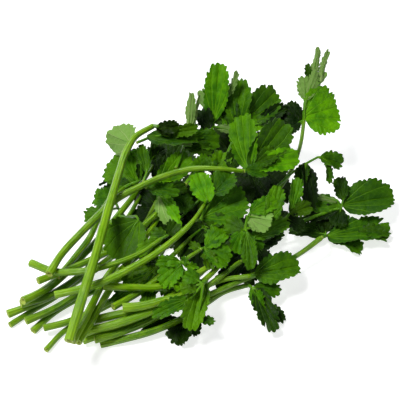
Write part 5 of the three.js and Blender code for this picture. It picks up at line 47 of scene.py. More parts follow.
# stem: [x, y, z, radius] in mm from the cut end up
# leaf: stalks the same way, and leaflets, each with a 4 x 4 net from base to tip
STEMS = {
  'stem_01': [[-110.89, -36.57, 25.87, 2.4], [-99.2, -26.24, 30.18, 2.45], [-87.47, -16.36, 35.4, 2.46], [-75.65, -6.22, 39.87, 2.44], [-64.13, 4.65, 43.22, 2.4], [-52.78, 15.98, 45.53, 2.33], [-41.39, 27.4, 47.0, 2.24], [-30.03, 38.93, 47.73, 2.14], [-18.56, 50.35, 47.8, 2.03], [-5.46, 59.81, 47.21, 1.89], [9.98, 63.83, 45.55, 1.7]],
  'stem_02': [[-107.78, -34.66, 21.7, 2.0], [-95.81, -25.16, 19.64, 2.04], [-83.68, -15.65, 19.02, 2.04], [-71.52, -6.16, 18.67, 2.01], [-58.15, 1.51, 18.25, 1.92], [-44.44, 8.56, 17.78, 1.8], [-31.36, 16.71, 17.12, 1.65], [-19.03, 25.89, 15.85, 1.49], [-7.35, 35.65, 13.34, 1.32]],
  'stem_03': [[-104.11, -32.71, 16.25, 2.0], [-90.54, -24.04, 15.43, 2.05], [-77.1, -15.12, 16.01, 2.04], [-63.3, -6.82, 16.89, 1.99], [-49.07, 0.74, 17.76, 1.88], [-34.86, 8.36, 18.48, 1.72], [-20.9, 16.43, 18.72, 1.53], [-7.56, 25.46, 17.85, 1.33]],
  'stem_04': [[-97.67, 6.31, 30.76, 1.99], [-84.65, 14.92, 31.25, 2.04], [-70.08, 19.99, 33.68, 2.07], [-55.19, 23.91, 36.52, 2.07], [-40.16, 27.36, 39.16, 2.03], [-24.81, 26.16, 41.59, 1.95], [-9.54, 23.38, 43.62, 1.83], [5.06, 18.18, 45.11, 1.66], [17.61, 8.9, 45.78, 1.46], [29.59, -1.06, 44.8, 1.22]],
  'stem_05': [[-99.26, 25.0, 24.45, 2.15], [-92.64, 9.88, 26.41, 2.06], [-80.85, -1.47, 29.23, 1.91], [-65.78, -8.2, 31.29, 1.69], [-49.41, -10.85, 32.04, 1.4], [-33.21, -7.31, 30.69, 1.11]],
  'stem_06': [[-102.05, 12.51, 22.46, 1.96], [-85.86, 11.87, 20.93, 1.96], [-69.64, 10.55, 20.82, 1.93], [-53.38, 10.22, 21.12, 1.89], [-37.39, 13.24, 21.54, 1.84], [-21.71, 17.65, 22.12, 1.78], [-6.23, 22.68, 22.82, 1.7], [9.0, 28.41, 23.53, 1.61], [24.67, 32.85, 24.03, 1.51]],
  'stem_07': [[-89.7, 12.91, 17.47, 1.56], [-75.1, 19.78, 17.98, 1.8], [-60.74, 27.06, 19.17, 1.87], [-48.09, 37.08, 19.89, 1.78], [-35.04, 46.58, 20.08, 1.56], [-20.15, 52.51, 18.52, 1.2]],
  'stem_08': [[-114.37, 8.14, 18.11, 2.22], [-99.94, 11.37, 14.43, 2.2], [-85.48, 15.94, 13.14, 2.17], [-71.45, 21.93, 12.75, 2.11], [-57.22, 27.48, 12.75, 2.03], [-43.41, 33.96, 12.95, 1.93], [-29.8, 40.88, 13.25, 1.81], [-16.29, 47.97, 13.48, 1.68], [-3.53, 56.34, 13.38, 1.53], [8.86, 65.21, 12.6, 1.38]],
  'stem_09': [[-100.24, -3.35, 24.14, 2.05], [-86.28, -9.17, 25.58, 2.15], [-72.1, -13.99, 28.03, 2.16], [-57.21, -15.9, 30.4, 2.07], [-42.16, -16.33, 32.47, 1.88], [-27.24, -14.1, 34.13, 1.63], [-12.71, -9.74, 35.04, 1.31], [0.49, -2.27, 34.52, 0.99]],
  'stem_10': [[-74.7, -12.26, 22.75, 2.21], [-62.23, -20.39, 20.71, 2.16], [-49.6, -28.44, 20.16, 2.07], [-35.08, -32.16, 19.88, 1.94], [-20.07, -32.21, 19.83, 1.78], [-5.44, -28.83, 19.76, 1.6], [8.87, -24.29, 18.79, 1.41]],
  'stem_11': [[-76.26, -23.26, 16.59, 1.91], [-64.4, -22.23, 15.61, 1.86], [-52.47, -22.03, 17.02, 1.74], [-40.71, -21.49, 19.44, 1.56], [-29.13, -22.12, 22.52, 1.31], [-17.55, -23.16, 25.53, 1.0]],
  'stem_12': [[-73.92, -30.05, 20.53, 2.19], [-65.12, -34.89, 20.7, 2.19], [-55.68, -38.32, 21.27, 2.1], [-46.11, -41.39, 21.48, 1.92], [-36.18, -42.74, 21.49, 1.67], [-26.33, -40.9, 21.03, 1.37]],
  'stem_13': [[-113.94, 13.07, 10.76, 2.21], [-98.16, 10.29, 9.81, 2.03], [-82.17, 11.47, 10.15, 1.86], [-66.74, 15.86, 10.55, 1.71], [-52.1, 22.48, 10.78, 1.58], [-38.04, 30.28, 10.83, 1.45], [-24.46, 38.88, 10.67, 1.33], [-11.52, 48.41, 10.22, 1.22]],
  'stem_14': [[-89.44, -30.13, 1.27, 2.14], [-76.04, -37.3, 3.99, 2.08], [-61.35, -42.34, 5.13, 2.0], [-45.99, -44.2, 5.35, 1.89], [-30.45, -43.12, 5.12, 1.77], [-14.93, -41.9, 5.03, 1.61], [-0.4, -46.26, 5.7, 1.41]],
  'stem_15': [[-93.05, -30.68, 7.87, 1.87], [-77.66, -34.65, 7.76, 1.81], [-62.01, -37.29, 8.66, 1.73], [-46.29, -38.75, 10.51, 1.64], [-30.56, -39.25, 12.81, 1.53], [-14.82, -38.62, 14.91, 1.41], [0.92, -36.62, 15.73, 1.28]],
  'stem_16': [[-95.59, -23.69, 9.54, 2.42], [-82.27, -31.01, 13.04, 2.25], [-67.7, -36.17, 15.44, 2.06], [-52.39, -38.88, 16.94, 1.86], [-36.8, -39.6, 17.7, 1.66], [-21.5, -36.57, 17.79, 1.46], [-6.72, -31.53, 16.95, 1.27]],
  'stem_17': [[-88.5, -19.35, 9.61, 2.17], [-75.36, -26.8, 13.25, 2.12], [-61.41, -33.35, 14.98, 2.01], [-46.0, -34.8, 15.6, 1.87], [-30.64, -32.33, 15.55, 1.69], [-15.77, -27.85, 14.85, 1.49], [-1.82, -21.29, 12.78, 1.28]],
  'stem_18': [[-116.02, -16.66, 2.01, 1.46], [-101.84, -10.71, 1.29, 1.53], [-86.49, -9.52, 1.34, 1.55], [-71.08, -9.58, 1.89, 1.52], [-55.79, -11.35, 2.88, 1.43], [-40.49, -12.53, 4.24, 1.3], [-25.15, -11.86, 5.7, 1.13]],
  'stem_19': [[-115.12, -0.55, 1.62, 1.89], [-100.07, 3.81, 1.99, 1.86], [-84.44, 4.41, 2.79, 1.78], [-68.88, 2.51, 3.95, 1.67], [-53.33, 0.76, 5.42, 1.52], [-37.73, 1.13, 7.14, 1.35], [-22.44, 4.23, 9.04, 1.15]],
  'stem_20': [[-110.48, -5.47, 5.71, 1.89], [-95.96, -9.47, 5.36, 1.84], [-80.89, -10.55, 5.65, 1.78], [-65.79, -10.56, 6.15, 1.69], [-50.72, -9.9, 6.78, 1.58], [-35.94, -6.84, 7.45, 1.46], [-21.32, -3.06, 8.13, 1.32], [-6.94, 1.56, 8.74, 1.16]],
  'stem_21': [[-123.45, 10.48, 1.93, 1.63], [-108.0, 12.94, 1.17, 1.63], [-92.36, 13.99, 1.52, 1.6], [-76.82, 15.96, 2.26, 1.53], [-61.22, 17.14, 3.22, 1.43], [-46.0, 20.68, 4.26, 1.31], [-31.15, 25.65, 5.15, 1.16]],
  'stem_22': [[-121.72, 15.02, 5.78, 2.19], [-106.76, 13.42, 5.42, 2.03], [-91.75, 12.44, 5.77, 1.87], [-76.74, 13.6, 6.28, 1.72], [-61.86, 15.85, 6.86, 1.58], [-47.12, 18.9, 7.47, 1.44], [-32.54, 22.61, 7.99, 1.31], [-18.26, 27.41, 8.14, 1.18]],
  'stem_23': [[-116.33, 4.02, 6.59, 2.18], [-100.25, 2.64, 6.69, 2.02], [-83.85, 3.25, 7.25, 1.88], [-67.45, 3.43, 8.01, 1.73], [-51.14, 5.0, 8.87, 1.58], [-34.98, 7.71, 9.82, 1.45], [-19.04, 11.55, 10.76, 1.31], [-3.49, 16.74, 11.46, 1.18]],
  'stem_24': [[-96.82, -23.8, 3.74, 2.41], [-81.19, -29.35, 6.53, 2.26], [-64.64, -32.73, 8.09, 2.1], [-47.8, -34.4, 9.31, 1.92], [-30.92, -35.86, 10.37, 1.73], [-14.26, -38.64, 11.73, 1.51], [-0.28, -47.48, 14.26, 1.27]],
  'stem_25': [[-76.16, -26.54, 1.07, 1.62], [-60.99, -32.27, 3.83, 1.6], [-45.24, -36.62, 5.9, 1.58], [-29.24, -40.0, 7.71, 1.56], [-13.07, -42.73, 9.27, 1.54], [3.08, -45.61, 10.64, 1.52], [19.13, -49.03, 11.95, 1.5], [35.47, -49.83, 13.26, 1.48], [51.82, -48.48, 14.72, 1.46]],
  'stem_26': [[-10.54, -27.1, 18.03, 1.42], [4.71, -20.3, 14.67, 1.41], [20.85, -14.81, 14.07, 1.39], [37.24, -10.39, 15.73, 1.36], [53.26, -5.87, 19.43, 1.31], [68.41, -0.57, 25.17, 1.26], [81.47, 7.43, 32.63, 1.2], [92.56, 17.66, 40.57, 1.13]],
}
# each leaflet's tone is partly its own colour and partly painted light and shade: shaded leaflets deep in the pile,
# many of leaf_31 to leaf_34, are near black as painted shade, and lit ones are bright yellow-green
LEAVES = {
  'leaf_01': {'joins': 'stem_01', 'stalks': [[[10.37, 63.87, 45.5, 1.24], [8.54, 58.59, 49.72, 1.09], [6.58, 52.95, 54.23, 0.93]]], 'leaflets': [{'shape': 0, 'tone': 0.12, 'root': [8.31, 57.95, 50.23, 1.07], 'net': [[6.17, 54.55, 46.01], [7.39, 56.49, 48.06], [8.54, 58.32, 50.2], [9.64, 60.02, 52.45], [9.96, 51.75, 46.28], [11.35, 54.07, 48.02], [12.51, 55.9, 50.17], [13.44, 57.24, 52.71], [13.95, 49.39, 46.2], [15.42, 51.9, 47.79], [16.58, 53.73, 49.93], [17.44, 54.89, 52.61], [18.24, 47.71, 45.57], [19.68, 50.14, 47.22], [20.85, 51.99, 49.36], [21.75, 53.24, 51.97]]}, {'shape': 1, 'tone': 0.15, 'root': [8.38, 58.13, 50.08, 1.08], 'net': [[5.95, 56.81, 47.74], [7.5, 57.5, 48.89], [9.03, 58.15, 50.08], [10.53, 58.77, 51.33], [7.94, 53.68, 46.81], [9.61, 54.53, 47.74], [11.14, 55.18, 48.94], [12.52, 55.64, 50.39], [10.1, 50.79, 45.56], [11.82, 51.72, 46.39], [13.35, 52.38, 47.58], [14.69, 52.76, 49.13], [12.53, 48.29, 43.8], [14.23, 49.18, 44.68], [15.76, 49.84, 45.87], [17.13, 50.26, 47.37]]}]},
  'leaf_02': {'joins': 'stem_01', 'stalks': [[[-7.35, 55.37, 46.5, 0.93], [-2.4, 56.83, 44.83, 0.86], [2.55, 58.41, 43.24, 0.8]]], 'leaflets': [{'shape': 1, 'tone': 0.38, 'root': [1.87, 58.19, 43.45, 0.81], 'net': [[-3.19, 51.35, 43.44], [0.23, 56.17, 43.29], [3.56, 60.85, 43.55], [6.78, 65.37, 44.22], [4.45, 44.77, 44.17], [8.35, 50.14, 42.69], [11.7, 54.72, 42.99], [14.49, 58.54, 45.08], [12.51, 38.77, 43.62], [16.66, 44.35, 41.52], [20.03, 48.86, 41.85], [22.63, 52.31, 44.63], [21.21, 33.65, 41.12], [25.28, 39.02, 39.36], [28.68, 43.46, 39.72], [31.42, 46.98, 42.2]]}, {'shape': 0, 'tone': 0.4, 'root': [2.55, 58.41, 43.24, 0.8], 'net': [[13.09, 48.76, 42.29], [14.05, 50.99, 43.94], [15.02, 53.24, 45.6], [15.99, 55.5, 47.27], [17.87, 46.04, 43.14], [19.09, 48.62, 44.39], [20.07, 50.86, 46.05], [20.79, 52.76, 48.12], [22.76, 43.44, 43.83], [24.1, 46.18, 44.9], [25.08, 48.42, 46.56], [25.69, 50.16, 48.82], [27.77, 41.01, 44.33], [29.07, 43.67, 45.49], [30.05, 45.91, 47.15], [30.72, 47.72, 49.33]]}, {'shape': 3, 'tone': 0.6, 'root': [2.55, 58.41, 43.24, 0.8], 'net': [[10.79, 53.45, 44.55], [10.05, 52.94, 43.38], [9.35, 52.47, 42.18], [8.68, 52.05, 40.93], [15.43, 49.49, 43.39], [14.55, 48.78, 42.39], [13.85, 48.31, 41.18], [13.33, 48.1, 39.78], [19.9, 45.28, 42.45], [18.95, 44.46, 41.52], [18.25, 44.0, 40.31], [17.8, 43.87, 38.83], [24.07, 40.65, 41.82], [23.16, 39.88, 40.86], [22.46, 39.41, 39.65], [21.98, 39.24, 38.2]]}]},
  'leaf_03': {'joins': 'stem_01', 'stalks': [[[-7.3, 61.09, 44.86, 0.87], [-5.27, 66.18, 40.76, 0.82], [-3.25, 71.28, 36.67, 0.77]]], 'leaflets': [{'shape': 1, 'tone': 0.75, 'root': [-7.3, 61.09, 44.86, 0.87], 'net': [[-16.06, 58.31, 34.02], [-11.26, 59.58, 40.0], [-6.21, 60.8, 45.7], [-0.9, 61.99, 51.13], [-15.73, 65.22, 31.27], [-12.16, 66.64, 38.4], [-7.06, 67.87, 44.15], [-0.43, 68.89, 48.54], [-16.48, 72.44, 29.4], [-13.47, 73.94, 37.1], [-8.33, 75.17, 42.91], [-1.05, 76.11, 46.82], [-18.87, 80.05, 28.87], [-15.53, 81.52, 36.37], [-10.34, 82.74, 42.23], [-3.3, 83.72, 46.46]]}]},
  'leaf_04': {'joins': 'stem_07', 'stalks': [[[-19.78, 52.64, 18.45, 1.23], [-17.51, 52.4, 18.95, 1.07], [-15.2, 52.18, 19.44, 0.92]]], 'leaflets': [{'shape': 0, 'tone': 0.45, 'root': [-15.2, 52.18, 19.44, 0.92], 'net': [[-1.76, 51.01, 25.83], [-8.56, 50.55, 21.27], [-15.54, 49.97, 17.01], [-22.69, 49.28, 13.06], [-3.61, 59.07, 28.04], [-9.73, 58.87, 22.34], [-16.75, 58.29, 18.06], [-24.65, 57.31, 15.19], [-4.73, 67.56, 29.1], [-10.56, 67.48, 22.85], [-17.61, 66.89, 18.54], [-25.89, 65.77, 16.17], [-4.73, 76.63, 28.4], [-10.75, 76.49, 22.38], [-17.85, 75.88, 18.05], [-26.0, 74.82, 15.4]]}, {'shape': 0, 'tone': 0.3, 'root': [-15.75, 52.23, 19.33, 0.96], 'net': [[-12.86, 56.17, 21.13], [-14.72, 53.09, 19.32], [-16.61, 50.0, 17.62], [-18.53, 46.9, 16.05], [-16.17, 58.82, 20.9], [-17.81, 55.86, 18.6], [-19.69, 52.76, 16.9], [-21.82, 49.52, 15.81], [-19.26, 61.61, 20.15], [-20.79, 58.71, 17.62], [-22.67, 55.6, 15.92], [-24.9, 52.29, 15.06], [-22.02, 64.63, 18.63], [-23.6, 61.68, 16.2], [-25.47, 58.57, 14.51], [-27.65, 55.27, 13.53]]}, {'shape': 0, 'tone': 0.5, 'root': [-15.2, 52.18, 19.44, 0.92], 'net': [[-6.82, 48.22, 20.88], [-10.02, 49.98, 20.37], [-13.27, 51.67, 20.0], [-16.57, 53.28, 19.76], [-4.59, 53.52, 25.38], [-7.57, 55.61, 24.3], [-10.82, 57.3, 23.92], [-14.37, 58.6, 24.26], [-2.04, 59.28, 29.18], [-4.92, 61.52, 27.82], [-8.18, 63.22, 27.44], [-11.85, 64.37, 28.05], [0.99, 65.72, 31.85], [-1.95, 67.89, 30.62], [-5.22, 69.59, 30.24], [-8.84, 70.82, 30.72]]}, {'shape': 1, 'tone': 0.2, 'root': [-15.2, 52.18, 19.44, 0.92], 'net': [[-6.23, 48.07, 19.09], [-8.7, 49.42, 20.12], [-11.13, 50.76, 21.16], [-13.53, 52.1, 22.21], [-2.31, 51.36, 23.26], [-4.66, 53.03, 23.88], [-7.1, 54.37, 24.91], [-9.64, 55.38, 26.37], [1.82, 55.14, 26.88], [-0.49, 56.96, 27.29], [-2.94, 58.3, 28.33], [-5.55, 59.14, 29.98], [6.24, 59.67, 29.6], [3.89, 61.42, 30.1], [1.42, 62.74, 31.14], [-1.17, 63.66, 32.69]]}]},
  'leaf_05': {'joins': 'stem_04', 'stalks': [[[-20.69, 28.48, 41.63, 0.89], [-15.12, 35.05, 38.08, 0.85], [-9.5, 41.65, 34.67, 0.81], [-3.85, 48.31, 31.41, 0.77], [1.85, 54.99, 28.29, 0.73]]], 'leaflets': [{'shape': 1, 'tone': 0.45, 'root': [-11.34, 39.49, 35.77, 0.82], 'net': [[-7.2, 38.73, 35.98], [-9.8, 39.23, 36.11], [-12.39, 39.86, 36.17], [-14.99, 40.62, 36.16], [-5.54, 44.02, 38.88], [-7.61, 44.68, 38.5], [-10.23, 45.29, 38.57], [-13.4, 45.84, 39.09], [-3.29, 49.57, 41.27], [-5.13, 50.29, 40.67], [-7.77, 50.88, 40.76], [-11.22, 51.32, 41.53], [-0.14, 55.49, 42.87], [-2.14, 56.12, 42.42], [-4.81, 56.68, 42.53], [-8.16, 57.15, 43.2]]}, {'shape': 1, 'tone': 0.4, 'root': [1.85, 54.99, 28.29, 0.73], 'net': [[4.16, 53.6, 26.49], [2.44, 54.34, 27.36], [0.74, 54.99, 28.31], [-0.95, 55.53, 29.32], [6.48, 55.05, 29.21], [4.74, 56.24, 29.76], [3.03, 56.88, 30.7], [1.35, 56.97, 32.04], [8.79, 56.94, 31.63], [7.03, 58.34, 32.02], [5.31, 58.98, 32.96], [3.64, 58.85, 34.44], [11.07, 59.5, 33.56], [9.31, 60.8, 34.03], [7.59, 61.44, 34.96], [5.91, 61.41, 36.37]]}, {'shape': 0, 'tone': 0.15, 'root': [1.85, 54.99, 28.29, 0.73], 'net': [[3.21, 51.92, 27.52], [2.98, 54.19, 28.61], [2.72, 56.44, 29.76], [2.44, 58.65, 30.97], [6.27, 51.62, 28.99], [6.15, 54.05, 29.79], [5.9, 56.29, 30.94], [5.5, 58.35, 32.44], [9.47, 51.5, 30.11], [9.41, 54.01, 30.78], [9.16, 56.25, 31.93], [8.72, 58.24, 33.56], [12.9, 51.69, 30.69], [12.81, 54.16, 31.43], [12.56, 56.4, 32.58], [12.15, 58.43, 34.15]]}]},
  'leaf_06': {'joins': 'stem_13', 'stalks': [[[-29.35, 38.48, 10.4, 0.88], [-28.47, 45.93, 9.6, 0.81], [-26.39, 53.14, 8.9, 0.75], [-25.97, 60.54, 8.15, 0.68]], [[-27.99, 48.0, 9.46, 0.79], [-32.33, 46.55, 12.15, 0.7], [-36.65, 45.09, 14.84, 0.61]]], 'leaflets': [{'shape': 0, 'tone': 0.55, 'root': [-25.61, 57.53, 8.47, 0.71], 'net': [[-22.03, 62.4, 11.46], [-24.36, 59.26, 9.32], [-26.74, 56.09, 7.37], [-29.19, 52.89, 5.61], [-25.27, 65.33, 11.67], [-27.24, 62.39, 8.73], [-29.63, 59.21, 6.77], [-32.43, 55.78, 5.81], [-28.25, 68.44, 11.24], [-30.05, 65.59, 7.91], [-32.43, 62.4, 5.95], [-35.39, 58.86, 5.37], [-30.81, 71.83, 9.84], [-32.69, 68.91, 6.7], [-35.06, 65.71, 4.74], [-37.94, 62.21, 3.98]]}, {'shape': 0, 'tone': 0.5, 'root': [-36.35, 45.19, 14.66, 0.61], 'net': [[-33.78, 48.59, 14.35], [-35.66, 44.91, 13.4], [-37.55, 41.27, 12.58], [-39.46, 37.67, 11.89], [-38.15, 51.77, 13.85], [-39.86, 48.12, 12.35], [-41.74, 44.47, 11.53], [-43.78, 40.8, 11.39], [-42.36, 55.02, 12.68], [-43.98, 51.38, 10.92], [-45.84, 47.7, 10.1], [-47.94, 44.0, 10.23], [-46.29, 58.36, 10.5], [-47.93, 54.69, 8.87], [-49.78, 51.0, 8.05], [-51.83, 47.29, 8.06]]}, {'shape': 3, 'tone': 0.1, 'root': [-25.97, 60.54, 8.15, 0.68], 'net': [[-20.28, 67.07, 16.03], [-20.58, 66.11, 15.94], [-20.84, 65.22, 15.79], [-21.07, 64.38, 15.59], [-22.95, 67.98, 15.39], [-23.22, 67.05, 15.26], [-23.48, 66.15, 15.11], [-23.72, 65.29, 14.95], [-25.56, 68.96, 14.64], [-25.82, 68.03, 14.48], [-26.08, 67.13, 14.34], [-26.33, 66.26, 14.2], [-28.1, 70.03, 13.69], [-28.36, 69.1, 13.55], [-28.62, 68.2, 13.41], [-28.86, 67.33, 13.26]]}, {'shape': 0, 'tone': 0.35, 'root': [-25.86, 60.11, 8.2, 0.68], 'net': [[-20.09, 61.42, 11.86], [-22.15, 61.28, 10.85], [-24.22, 61.11, 9.9], [-26.32, 60.93, 9.02], [-20.63, 63.63, 12.86], [-22.57, 63.6, 11.58], [-24.65, 63.44, 10.63], [-26.86, 63.14, 10.01], [-21.04, 65.97, 13.57], [-22.93, 65.99, 12.16], [-25.01, 65.82, 11.21], [-27.28, 65.47, 10.72], [-21.27, 68.5, 13.84], [-23.19, 68.49, 12.5], [-25.27, 68.32, 11.55], [-27.52, 68.0, 10.99]]}]},
  'leaf_07': {'joins': None, 'stalks': [[[7.04, 35.38, 32.94, 1.02], [13.43, 40.25, 34.62, 0.95], [19.72, 45.23, 36.34, 0.88], [25.9, 50.32, 38.12, 0.81]]], 'leaflets': [{'shape': 0, 'tone': 0.45, 'root': [24.65, 49.28, 37.76, 0.82], 'net': [[20.46, 43.46, 34.7], [23.34, 47.0, 36.88], [26.17, 50.43, 39.32], [28.97, 53.76, 42.02], [25.57, 39.22, 34.95], [28.74, 43.31, 36.06], [31.59, 46.74, 38.5], [34.12, 49.5, 42.27], [30.93, 35.44, 34.29], [34.25, 39.8, 34.89], [37.11, 43.22, 37.33], [39.53, 45.7, 41.61], [36.65, 32.39, 32.26], [39.93, 36.61, 33.11], [42.81, 40.02, 35.55], [45.3, 42.62, 39.58]]}, {'shape': 3, 'tone': 0.75, 'root': [25.9, 50.32, 38.12, 0.81], 'net': [[24.43, 53.06, 37.42], [25.63, 50.87, 38.02], [26.93, 48.73, 38.54], [28.36, 46.67, 38.98], [28.38, 56.65, 45.2], [29.01, 54.19, 46.13], [30.31, 52.06, 46.64], [32.27, 50.26, 46.72], [31.76, 59.95, 53.24], [32.13, 57.38, 54.32], [33.41, 55.25, 54.81], [35.63, 53.56, 54.71], [34.31, 62.85, 61.71], [34.79, 60.33, 62.7], [36.07, 58.2, 63.18], [38.15, 56.46, 63.14]]}, {'shape': 3, 'tone': 0.5, 'root': [25.9, 50.32, 38.12, 0.81], 'net': [[28.94, 48.94, 40.07], [29.76, 48.85, 39.66], [30.57, 48.79, 39.25], [31.38, 48.75, 38.82], [32.69, 53.16, 46.08], [33.52, 52.97, 45.74], [34.34, 52.91, 45.33], [35.14, 52.99, 44.85], [36.55, 56.74, 52.46], [37.4, 56.5, 52.16], [38.22, 56.44, 51.75], [39.01, 56.57, 51.24], [40.6, 59.25, 59.42], [41.45, 59.03, 59.11], [42.27, 58.98, 58.71], [43.07, 59.09, 58.23]]}, {'shape': 0, 'tone': 0.68, 'root': [25.9, 50.32, 38.12, 0.81], 'net': [[29.28, 46.83, 37.39], [27.73, 48.72, 37.82], [26.14, 50.55, 38.32], [24.51, 52.31, 38.91], [31.39, 47.99, 39.93], [30.05, 50.16, 39.98], [28.46, 51.99, 40.49], [26.62, 53.47, 41.45], [33.7, 49.42, 42.1], [32.46, 51.73, 41.98], [30.87, 53.56, 42.49], [28.93, 54.91, 43.63], [36.32, 51.28, 43.73], [35.03, 53.52, 43.69], [33.44, 55.35, 44.2], [31.55, 56.76, 45.25]]}, {'shape': 0, 'tone': 0.3, 'root': [20.25, 45.66, 36.49, 0.87], 'net': [[17.52, 42.9, 34.15], [19.24, 44.53, 36.07], [21.07, 46.33, 37.91], [23.02, 48.3, 39.65], [21.79, 39.04, 33.84], [23.62, 40.83, 35.29], [25.45, 42.61, 37.14], [27.26, 44.38, 39.41], [26.22, 35.41, 32.9], [28.1, 37.26, 34.13], [29.92, 39.01, 36.0], [31.67, 40.68, 38.52], [30.91, 32.12, 30.96], [32.74, 33.9, 32.34], [34.55, 35.64, 34.23], [36.33, 37.33, 36.64]]}, {'shape': 1, 'tone': 0.7, 'root': [23.71, 48.5, 37.48, 0.83], 'net': [[23.84, 45.98, 35.84], [24.13, 47.35, 36.77], [24.4, 48.69, 37.73], [24.65, 50.01, 38.74], [27.61, 44.54, 36.89], [27.98, 46.02, 37.63], [28.25, 47.36, 38.6], [28.42, 48.57, 39.79], [31.54, 43.31, 37.59], [31.96, 44.84, 38.25], [32.23, 46.19, 39.22], [32.36, 47.34, 40.49], [35.74, 42.43, 37.73], [36.13, 43.94, 38.43], [36.41, 45.28, 39.4], [36.56, 46.46, 40.64]]}]},
  'leaf_08': {'joins': None, 'stalks': [[[7.71, 25.98, 26.42, 1.25], [14.89, 30.12, 27.06, 1.2], [22.05, 33.84, 29.08, 1.15], [28.92, 37.72, 31.72, 1.1], [35.48, 42.07, 34.43, 1.04], [41.83, 46.91, 36.79, 0.99], [48.07, 52.18, 38.36, 0.95]]], 'leaflets': [{'shape': 0, 'tone': 0.74, 'root': [48.07, 52.18, 38.36, 0.95], 'net': [[54.24, 46.32, 39.85], [50.49, 50.67, 39.48], [46.51, 54.84, 39.31], [42.32, 58.81, 39.33], [58.12, 50.23, 50.31], [55.23, 55.4, 49.19], [51.27, 59.56, 49.03], [46.25, 62.69, 49.84], [62.57, 54.71, 60.1], [60.11, 60.27, 58.63], [56.17, 64.42, 58.49], [50.76, 67.14, 59.67], [67.93, 60.07, 68.94], [65.29, 65.43, 67.66], [61.37, 69.57, 67.53], [56.17, 72.47, 68.55]]}, {'shape': 0, 'tone': 0.62, 'root': [48.07, 52.18, 38.36, 0.95], 'net': [[45.22, 58.37, 35.98], [47.28, 55.21, 38.48], [49.44, 52.12, 40.87], [51.72, 49.1, 43.15], [47.0, 63.51, 39.62], [48.45, 60.18, 42.49], [50.62, 57.07, 44.87], [53.5, 54.17, 46.76], [48.09, 68.5, 43.72], [49.24, 65.08, 46.76], [51.41, 61.94, 49.12], [54.58, 59.09, 50.82], [48.09, 73.25, 48.52], [49.39, 69.83, 51.45], [51.55, 66.67, 53.8], [54.58, 63.76, 55.57]]}, {'shape': 3, 'tone': 0.5, 'root': [48.07, 52.18, 38.36, 0.95], 'net': [[58.6, 59.05, 47.96], [58.5, 56.91, 48.5], [58.44, 54.76, 49.01], [58.42, 52.6, 49.5], [62.51, 58.83, 53.64], [62.14, 56.74, 54.33], [62.07, 54.6, 54.82], [62.3, 52.41, 55.12], [65.79, 58.71, 59.63], [65.28, 56.65, 60.38], [65.2, 54.51, 60.86], [65.55, 52.31, 61.07], [68.08, 58.74, 66.17], [67.62, 56.68, 66.86], [67.53, 54.55, 67.32], [67.81, 52.37, 67.55]]}, {'shape': 0, 'tone': 0.1, 'root': [42.36, 47.34, 36.96, 0.99], 'net': [[46.36, 46.28, 39.08], [43.15, 47.83, 37.91], [39.9, 49.33, 36.83], [36.59, 50.8, 35.84], [47.3, 50.46, 41.92], [44.32, 52.21, 40.32], [41.05, 53.72, 39.24], [37.51, 54.99, 38.67], [48.53, 54.91, 44.24], [45.65, 56.75, 42.45], [42.38, 58.27, 41.37], [38.72, 59.46, 41.0], [50.21, 59.76, 45.78], [47.27, 61.56, 44.08], [44.0, 63.08, 42.99], [40.38, 64.32, 42.53]]}, {'shape': 1, 'tone': 0.4, 'root': [45.54, 50.0, 37.83, 0.97], 'net': [[48.62, 49.98, 39.05], [47.56, 49.11, 37.76], [46.5, 48.21, 36.48], [45.42, 47.31, 35.2], [52.02, 46.85, 38.37], [50.86, 45.83, 37.28], [49.8, 44.94, 35.99], [48.83, 44.18, 34.52], [55.22, 43.44, 38.06], [54.02, 42.35, 37.05], [52.95, 41.46, 35.77], [52.03, 40.77, 34.21], [58.11, 39.6, 38.33], [56.92, 38.54, 37.28], [55.85, 37.66, 35.99], [54.91, 36.93, 34.48]]}]},
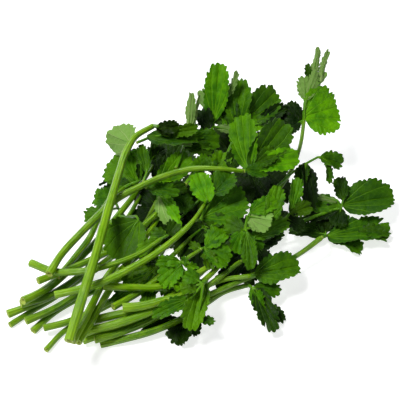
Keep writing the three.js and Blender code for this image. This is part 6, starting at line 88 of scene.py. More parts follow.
  'leaf_09': {'joins': None, 'stalks': [[[35.8, 33.14, 13.06, 1.1], [41.27, 34.51, 18.75, 1.07], [46.98, 36.33, 24.08, 1.03], [52.57, 38.28, 29.49, 0.99], [57.57, 39.68, 35.58, 0.95]]], 'leaflets': [{'shape': 0, 'tone': 0.52, 'root': [57.57, 39.68, 35.58, 0.95], 'net': [[63.64, 33.28, 37.21], [59.85, 37.87, 36.33], [56.03, 42.45, 35.45], [52.16, 47.04, 34.6], [67.1, 37.37, 45.98], [64.29, 43.3, 43.79], [60.49, 47.9, 42.94], [55.67, 51.17, 43.41], [71.97, 43.41, 52.8], [69.63, 49.98, 50.01], [65.85, 54.59, 49.17], [60.6, 57.26, 50.28], [79.07, 52.51, 56.61], [76.53, 58.79, 54.13], [72.76, 63.41, 53.3], [67.75, 66.4, 54.13]]}, {'shape': 0, 'tone': 0.36, 'root': [57.57, 39.68, 35.58, 0.95], 'net': [[65.45, 31.61, 33.58], [63.68, 37.56, 37.16], [61.72, 43.16, 41.08], [59.56, 48.38, 45.34], [73.97, 31.11, 38.24], [72.57, 38.06, 40.91], [70.59, 43.67, 44.85], [68.05, 47.9, 50.03], [82.92, 31.6, 42.01], [81.69, 39.03, 44.26], [79.7, 44.65, 48.2], [76.97, 48.42, 53.82], [92.48, 33.6, 44.41], [91.16, 40.82, 46.88], [89.17, 46.44, 50.83], [86.51, 50.45, 56.25]]}, {'shape': 0, 'tone': 0.3, 'root': [57.57, 39.68, 35.58, 0.95], 'net': [[62.91, 41.05, 40.41], [59.77, 40.7, 37.68], [56.57, 40.28, 35.04], [53.29, 39.81, 32.49], [60.75, 45.96, 42.34], [57.92, 45.86, 39.19], [54.71, 45.45, 36.55], [51.12, 44.72, 34.41], [58.97, 51.21, 43.76], [56.28, 51.23, 40.42], [53.06, 50.82, 37.77], [49.32, 49.97, 35.82], [57.76, 56.98, 44.4], [55.0, 56.94, 41.14], [51.77, 56.53, 38.49], [48.09, 55.74, 36.45]]}, {'shape': 0, 'tone': 0.3, 'root': [57.57, 39.68, 35.58, 0.95], 'net': [[62.16, 39.04, 39.19], [59.18, 40.97, 37.89], [56.13, 42.86, 36.68], [53.02, 44.7, 35.54], [63.0, 43.48, 43.75], [60.44, 45.84, 41.87], [57.39, 47.73, 40.66], [53.86, 49.15, 40.12], [64.56, 48.65, 47.31], [62.19, 51.22, 45.15], [59.14, 53.11, 43.95], [55.41, 54.34, 43.69], [67.24, 54.98, 49.29], [64.77, 57.45, 47.27], [61.72, 59.35, 46.07], [58.08, 60.68, 45.69]]}, {'shape': 1, 'tone': 0.7, 'root': [55.66, 39.25, 32.96, 0.97], 'net': [[56.35, 40.84, 34.95], [54.33, 41.84, 34.46], [52.3, 42.82, 34.02], [50.25, 43.78, 33.62], [57.61, 45.02, 38.66], [55.71, 46.19, 37.93], [53.67, 47.17, 37.49], [51.5, 47.96, 37.33], [59.11, 49.53, 41.91], [57.26, 50.78, 41.06], [55.22, 51.77, 40.62], [52.98, 52.48, 40.58], [60.97, 54.57, 44.42], [59.1, 55.78, 43.63], [57.05, 56.76, 43.19], [54.84, 57.51, 43.1]]}, {'shape': 1, 'tone': 0.86, 'root': [57.57, 39.68, 35.58, 0.95], 'net': [[71.01, 28.03, 34.36], [68.38, 30.99, 34.73], [65.66, 33.83, 35.3], [62.85, 36.54, 36.05], [73.7, 29.9, 37.96], [71.48, 33.42, 37.5], [68.76, 36.26, 38.07], [65.54, 38.42, 39.66], [76.72, 32.2, 40.93], [74.7, 35.99, 40.08], [71.97, 38.84, 40.64], [68.56, 40.73, 42.63], [80.22, 35.15, 42.95], [78.1, 38.82, 42.28], [75.37, 41.67, 42.85], [72.05, 43.69, 44.65]]}, {'shape': 0, 'tone': 0.12, 'root': [57.57, 39.68, 35.58, 0.95], 'net': [[68.7, 29.22, 36.58], [68.98, 32.59, 37.79], [69.17, 35.84, 39.19], [69.29, 38.94, 40.78], [75.01, 27.78, 39.48], [75.47, 31.59, 40.14], [75.69, 34.84, 41.54], [75.66, 37.54, 43.66], [81.54, 26.88, 41.68], [82.1, 30.9, 42.08], [82.34, 34.17, 43.46], [82.26, 36.68, 45.84], [88.4, 26.82, 42.8], [88.95, 30.75, 43.3], [89.21, 34.04, 44.68], [89.19, 36.66, 46.93]]}]},
  'leaf_10': {'joins': 'stem_04', 'stalks': [[[29.92, -1.27, 44.75, 1.18], [31.66, -1.1, 44.13, 1.03], [33.43, -0.95, 43.52, 0.88]]], 'leaflets': [{'shape': 0, 'tone': 0.66, 'root': [33.43, -0.95, 43.52, 0.88], 'net': [[39.89, -6.2, 45.4], [35.78, -2.54, 43.88], [31.46, 1.01, 42.65], [26.92, 4.45, 41.72], [43.67, 1.54, 52.88], [40.42, 5.82, 50.02], [36.09, 9.4, 48.8], [30.67, 12.28, 49.22], [48.34, 9.95, 59.14], [45.49, 14.54, 55.64], [41.15, 18.15, 54.43], [35.31, 20.78, 55.5], [54.33, 19.32, 63.5], [51.28, 23.81, 60.31], [46.93, 27.44, 59.11], [41.27, 30.24, 59.88]]}, {'shape': 0, 'tone': 0.28, 'root': [33.43, -0.95, 43.52, 0.88], 'net': [[40.04, -8.26, 37.97], [36.74, -3.05, 41.88], [33.43, 1.78, 46.11], [30.1, 6.25, 50.66], [51.27, -6.58, 43.04], [48.08, 0.14, 45.39], [44.72, 5.0, 49.64], [41.19, 8.0, 55.78], [62.89, -3.39, 46.64], [59.73, 4.07, 48.26], [56.32, 8.95, 52.53], [52.65, 11.27, 59.44], [74.99, 2.09, 47.97], [71.74, 9.23, 49.97], [68.28, 14.14, 54.26], [64.6, 16.83, 60.83]]}, {'shape': 0, 'tone': 0.92, 'root': [33.43, -0.95, 43.52, 0.88], 'net': [[32.99, -5.85, 41.24], [34.67, -2.0, 43.66], [36.32, 1.75, 46.28], [37.96, 5.41, 49.09], [42.92, -9.33, 41.47], [44.75, -4.94, 43.06], [46.43, -1.18, 45.69], [47.97, 1.96, 49.36], [53.15, -12.16, 40.6], [55.07, -7.52, 41.81], [56.78, -3.74, 44.45], [58.29, -0.84, 48.52], [63.79, -13.98, 38.04], [65.71, -9.44, 39.45], [67.45, -5.65, 42.1], [69.02, -2.61, 45.99]]}, {'shape': 1, 'tone': 0.5, 'root': [31.82, -1.09, 44.07, 1.02], 'net': [[28.95, -4.54, 42.22], [30.91, -2.15, 43.58], [32.88, 0.21, 45.04], [34.83, 2.55, 46.6], [32.42, -7.12, 42.18], [34.49, -4.55, 43.13], [36.46, -2.19, 44.59], [38.34, -0.05, 46.57], [36.04, -9.41, 41.49], [38.16, -6.76, 42.24], [40.14, -4.4, 43.7], [41.99, -2.35, 45.87], [39.88, -11.25, 39.76], [41.98, -8.64, 40.6], [43.97, -6.28, 42.07], [45.85, -4.19, 44.15]]}, {'shape': 0, 'tone': 0.4, 'root': [33.43, -0.95, 43.52, 0.88], 'net': [[36.85, -5.28, 42.13], [36.54, -2.34, 44.07], [36.19, 0.5, 46.13], [35.81, 3.24, 48.32], [42.45, -5.86, 43.96], [42.29, -2.5, 45.34], [41.94, 0.35, 47.41], [41.41, 2.68, 50.16], [48.25, -5.98, 45.18], [48.17, -2.41, 46.3], [47.83, 0.45, 48.37], [47.22, 2.58, 51.4], [54.36, -5.39, 45.47], [54.24, -1.91, 46.73], [53.9, 0.95, 48.8], [53.33, 3.19, 51.71]]}]},
  'leaf_11': {'joins': 'stem_06', 'stalks': [[[25.06, 32.95, 24.04, 1.08], [24.03, 26.01, 30.12, 0.94], [23.14, 18.57, 36.56, 0.79]]], 'leaflets': [{'shape': 0, 'tone': 0.62, 'root': [23.14, 18.57, 36.56, 0.79], 'net': [[28.84, 12.1, 34.12], [26.07, 15.12, 35.06], [23.26, 18.06, 36.1], [20.41, 20.93, 37.23], [31.53, 13.66, 36.77], [28.93, 17.01, 37.26], [26.11, 19.95, 38.3], [23.09, 22.51, 39.89], [34.46, 15.65, 38.85], [31.93, 19.15, 39.13], [29.11, 22.1, 40.17], [26.0, 24.5, 41.97], [37.74, 18.29, 40.03], [35.17, 21.72, 40.41], [32.34, 24.67, 41.45], [29.27, 27.15, 43.15]]}, {'shape': 0, 'tone': 0.6, 'root': [24.39, 28.58, 27.87, 0.99], 'net': [[29.63, 28.15, 28.89], [25.87, 28.58, 27.78], [21.81, 28.63, 27.14], [17.48, 28.29, 26.97], [28.99, 30.18, 31.41], [25.5, 30.82, 29.89], [21.45, 30.87, 29.23], [16.87, 30.32, 29.45], [28.6, 32.4, 33.54], [25.25, 33.15, 31.81], [21.2, 33.2, 31.15], [16.51, 32.55, 31.54], [28.58, 34.91, 35.1], [25.17, 35.62, 33.46], [21.14, 35.68, 32.77], [16.51, 35.09, 33.06]]}, {'shape': 0, 'tone': 0.45, 'root': [23.17, 18.82, 36.35, 0.8], 'net': [[26.67, 17.38, 37.11], [23.88, 18.25, 36.36], [21.06, 19.09, 35.69], [18.22, 19.87, 35.1], [26.99, 19.5, 38.74], [24.34, 20.57, 37.64], [21.52, 21.4, 36.97], [18.53, 21.99, 36.72], [27.45, 21.81, 40.04], [24.85, 22.97, 38.79], [22.03, 23.8, 38.12], [18.97, 24.3, 38.03], [28.1, 24.4, 40.86], [25.47, 25.51, 39.69], [22.64, 26.34, 39.01], [19.62, 26.89, 38.84]]}, {'shape': 0, 'tone': 0.25, 'root': [23.14, 18.57, 36.56, 0.79], 'net': [[33.83, 9.1, 34.37], [31.61, 11.31, 35.14], [29.38, 13.45, 35.99], [27.12, 15.55, 36.91], [36.79, 11.0, 36.9], [34.68, 13.45, 37.32], [32.44, 15.6, 38.17], [30.08, 17.45, 39.45], [39.9, 13.21, 39.01], [37.83, 15.78, 39.26], [35.59, 17.94, 40.11], [33.17, 19.67, 41.56], [43.22, 15.9, 40.46], [41.12, 18.42, 40.79], [38.88, 20.58, 41.64], [36.48, 22.37, 43.01]]}]},
  'leaf_12': {'joins': 'stem_02', 'stalks': [[[-7.06, 35.9, 13.25, 1.02], [-8.86, 32.5, 19.47, 0.9], [-10.81, 28.83, 26.11, 0.78]]], 'leaflets': [{'shape': 0, 'tone': 0.62, 'root': [-10.81, 28.83, 26.11, 0.78], 'net': [[-6.56, 25.29, 25.52], [-7.88, 29.8, 27.81], [-9.04, 34.5, 29.92], [-10.04, 39.43, 31.88], [2.39, 27.1, 27.93], [1.26, 32.19, 29.45], [0.11, 36.93, 31.57], [-1.07, 41.35, 34.33], [11.73, 29.57, 29.5], [10.69, 34.96, 30.66], [9.55, 39.74, 32.79], [8.3, 43.94, 35.93], [21.59, 33.07, 29.71], [20.49, 38.36, 31.07], [19.37, 43.18, 33.21], [18.19, 47.58, 36.16]]}, {'shape': 1, 'tone': 0.85, 'root': [-10.81, 28.83, 26.11, 0.78], 'net': [[-18.28, 28.22, 25.45], [-13.32, 27.81, 25.85], [-8.57, 27.22, 26.75], [-4.07, 26.47, 28.14], [-20.83, 18.48, 25.22], [-15.18, 18.18, 24.07], [-10.48, 17.59, 24.95], [-6.74, 16.73, 27.85], [-22.86, 9.09, 24.07], [-16.9, 8.84, 22.18], [-12.24, 8.24, 23.03], [-8.9, 7.33, 26.64], [-24.17, 0.06, 21.55], [-18.42, -0.22, 19.98], [-13.79, -0.82, 20.81], [-10.32, -1.7, 24.05]]}, {'shape': 0, 'tone': 0.3, 'root': [-10.81, 28.83, 26.11, 0.78], 'net': [[-13.28, 22.07, 25.59], [-9.18, 24.57, 26.03], [-5.06, 26.98, 26.68], [-0.93, 29.31, 27.54], [-10.74, 17.27, 24.37], [-6.6, 20.03, 24.14], [-2.48, 22.42, 24.78], [1.63, 24.42, 26.3], [-8.17, 12.79, 22.45], [-4.01, 15.67, 21.9], [0.12, 18.03, 22.54], [4.22, 19.87, 24.37], [-5.55, 8.81, 19.47], [-1.39, 11.6, 19.07], [2.75, 13.93, 19.7], [6.87, 15.81, 21.37]]}, {'shape': 0, 'tone': 0.9, 'root': [-10.81, 28.83, 26.11, 0.78], 'net': [[-13.39, 32.3, 29.42], [-12.15, 34.07, 30.37], [-10.93, 35.82, 31.4], [-9.72, 37.56, 32.49], [-9.74, 29.54, 29.62], [-8.42, 31.42, 30.29], [-7.19, 33.17, 31.31], [-6.06, 34.79, 32.7], [-5.96, 26.96, 29.37], [-4.59, 28.9, 29.89], [-3.36, 30.64, 30.92], [-2.26, 32.2, 32.44], [-1.97, 24.67, 28.38], [-0.61, 26.58, 28.97], [0.62, 28.32, 29.99], [1.75, 29.9, 31.45]]}, {'shape': 0, 'tone': 0.25, 'root': [-10.81, 28.83, 26.11, 0.78], 'net': [[-10.9, 24.97, 25.17], [-9.85, 27.54, 26.32], [-8.83, 30.1, 27.56], [-7.82, 32.63, 28.89], [-6.13, 22.76, 26.03], [-4.98, 25.47, 26.8], [-3.94, 28.03, 28.04], [-3.03, 30.43, 29.75], [-1.21, 20.76, 26.32], [-0.0, 23.53, 26.91], [1.05, 26.08, 28.16], [1.93, 28.41, 30.05], [3.96, 19.07, 25.74], [5.15, 21.81, 26.42], [6.21, 24.36, 27.66], [7.12, 26.72, 29.47]]}]},
  'leaf_13': {'joins': 'stem_04', 'stalks': [[[-21.03, 25.76, 39.24, 0.82], [-19.04, 26.68, 37.23, 0.73], [-17.04, 27.58, 35.22, 0.64]]], 'leaflets': [{'shape': 2, 'tone': 0.55, 'root': [-18.6, 26.88, 36.79, 0.71], 'net': [[-21.81, 23.74, 34.37], [-19.78, 25.93, 35.78], [-17.77, 28.09, 37.31], [-15.78, 30.22, 38.95], [-17.61, 19.54, 34.37], [-15.43, 21.92, 35.3], [-13.42, 24.07, 36.83], [-11.57, 25.99, 38.95], [-13.21, 15.65, 33.65], [-10.95, 18.12, 34.35], [-8.93, 20.26, 35.87], [-7.14, 22.07, 38.22], [-8.46, 12.24, 31.8], [-6.23, 14.66, 32.6], [-4.2, 16.79, 34.13], [-2.38, 18.64, 36.36]]}]},
  'leaf_14': {'joins': 'stem_09', 'stalks': [[[0.83, -2.05, 34.49, 0.87], [1.51, -2.42, 36.17, 0.78], [2.22, -2.82, 37.95, 0.7]]], 'leaflets': [{'shape': 1, 'tone': 0.82, 'root': [1.87, -2.62, 37.07, 0.74], 'net': [[8.88, -6.08, 38.76], [4.7, -4.24, 37.22], [0.42, -2.48, 35.91], [-3.98, -0.81, 34.83], [10.26, -0.44, 41.76], [6.51, 1.73, 39.23], [2.19, 3.47, 37.95], [-2.7, 4.78, 37.9], [12.03, 5.55, 44.01], [8.45, 7.87, 41.04], [4.09, 9.6, 39.77], [-1.05, 10.72, 40.22], [14.36, 12.04, 45.15], [10.62, 14.25, 42.44], [6.22, 15.95, 41.2], [1.15, 17.15, 41.43]]}]},
  'leaf_15': {'joins': 'stem_09', 'stalks': [[[-9.88, -8.56, 32.74, 0.81], [-7.26, -6.97, 30.26, 0.75], [-4.63, -5.38, 27.79, 0.69]]], 'leaflets': [{'shape': 0, 'tone': 0.42, 'root': [-4.63, -5.38, 27.79, 0.69], 'net': [[-5.3, -16.95, 25.91], [-3.38, -9.2, 27.77], [-1.66, -1.69, 30.22], [-0.15, 5.57, 33.22], [4.08, -18.62, 27.45], [6.19, -10.4, 28.52], [7.94, -2.89, 31.02], [9.36, 3.88, 34.93], [13.75, -19.8, 28.09], [15.96, -11.35, 28.82], [17.76, -3.84, 31.37], [19.16, 2.7, 35.73], [23.79, -20.19, 27.34], [26.01, -11.86, 28.33], [27.85, -4.35, 30.93], [29.33, 2.31, 35.13]]}, {'shape': 0, 'tone': 0.45, 'root': [-4.63, -5.38, 27.79, 0.69], 'net': [[9.75, -9.25, 36.99], [8.74, -4.1, 37.9], [7.84, 1.24, 38.7], [7.03, 6.81, 39.4], [14.49, -8.34, 39.41], [13.71, -2.88, 39.75], [12.83, 2.48, 40.55], [11.83, 7.77, 41.84], [19.49, -7.12, 41.23], [18.84, -1.49, 41.3], [17.97, 3.89, 42.11], [16.88, 9.05, 43.69], [24.88, -5.4, 42.14], [24.19, 0.18, 42.34], [23.35, 5.58, 43.16], [22.34, 10.83, 44.61]]}, {'shape': 0, 'tone': 0.3, 'root': [-4.63, -5.38, 27.79, 0.69], 'net': [[-6.75, -10.0, 27.06], [-4.74, -7.41, 27.55], [-2.79, -4.9, 28.23], [-0.88, -2.47, 29.08], [-3.05, -13.4, 27.53], [-0.93, -10.69, 27.64], [1.04, -8.19, 28.31], [2.87, -5.88, 29.52], [0.77, -16.61, 27.46], [2.95, -13.85, 27.38], [4.94, -11.35, 28.04], [6.74, -9.11, 29.42], [4.78, -19.54, 26.56], [6.96, -16.81, 26.55], [8.97, -14.31, 27.19], [10.8, -12.05, 28.49]]}]},
  'leaf_16': {'joins': 'stem_10', 'stalks': [[[9.24, -24.16, 18.74, 1.15], [9.17, -26.91, 25.12, 1.01], [9.23, -29.78, 31.93, 0.86]]], 'leaflets': [{'shape': 0, 'tone': 0.95, 'root': [9.23, -29.78, 31.93, 0.86], 'net': [[18.5, -21.65, 40.62], [14.85, -24.85, 38.51], [11.3, -27.96, 36.24], [7.84, -30.97, 33.82], [21.86, -25.14, 39.79], [17.94, -28.59, 38.45], [14.38, -31.68, 36.19], [11.18, -34.41, 33.0], [24.98, -28.85, 39.63], [20.91, -32.41, 38.67], [17.35, -35.49, 36.41], [14.28, -38.07, 32.85], [27.72, -32.9, 40.5], [23.71, -36.39, 39.36], [20.14, -39.45, 37.11], [17.0, -42.08, 33.73]]}, {'shape': 0, 'tone': 0.62, 'root': [9.23, -29.78, 31.93, 0.86], 'net': [[25.1, -39.18, 32.1], [22.43, -36.81, 33.14], [19.73, -34.57, 34.36], [17.01, -32.48, 35.75], [30.56, -35.82, 36.32], [28.0, -32.84, 36.54], [25.29, -30.61, 37.75], [22.42, -29.11, 39.97], [36.18, -31.99, 39.99], [33.67, -28.72, 39.82], [30.94, -26.48, 41.04], [27.99, -25.27, 43.64], [42.0, -27.48, 42.84], [39.44, -24.35, 42.86], [36.7, -22.1, 44.07], [33.76, -20.75, 46.49]]}, {'shape': 0, 'tone': 0.62, 'root': [9.18, -28.18, 28.12, 0.94], 'net': [[11.33, -38.45, 23.47], [11.68, -34.93, 25.02], [12.03, -31.46, 26.75], [12.36, -28.06, 28.65], [20.03, -38.95, 24.41], [20.43, -35.11, 25.29], [20.79, -31.63, 27.02], [21.11, -28.5, 29.62], [28.92, -39.03, 24.38], [29.35, -35.03, 24.95], [29.72, -31.53, 26.7], [30.05, -28.53, 29.63], [38.02, -38.45, 22.85], [38.47, -34.5, 23.58], [38.86, -30.98, 25.35], [39.21, -27.89, 28.14]]}, {'shape': 0, 'tone': 0.5, 'root': [9.23, -29.78, 31.93, 0.86], 'net': [[5.18, -29.08, 30.64], [7.9, -30.79, 30.84], [10.59, -32.52, 31.17], [13.24, -34.26, 31.64], [1.1, -35.62, 29.31], [3.93, -37.23, 28.92], [6.6, -38.94, 29.25], [9.11, -40.76, 30.31], [-2.67, -41.87, 27.04], [0.2, -43.42, 26.36], [2.85, -45.12, 26.69], [5.28, -46.97, 28.03], [-6.01, -47.76, 23.26], [-3.19, -49.31, 22.71], [-0.56, -51.0, 23.03], [1.88, -52.81, 24.24]]}, {'shape': 0, 'tone': 0.45, 'root': [9.18, -28.56, 29.01, 0.92], 'net': [[13.8, -25.59, 32.13], [10.9, -27.05, 30.27], [7.95, -28.54, 28.55], [4.94, -30.09, 26.96], [11.96, -22.23, 32.82], [9.29, -23.56, 30.52], [6.33, -25.07, 28.8], [3.09, -26.76, 27.64], [10.36, -18.71, 33.05], [7.78, -19.98, 30.55], [4.82, -21.5, 28.82], [1.46, -23.27, 27.87], [9.1, -14.95, 32.59], [6.47, -16.27, 30.19], [3.5, -17.8, 28.46], [0.2, -19.55, 27.41]]}, {'shape': 0, 'tone': 0.7, 'root': [9.18, -28.56, 29.01, 0.92], 'net': [[5.23, -23.71, 29.95], [7.49, -26.53, 29.41], [9.65, -29.43, 29.09], [11.7, -32.41, 28.97], [1.7, -26.35, 28.79], [4.25, -28.98, 27.56], [6.41, -31.87, 27.23], [8.17, -35.0, 27.79], [-1.48, -28.78, 26.88], [1.21, -31.31, 25.31], [3.37, -34.18, 24.98], [5.0, -37.38, 25.87], [-4.14, -30.89, 23.81], [-1.51, -33.45, 22.39], [0.65, -36.3, 22.05], [2.35, -39.44, 22.78]]}, {'shape': 0, 'tone': 0.45, 'root': [9.17, -27.05, 25.43, 1.0], 'net': [[6.61, -32.49, 23.0], [9.32, -30.93, 23.71], [12.04, -29.38, 24.51], [14.78, -27.85, 25.42], [8.29, -35.67, 22.66], [11.06, -34.0, 22.95], [13.78, -32.46, 23.75], [16.47, -31.06, 25.07], [10.03, -38.71, 21.87], [12.82, -36.99, 21.96], [15.55, -35.46, 22.76], [18.21, -34.12, 24.27], [11.84, -41.53, 20.38], [14.62, -39.85, 20.56], [17.35, -38.33, 21.36], [20.03, -36.98, 22.78]]}, {'shape': 0, 'tone': 0.75, 'root': [9.23, -29.78, 31.93, 0.86], 'net': [[14.84, -30.46, 36.28], [15.3, -27.45, 37.92], [15.71, -24.51, 39.69], [16.09, -21.63, 41.6], [20.09, -31.76, 37.63], [20.73, -28.43, 38.71], [21.15, -25.48, 40.48], [21.35, -22.92, 42.96], [25.56, -32.71, 38.36], [26.29, -29.22, 39.17], [26.72, -26.27, 40.96], [26.85, -23.86, 43.71], [31.37, -33.11, 38.13], [32.07, -29.69, 39.08], [32.5, -26.74, 40.87], [32.68, -24.25, 43.49]]}]},
  'leaf_17': {'joins': 'stem_11', 'stalks': [[[-17.16, -23.18, 25.61, 0.91], [-15.68, -22.8, 25.06, 0.82], [-14.19, -22.4, 24.49, 0.73]]], 'leaflets': [{'shape': 0, 'tone': 0.48, 'root': [-14.39, -22.46, 24.57, 0.74], 'net': [[-21.79, -26.78, 23.68], [-16.83, -23.96, 24.26], [-11.81, -21.15, 25.02], [-6.71, -18.33, 25.97], [-19.55, -31.76, 23.13], [-14.48, -28.7, 22.88], [-9.44, -25.91, 23.62], [-4.43, -23.4, 25.38], [-17.22, -36.46, 21.83], [-12.09, -33.29, 21.17], [-7.05, -30.53, 21.9], [-2.07, -28.17, 24.03], [-14.75, -40.75, 19.38], [-9.64, -37.67, 18.89], [-4.58, -34.94, 19.6], [0.42, -32.54, 21.52]]}, {'shape': 0, 'tone': 0.58, 'root': [-14.19, -22.4, 24.49, 0.73], 'net': [[-13.82, -28.89, 24.25], [-13.46, -24.41, 24.4], [-12.97, -19.68, 24.37], [-12.34, -14.7, 24.18], [-8.31, -28.39, 25.51], [-7.79, -23.69, 25.2], [-7.27, -18.95, 25.18], [-6.75, -14.14, 25.46], [-2.58, -27.66, 26.21], [-1.97, -22.85, 25.69], [-1.41, -18.09, 25.68], [-0.93, -13.35, 26.19], [3.49, -26.55, 26.02], [4.09, -21.77, 25.62], [4.67, -16.99, 25.61], [5.23, -12.19, 26.02]]}, {'shape': 0, 'tone': 0.4, 'root': [-16.0, -22.88, 25.18, 0.84], 'net': [[-14.09, -20.34, 26.31], [-15.42, -21.52, 25.67], [-16.75, -22.71, 25.1], [-18.1, -23.9, 24.57], [-15.68, -18.31, 26.53], [-16.94, -19.45, 25.65], [-18.28, -20.64, 25.07], [-19.68, -21.88, 24.79], [-17.19, -16.22, 26.44], [-18.42, -17.34, 25.45], [-19.76, -18.54, 24.87], [-21.19, -19.81, 24.7], [-18.59, -14.03, 25.89], [-19.83, -15.17, 24.95], [-21.17, -16.37, 24.37], [-22.58, -17.63, 24.15]]}, {'shape': 0, 'tone': 0.4, 'root': [-14.44, -22.47, 24.59, 0.75], 'net': [[-19.0, -23.54, 24.14], [-15.81, -24.08, 23.8], [-12.65, -24.67, 23.61], [-9.52, -25.33, 23.55], [-20.65, -27.42, 24.02], [-17.41, -27.86, 23.27], [-14.26, -28.46, 23.06], [-11.21, -29.2, 23.4], [-22.2, -31.15, 23.44], [-18.94, -31.54, 22.49], [-15.81, -32.13, 22.28], [-12.8, -32.92, 22.8], [-23.62, -34.67, 22.17], [-20.39, -35.07, 21.3], [-17.26, -35.66, 21.07], [-14.25, -36.42, 21.49]]}]},
  'leaf_18': {'joins': 'stem_08', 'stalks': [[[-34.0, 36.07, 15.11, 0.88], [-34.96, 28.3, 21.18, 0.82], [-35.68, 20.76, 27.56, 0.77], [-36.22, 13.45, 34.22, 0.7]]], 'leaflets': [{'shape': 0, 'tone': 0.34, 'root': [-36.22, 13.45, 34.22, 0.7], 'net': [[-39.62, 22.05, 36.38], [-36.96, 14.8, 34.23], [-34.36, 7.64, 32.21], [-31.8, 0.55, 30.33], [-48.13, 18.84, 33.94], [-45.17, 11.88, 30.96], [-42.55, 4.77, 28.96], [-40.26, -2.49, 27.93], [-56.15, 15.95, 30.53], [-53.04, 9.16, 27.16], [-50.4, 2.11, 25.17], [-48.24, -5.22, 24.56], [-63.5, 13.54, 25.58], [-60.44, 6.76, 22.4], [-57.79, -0.23, 20.42], [-55.55, -7.46, 19.62]]}]},
  'leaf_19': {'joins': 'stem_05', 'stalks': [[[-32.83, -7.19, 30.63, 0.85], [-30.94, -7.2, 30.58, 0.77], [-29.04, -7.22, 30.56, 0.68]]], 'leaflets': [{'shape': 0, 'tone': 0.58, 'root': [-32.83, -7.19, 30.63, 0.85], 'net': [[-33.68, -2.74, 31.9], [-33.85, -5.85, 30.86], [-34.06, -8.96, 29.92], [-34.29, -12.09, 29.11], [-38.6, -2.47, 31.08], [-38.6, -5.44, 29.54], [-38.8, -8.55, 28.61], [-39.18, -11.81, 28.29], [-43.31, -2.05, 29.68], [-43.23, -4.95, 27.91], [-43.41, -8.05, 26.99], [-43.86, -11.38, 26.91], [-47.72, -1.39, 27.4], [-47.66, -4.31, 25.75], [-47.83, -7.41, 24.84], [-48.24, -10.7, 24.65]]}, {'shape': 2, 'tone': 0.4, 'root': [-29.3, -7.22, 30.56, 0.69], 'net': [[-26.76, -3.01, 33.06], [-28.43, -5.39, 31.64], [-30.13, -7.79, 30.31], [-31.84, -10.22, 29.09], [-29.33, -1.41, 33.43], [-30.89, -3.64, 31.61], [-32.57, -6.04, 30.28], [-34.39, -8.63, 29.46], [-31.79, 0.35, 33.41], [-33.29, -1.81, 31.4], [-34.97, -4.22, 30.08], [-36.84, -6.88, 29.44], [-34.08, 2.34, 32.8], [-35.6, 0.14, 30.89], [-37.28, -2.28, 29.57], [-39.11, -4.91, 28.84]]}, {'shape': 0, 'tone': 0.25, 'root': [-29.04, -7.22, 30.56, 0.68], 'net': [[-26.52, -11.07, 29.38], [-27.7, -8.45, 30.34], [-28.91, -5.87, 31.39], [-30.13, -3.33, 32.52], [-23.88, -10.33, 30.8], [-24.97, -7.52, 31.41], [-26.17, -4.94, 32.46], [-27.49, -2.58, 33.95], [-21.13, -9.39, 31.86], [-22.18, -6.49, 32.3], [-23.38, -3.9, 33.36], [-24.75, -1.63, 35.02], [-18.23, -8.15, 32.36], [-19.29, -5.29, 32.89], [-20.5, -2.69, 33.95], [-21.84, -0.38, 35.53]]}]},
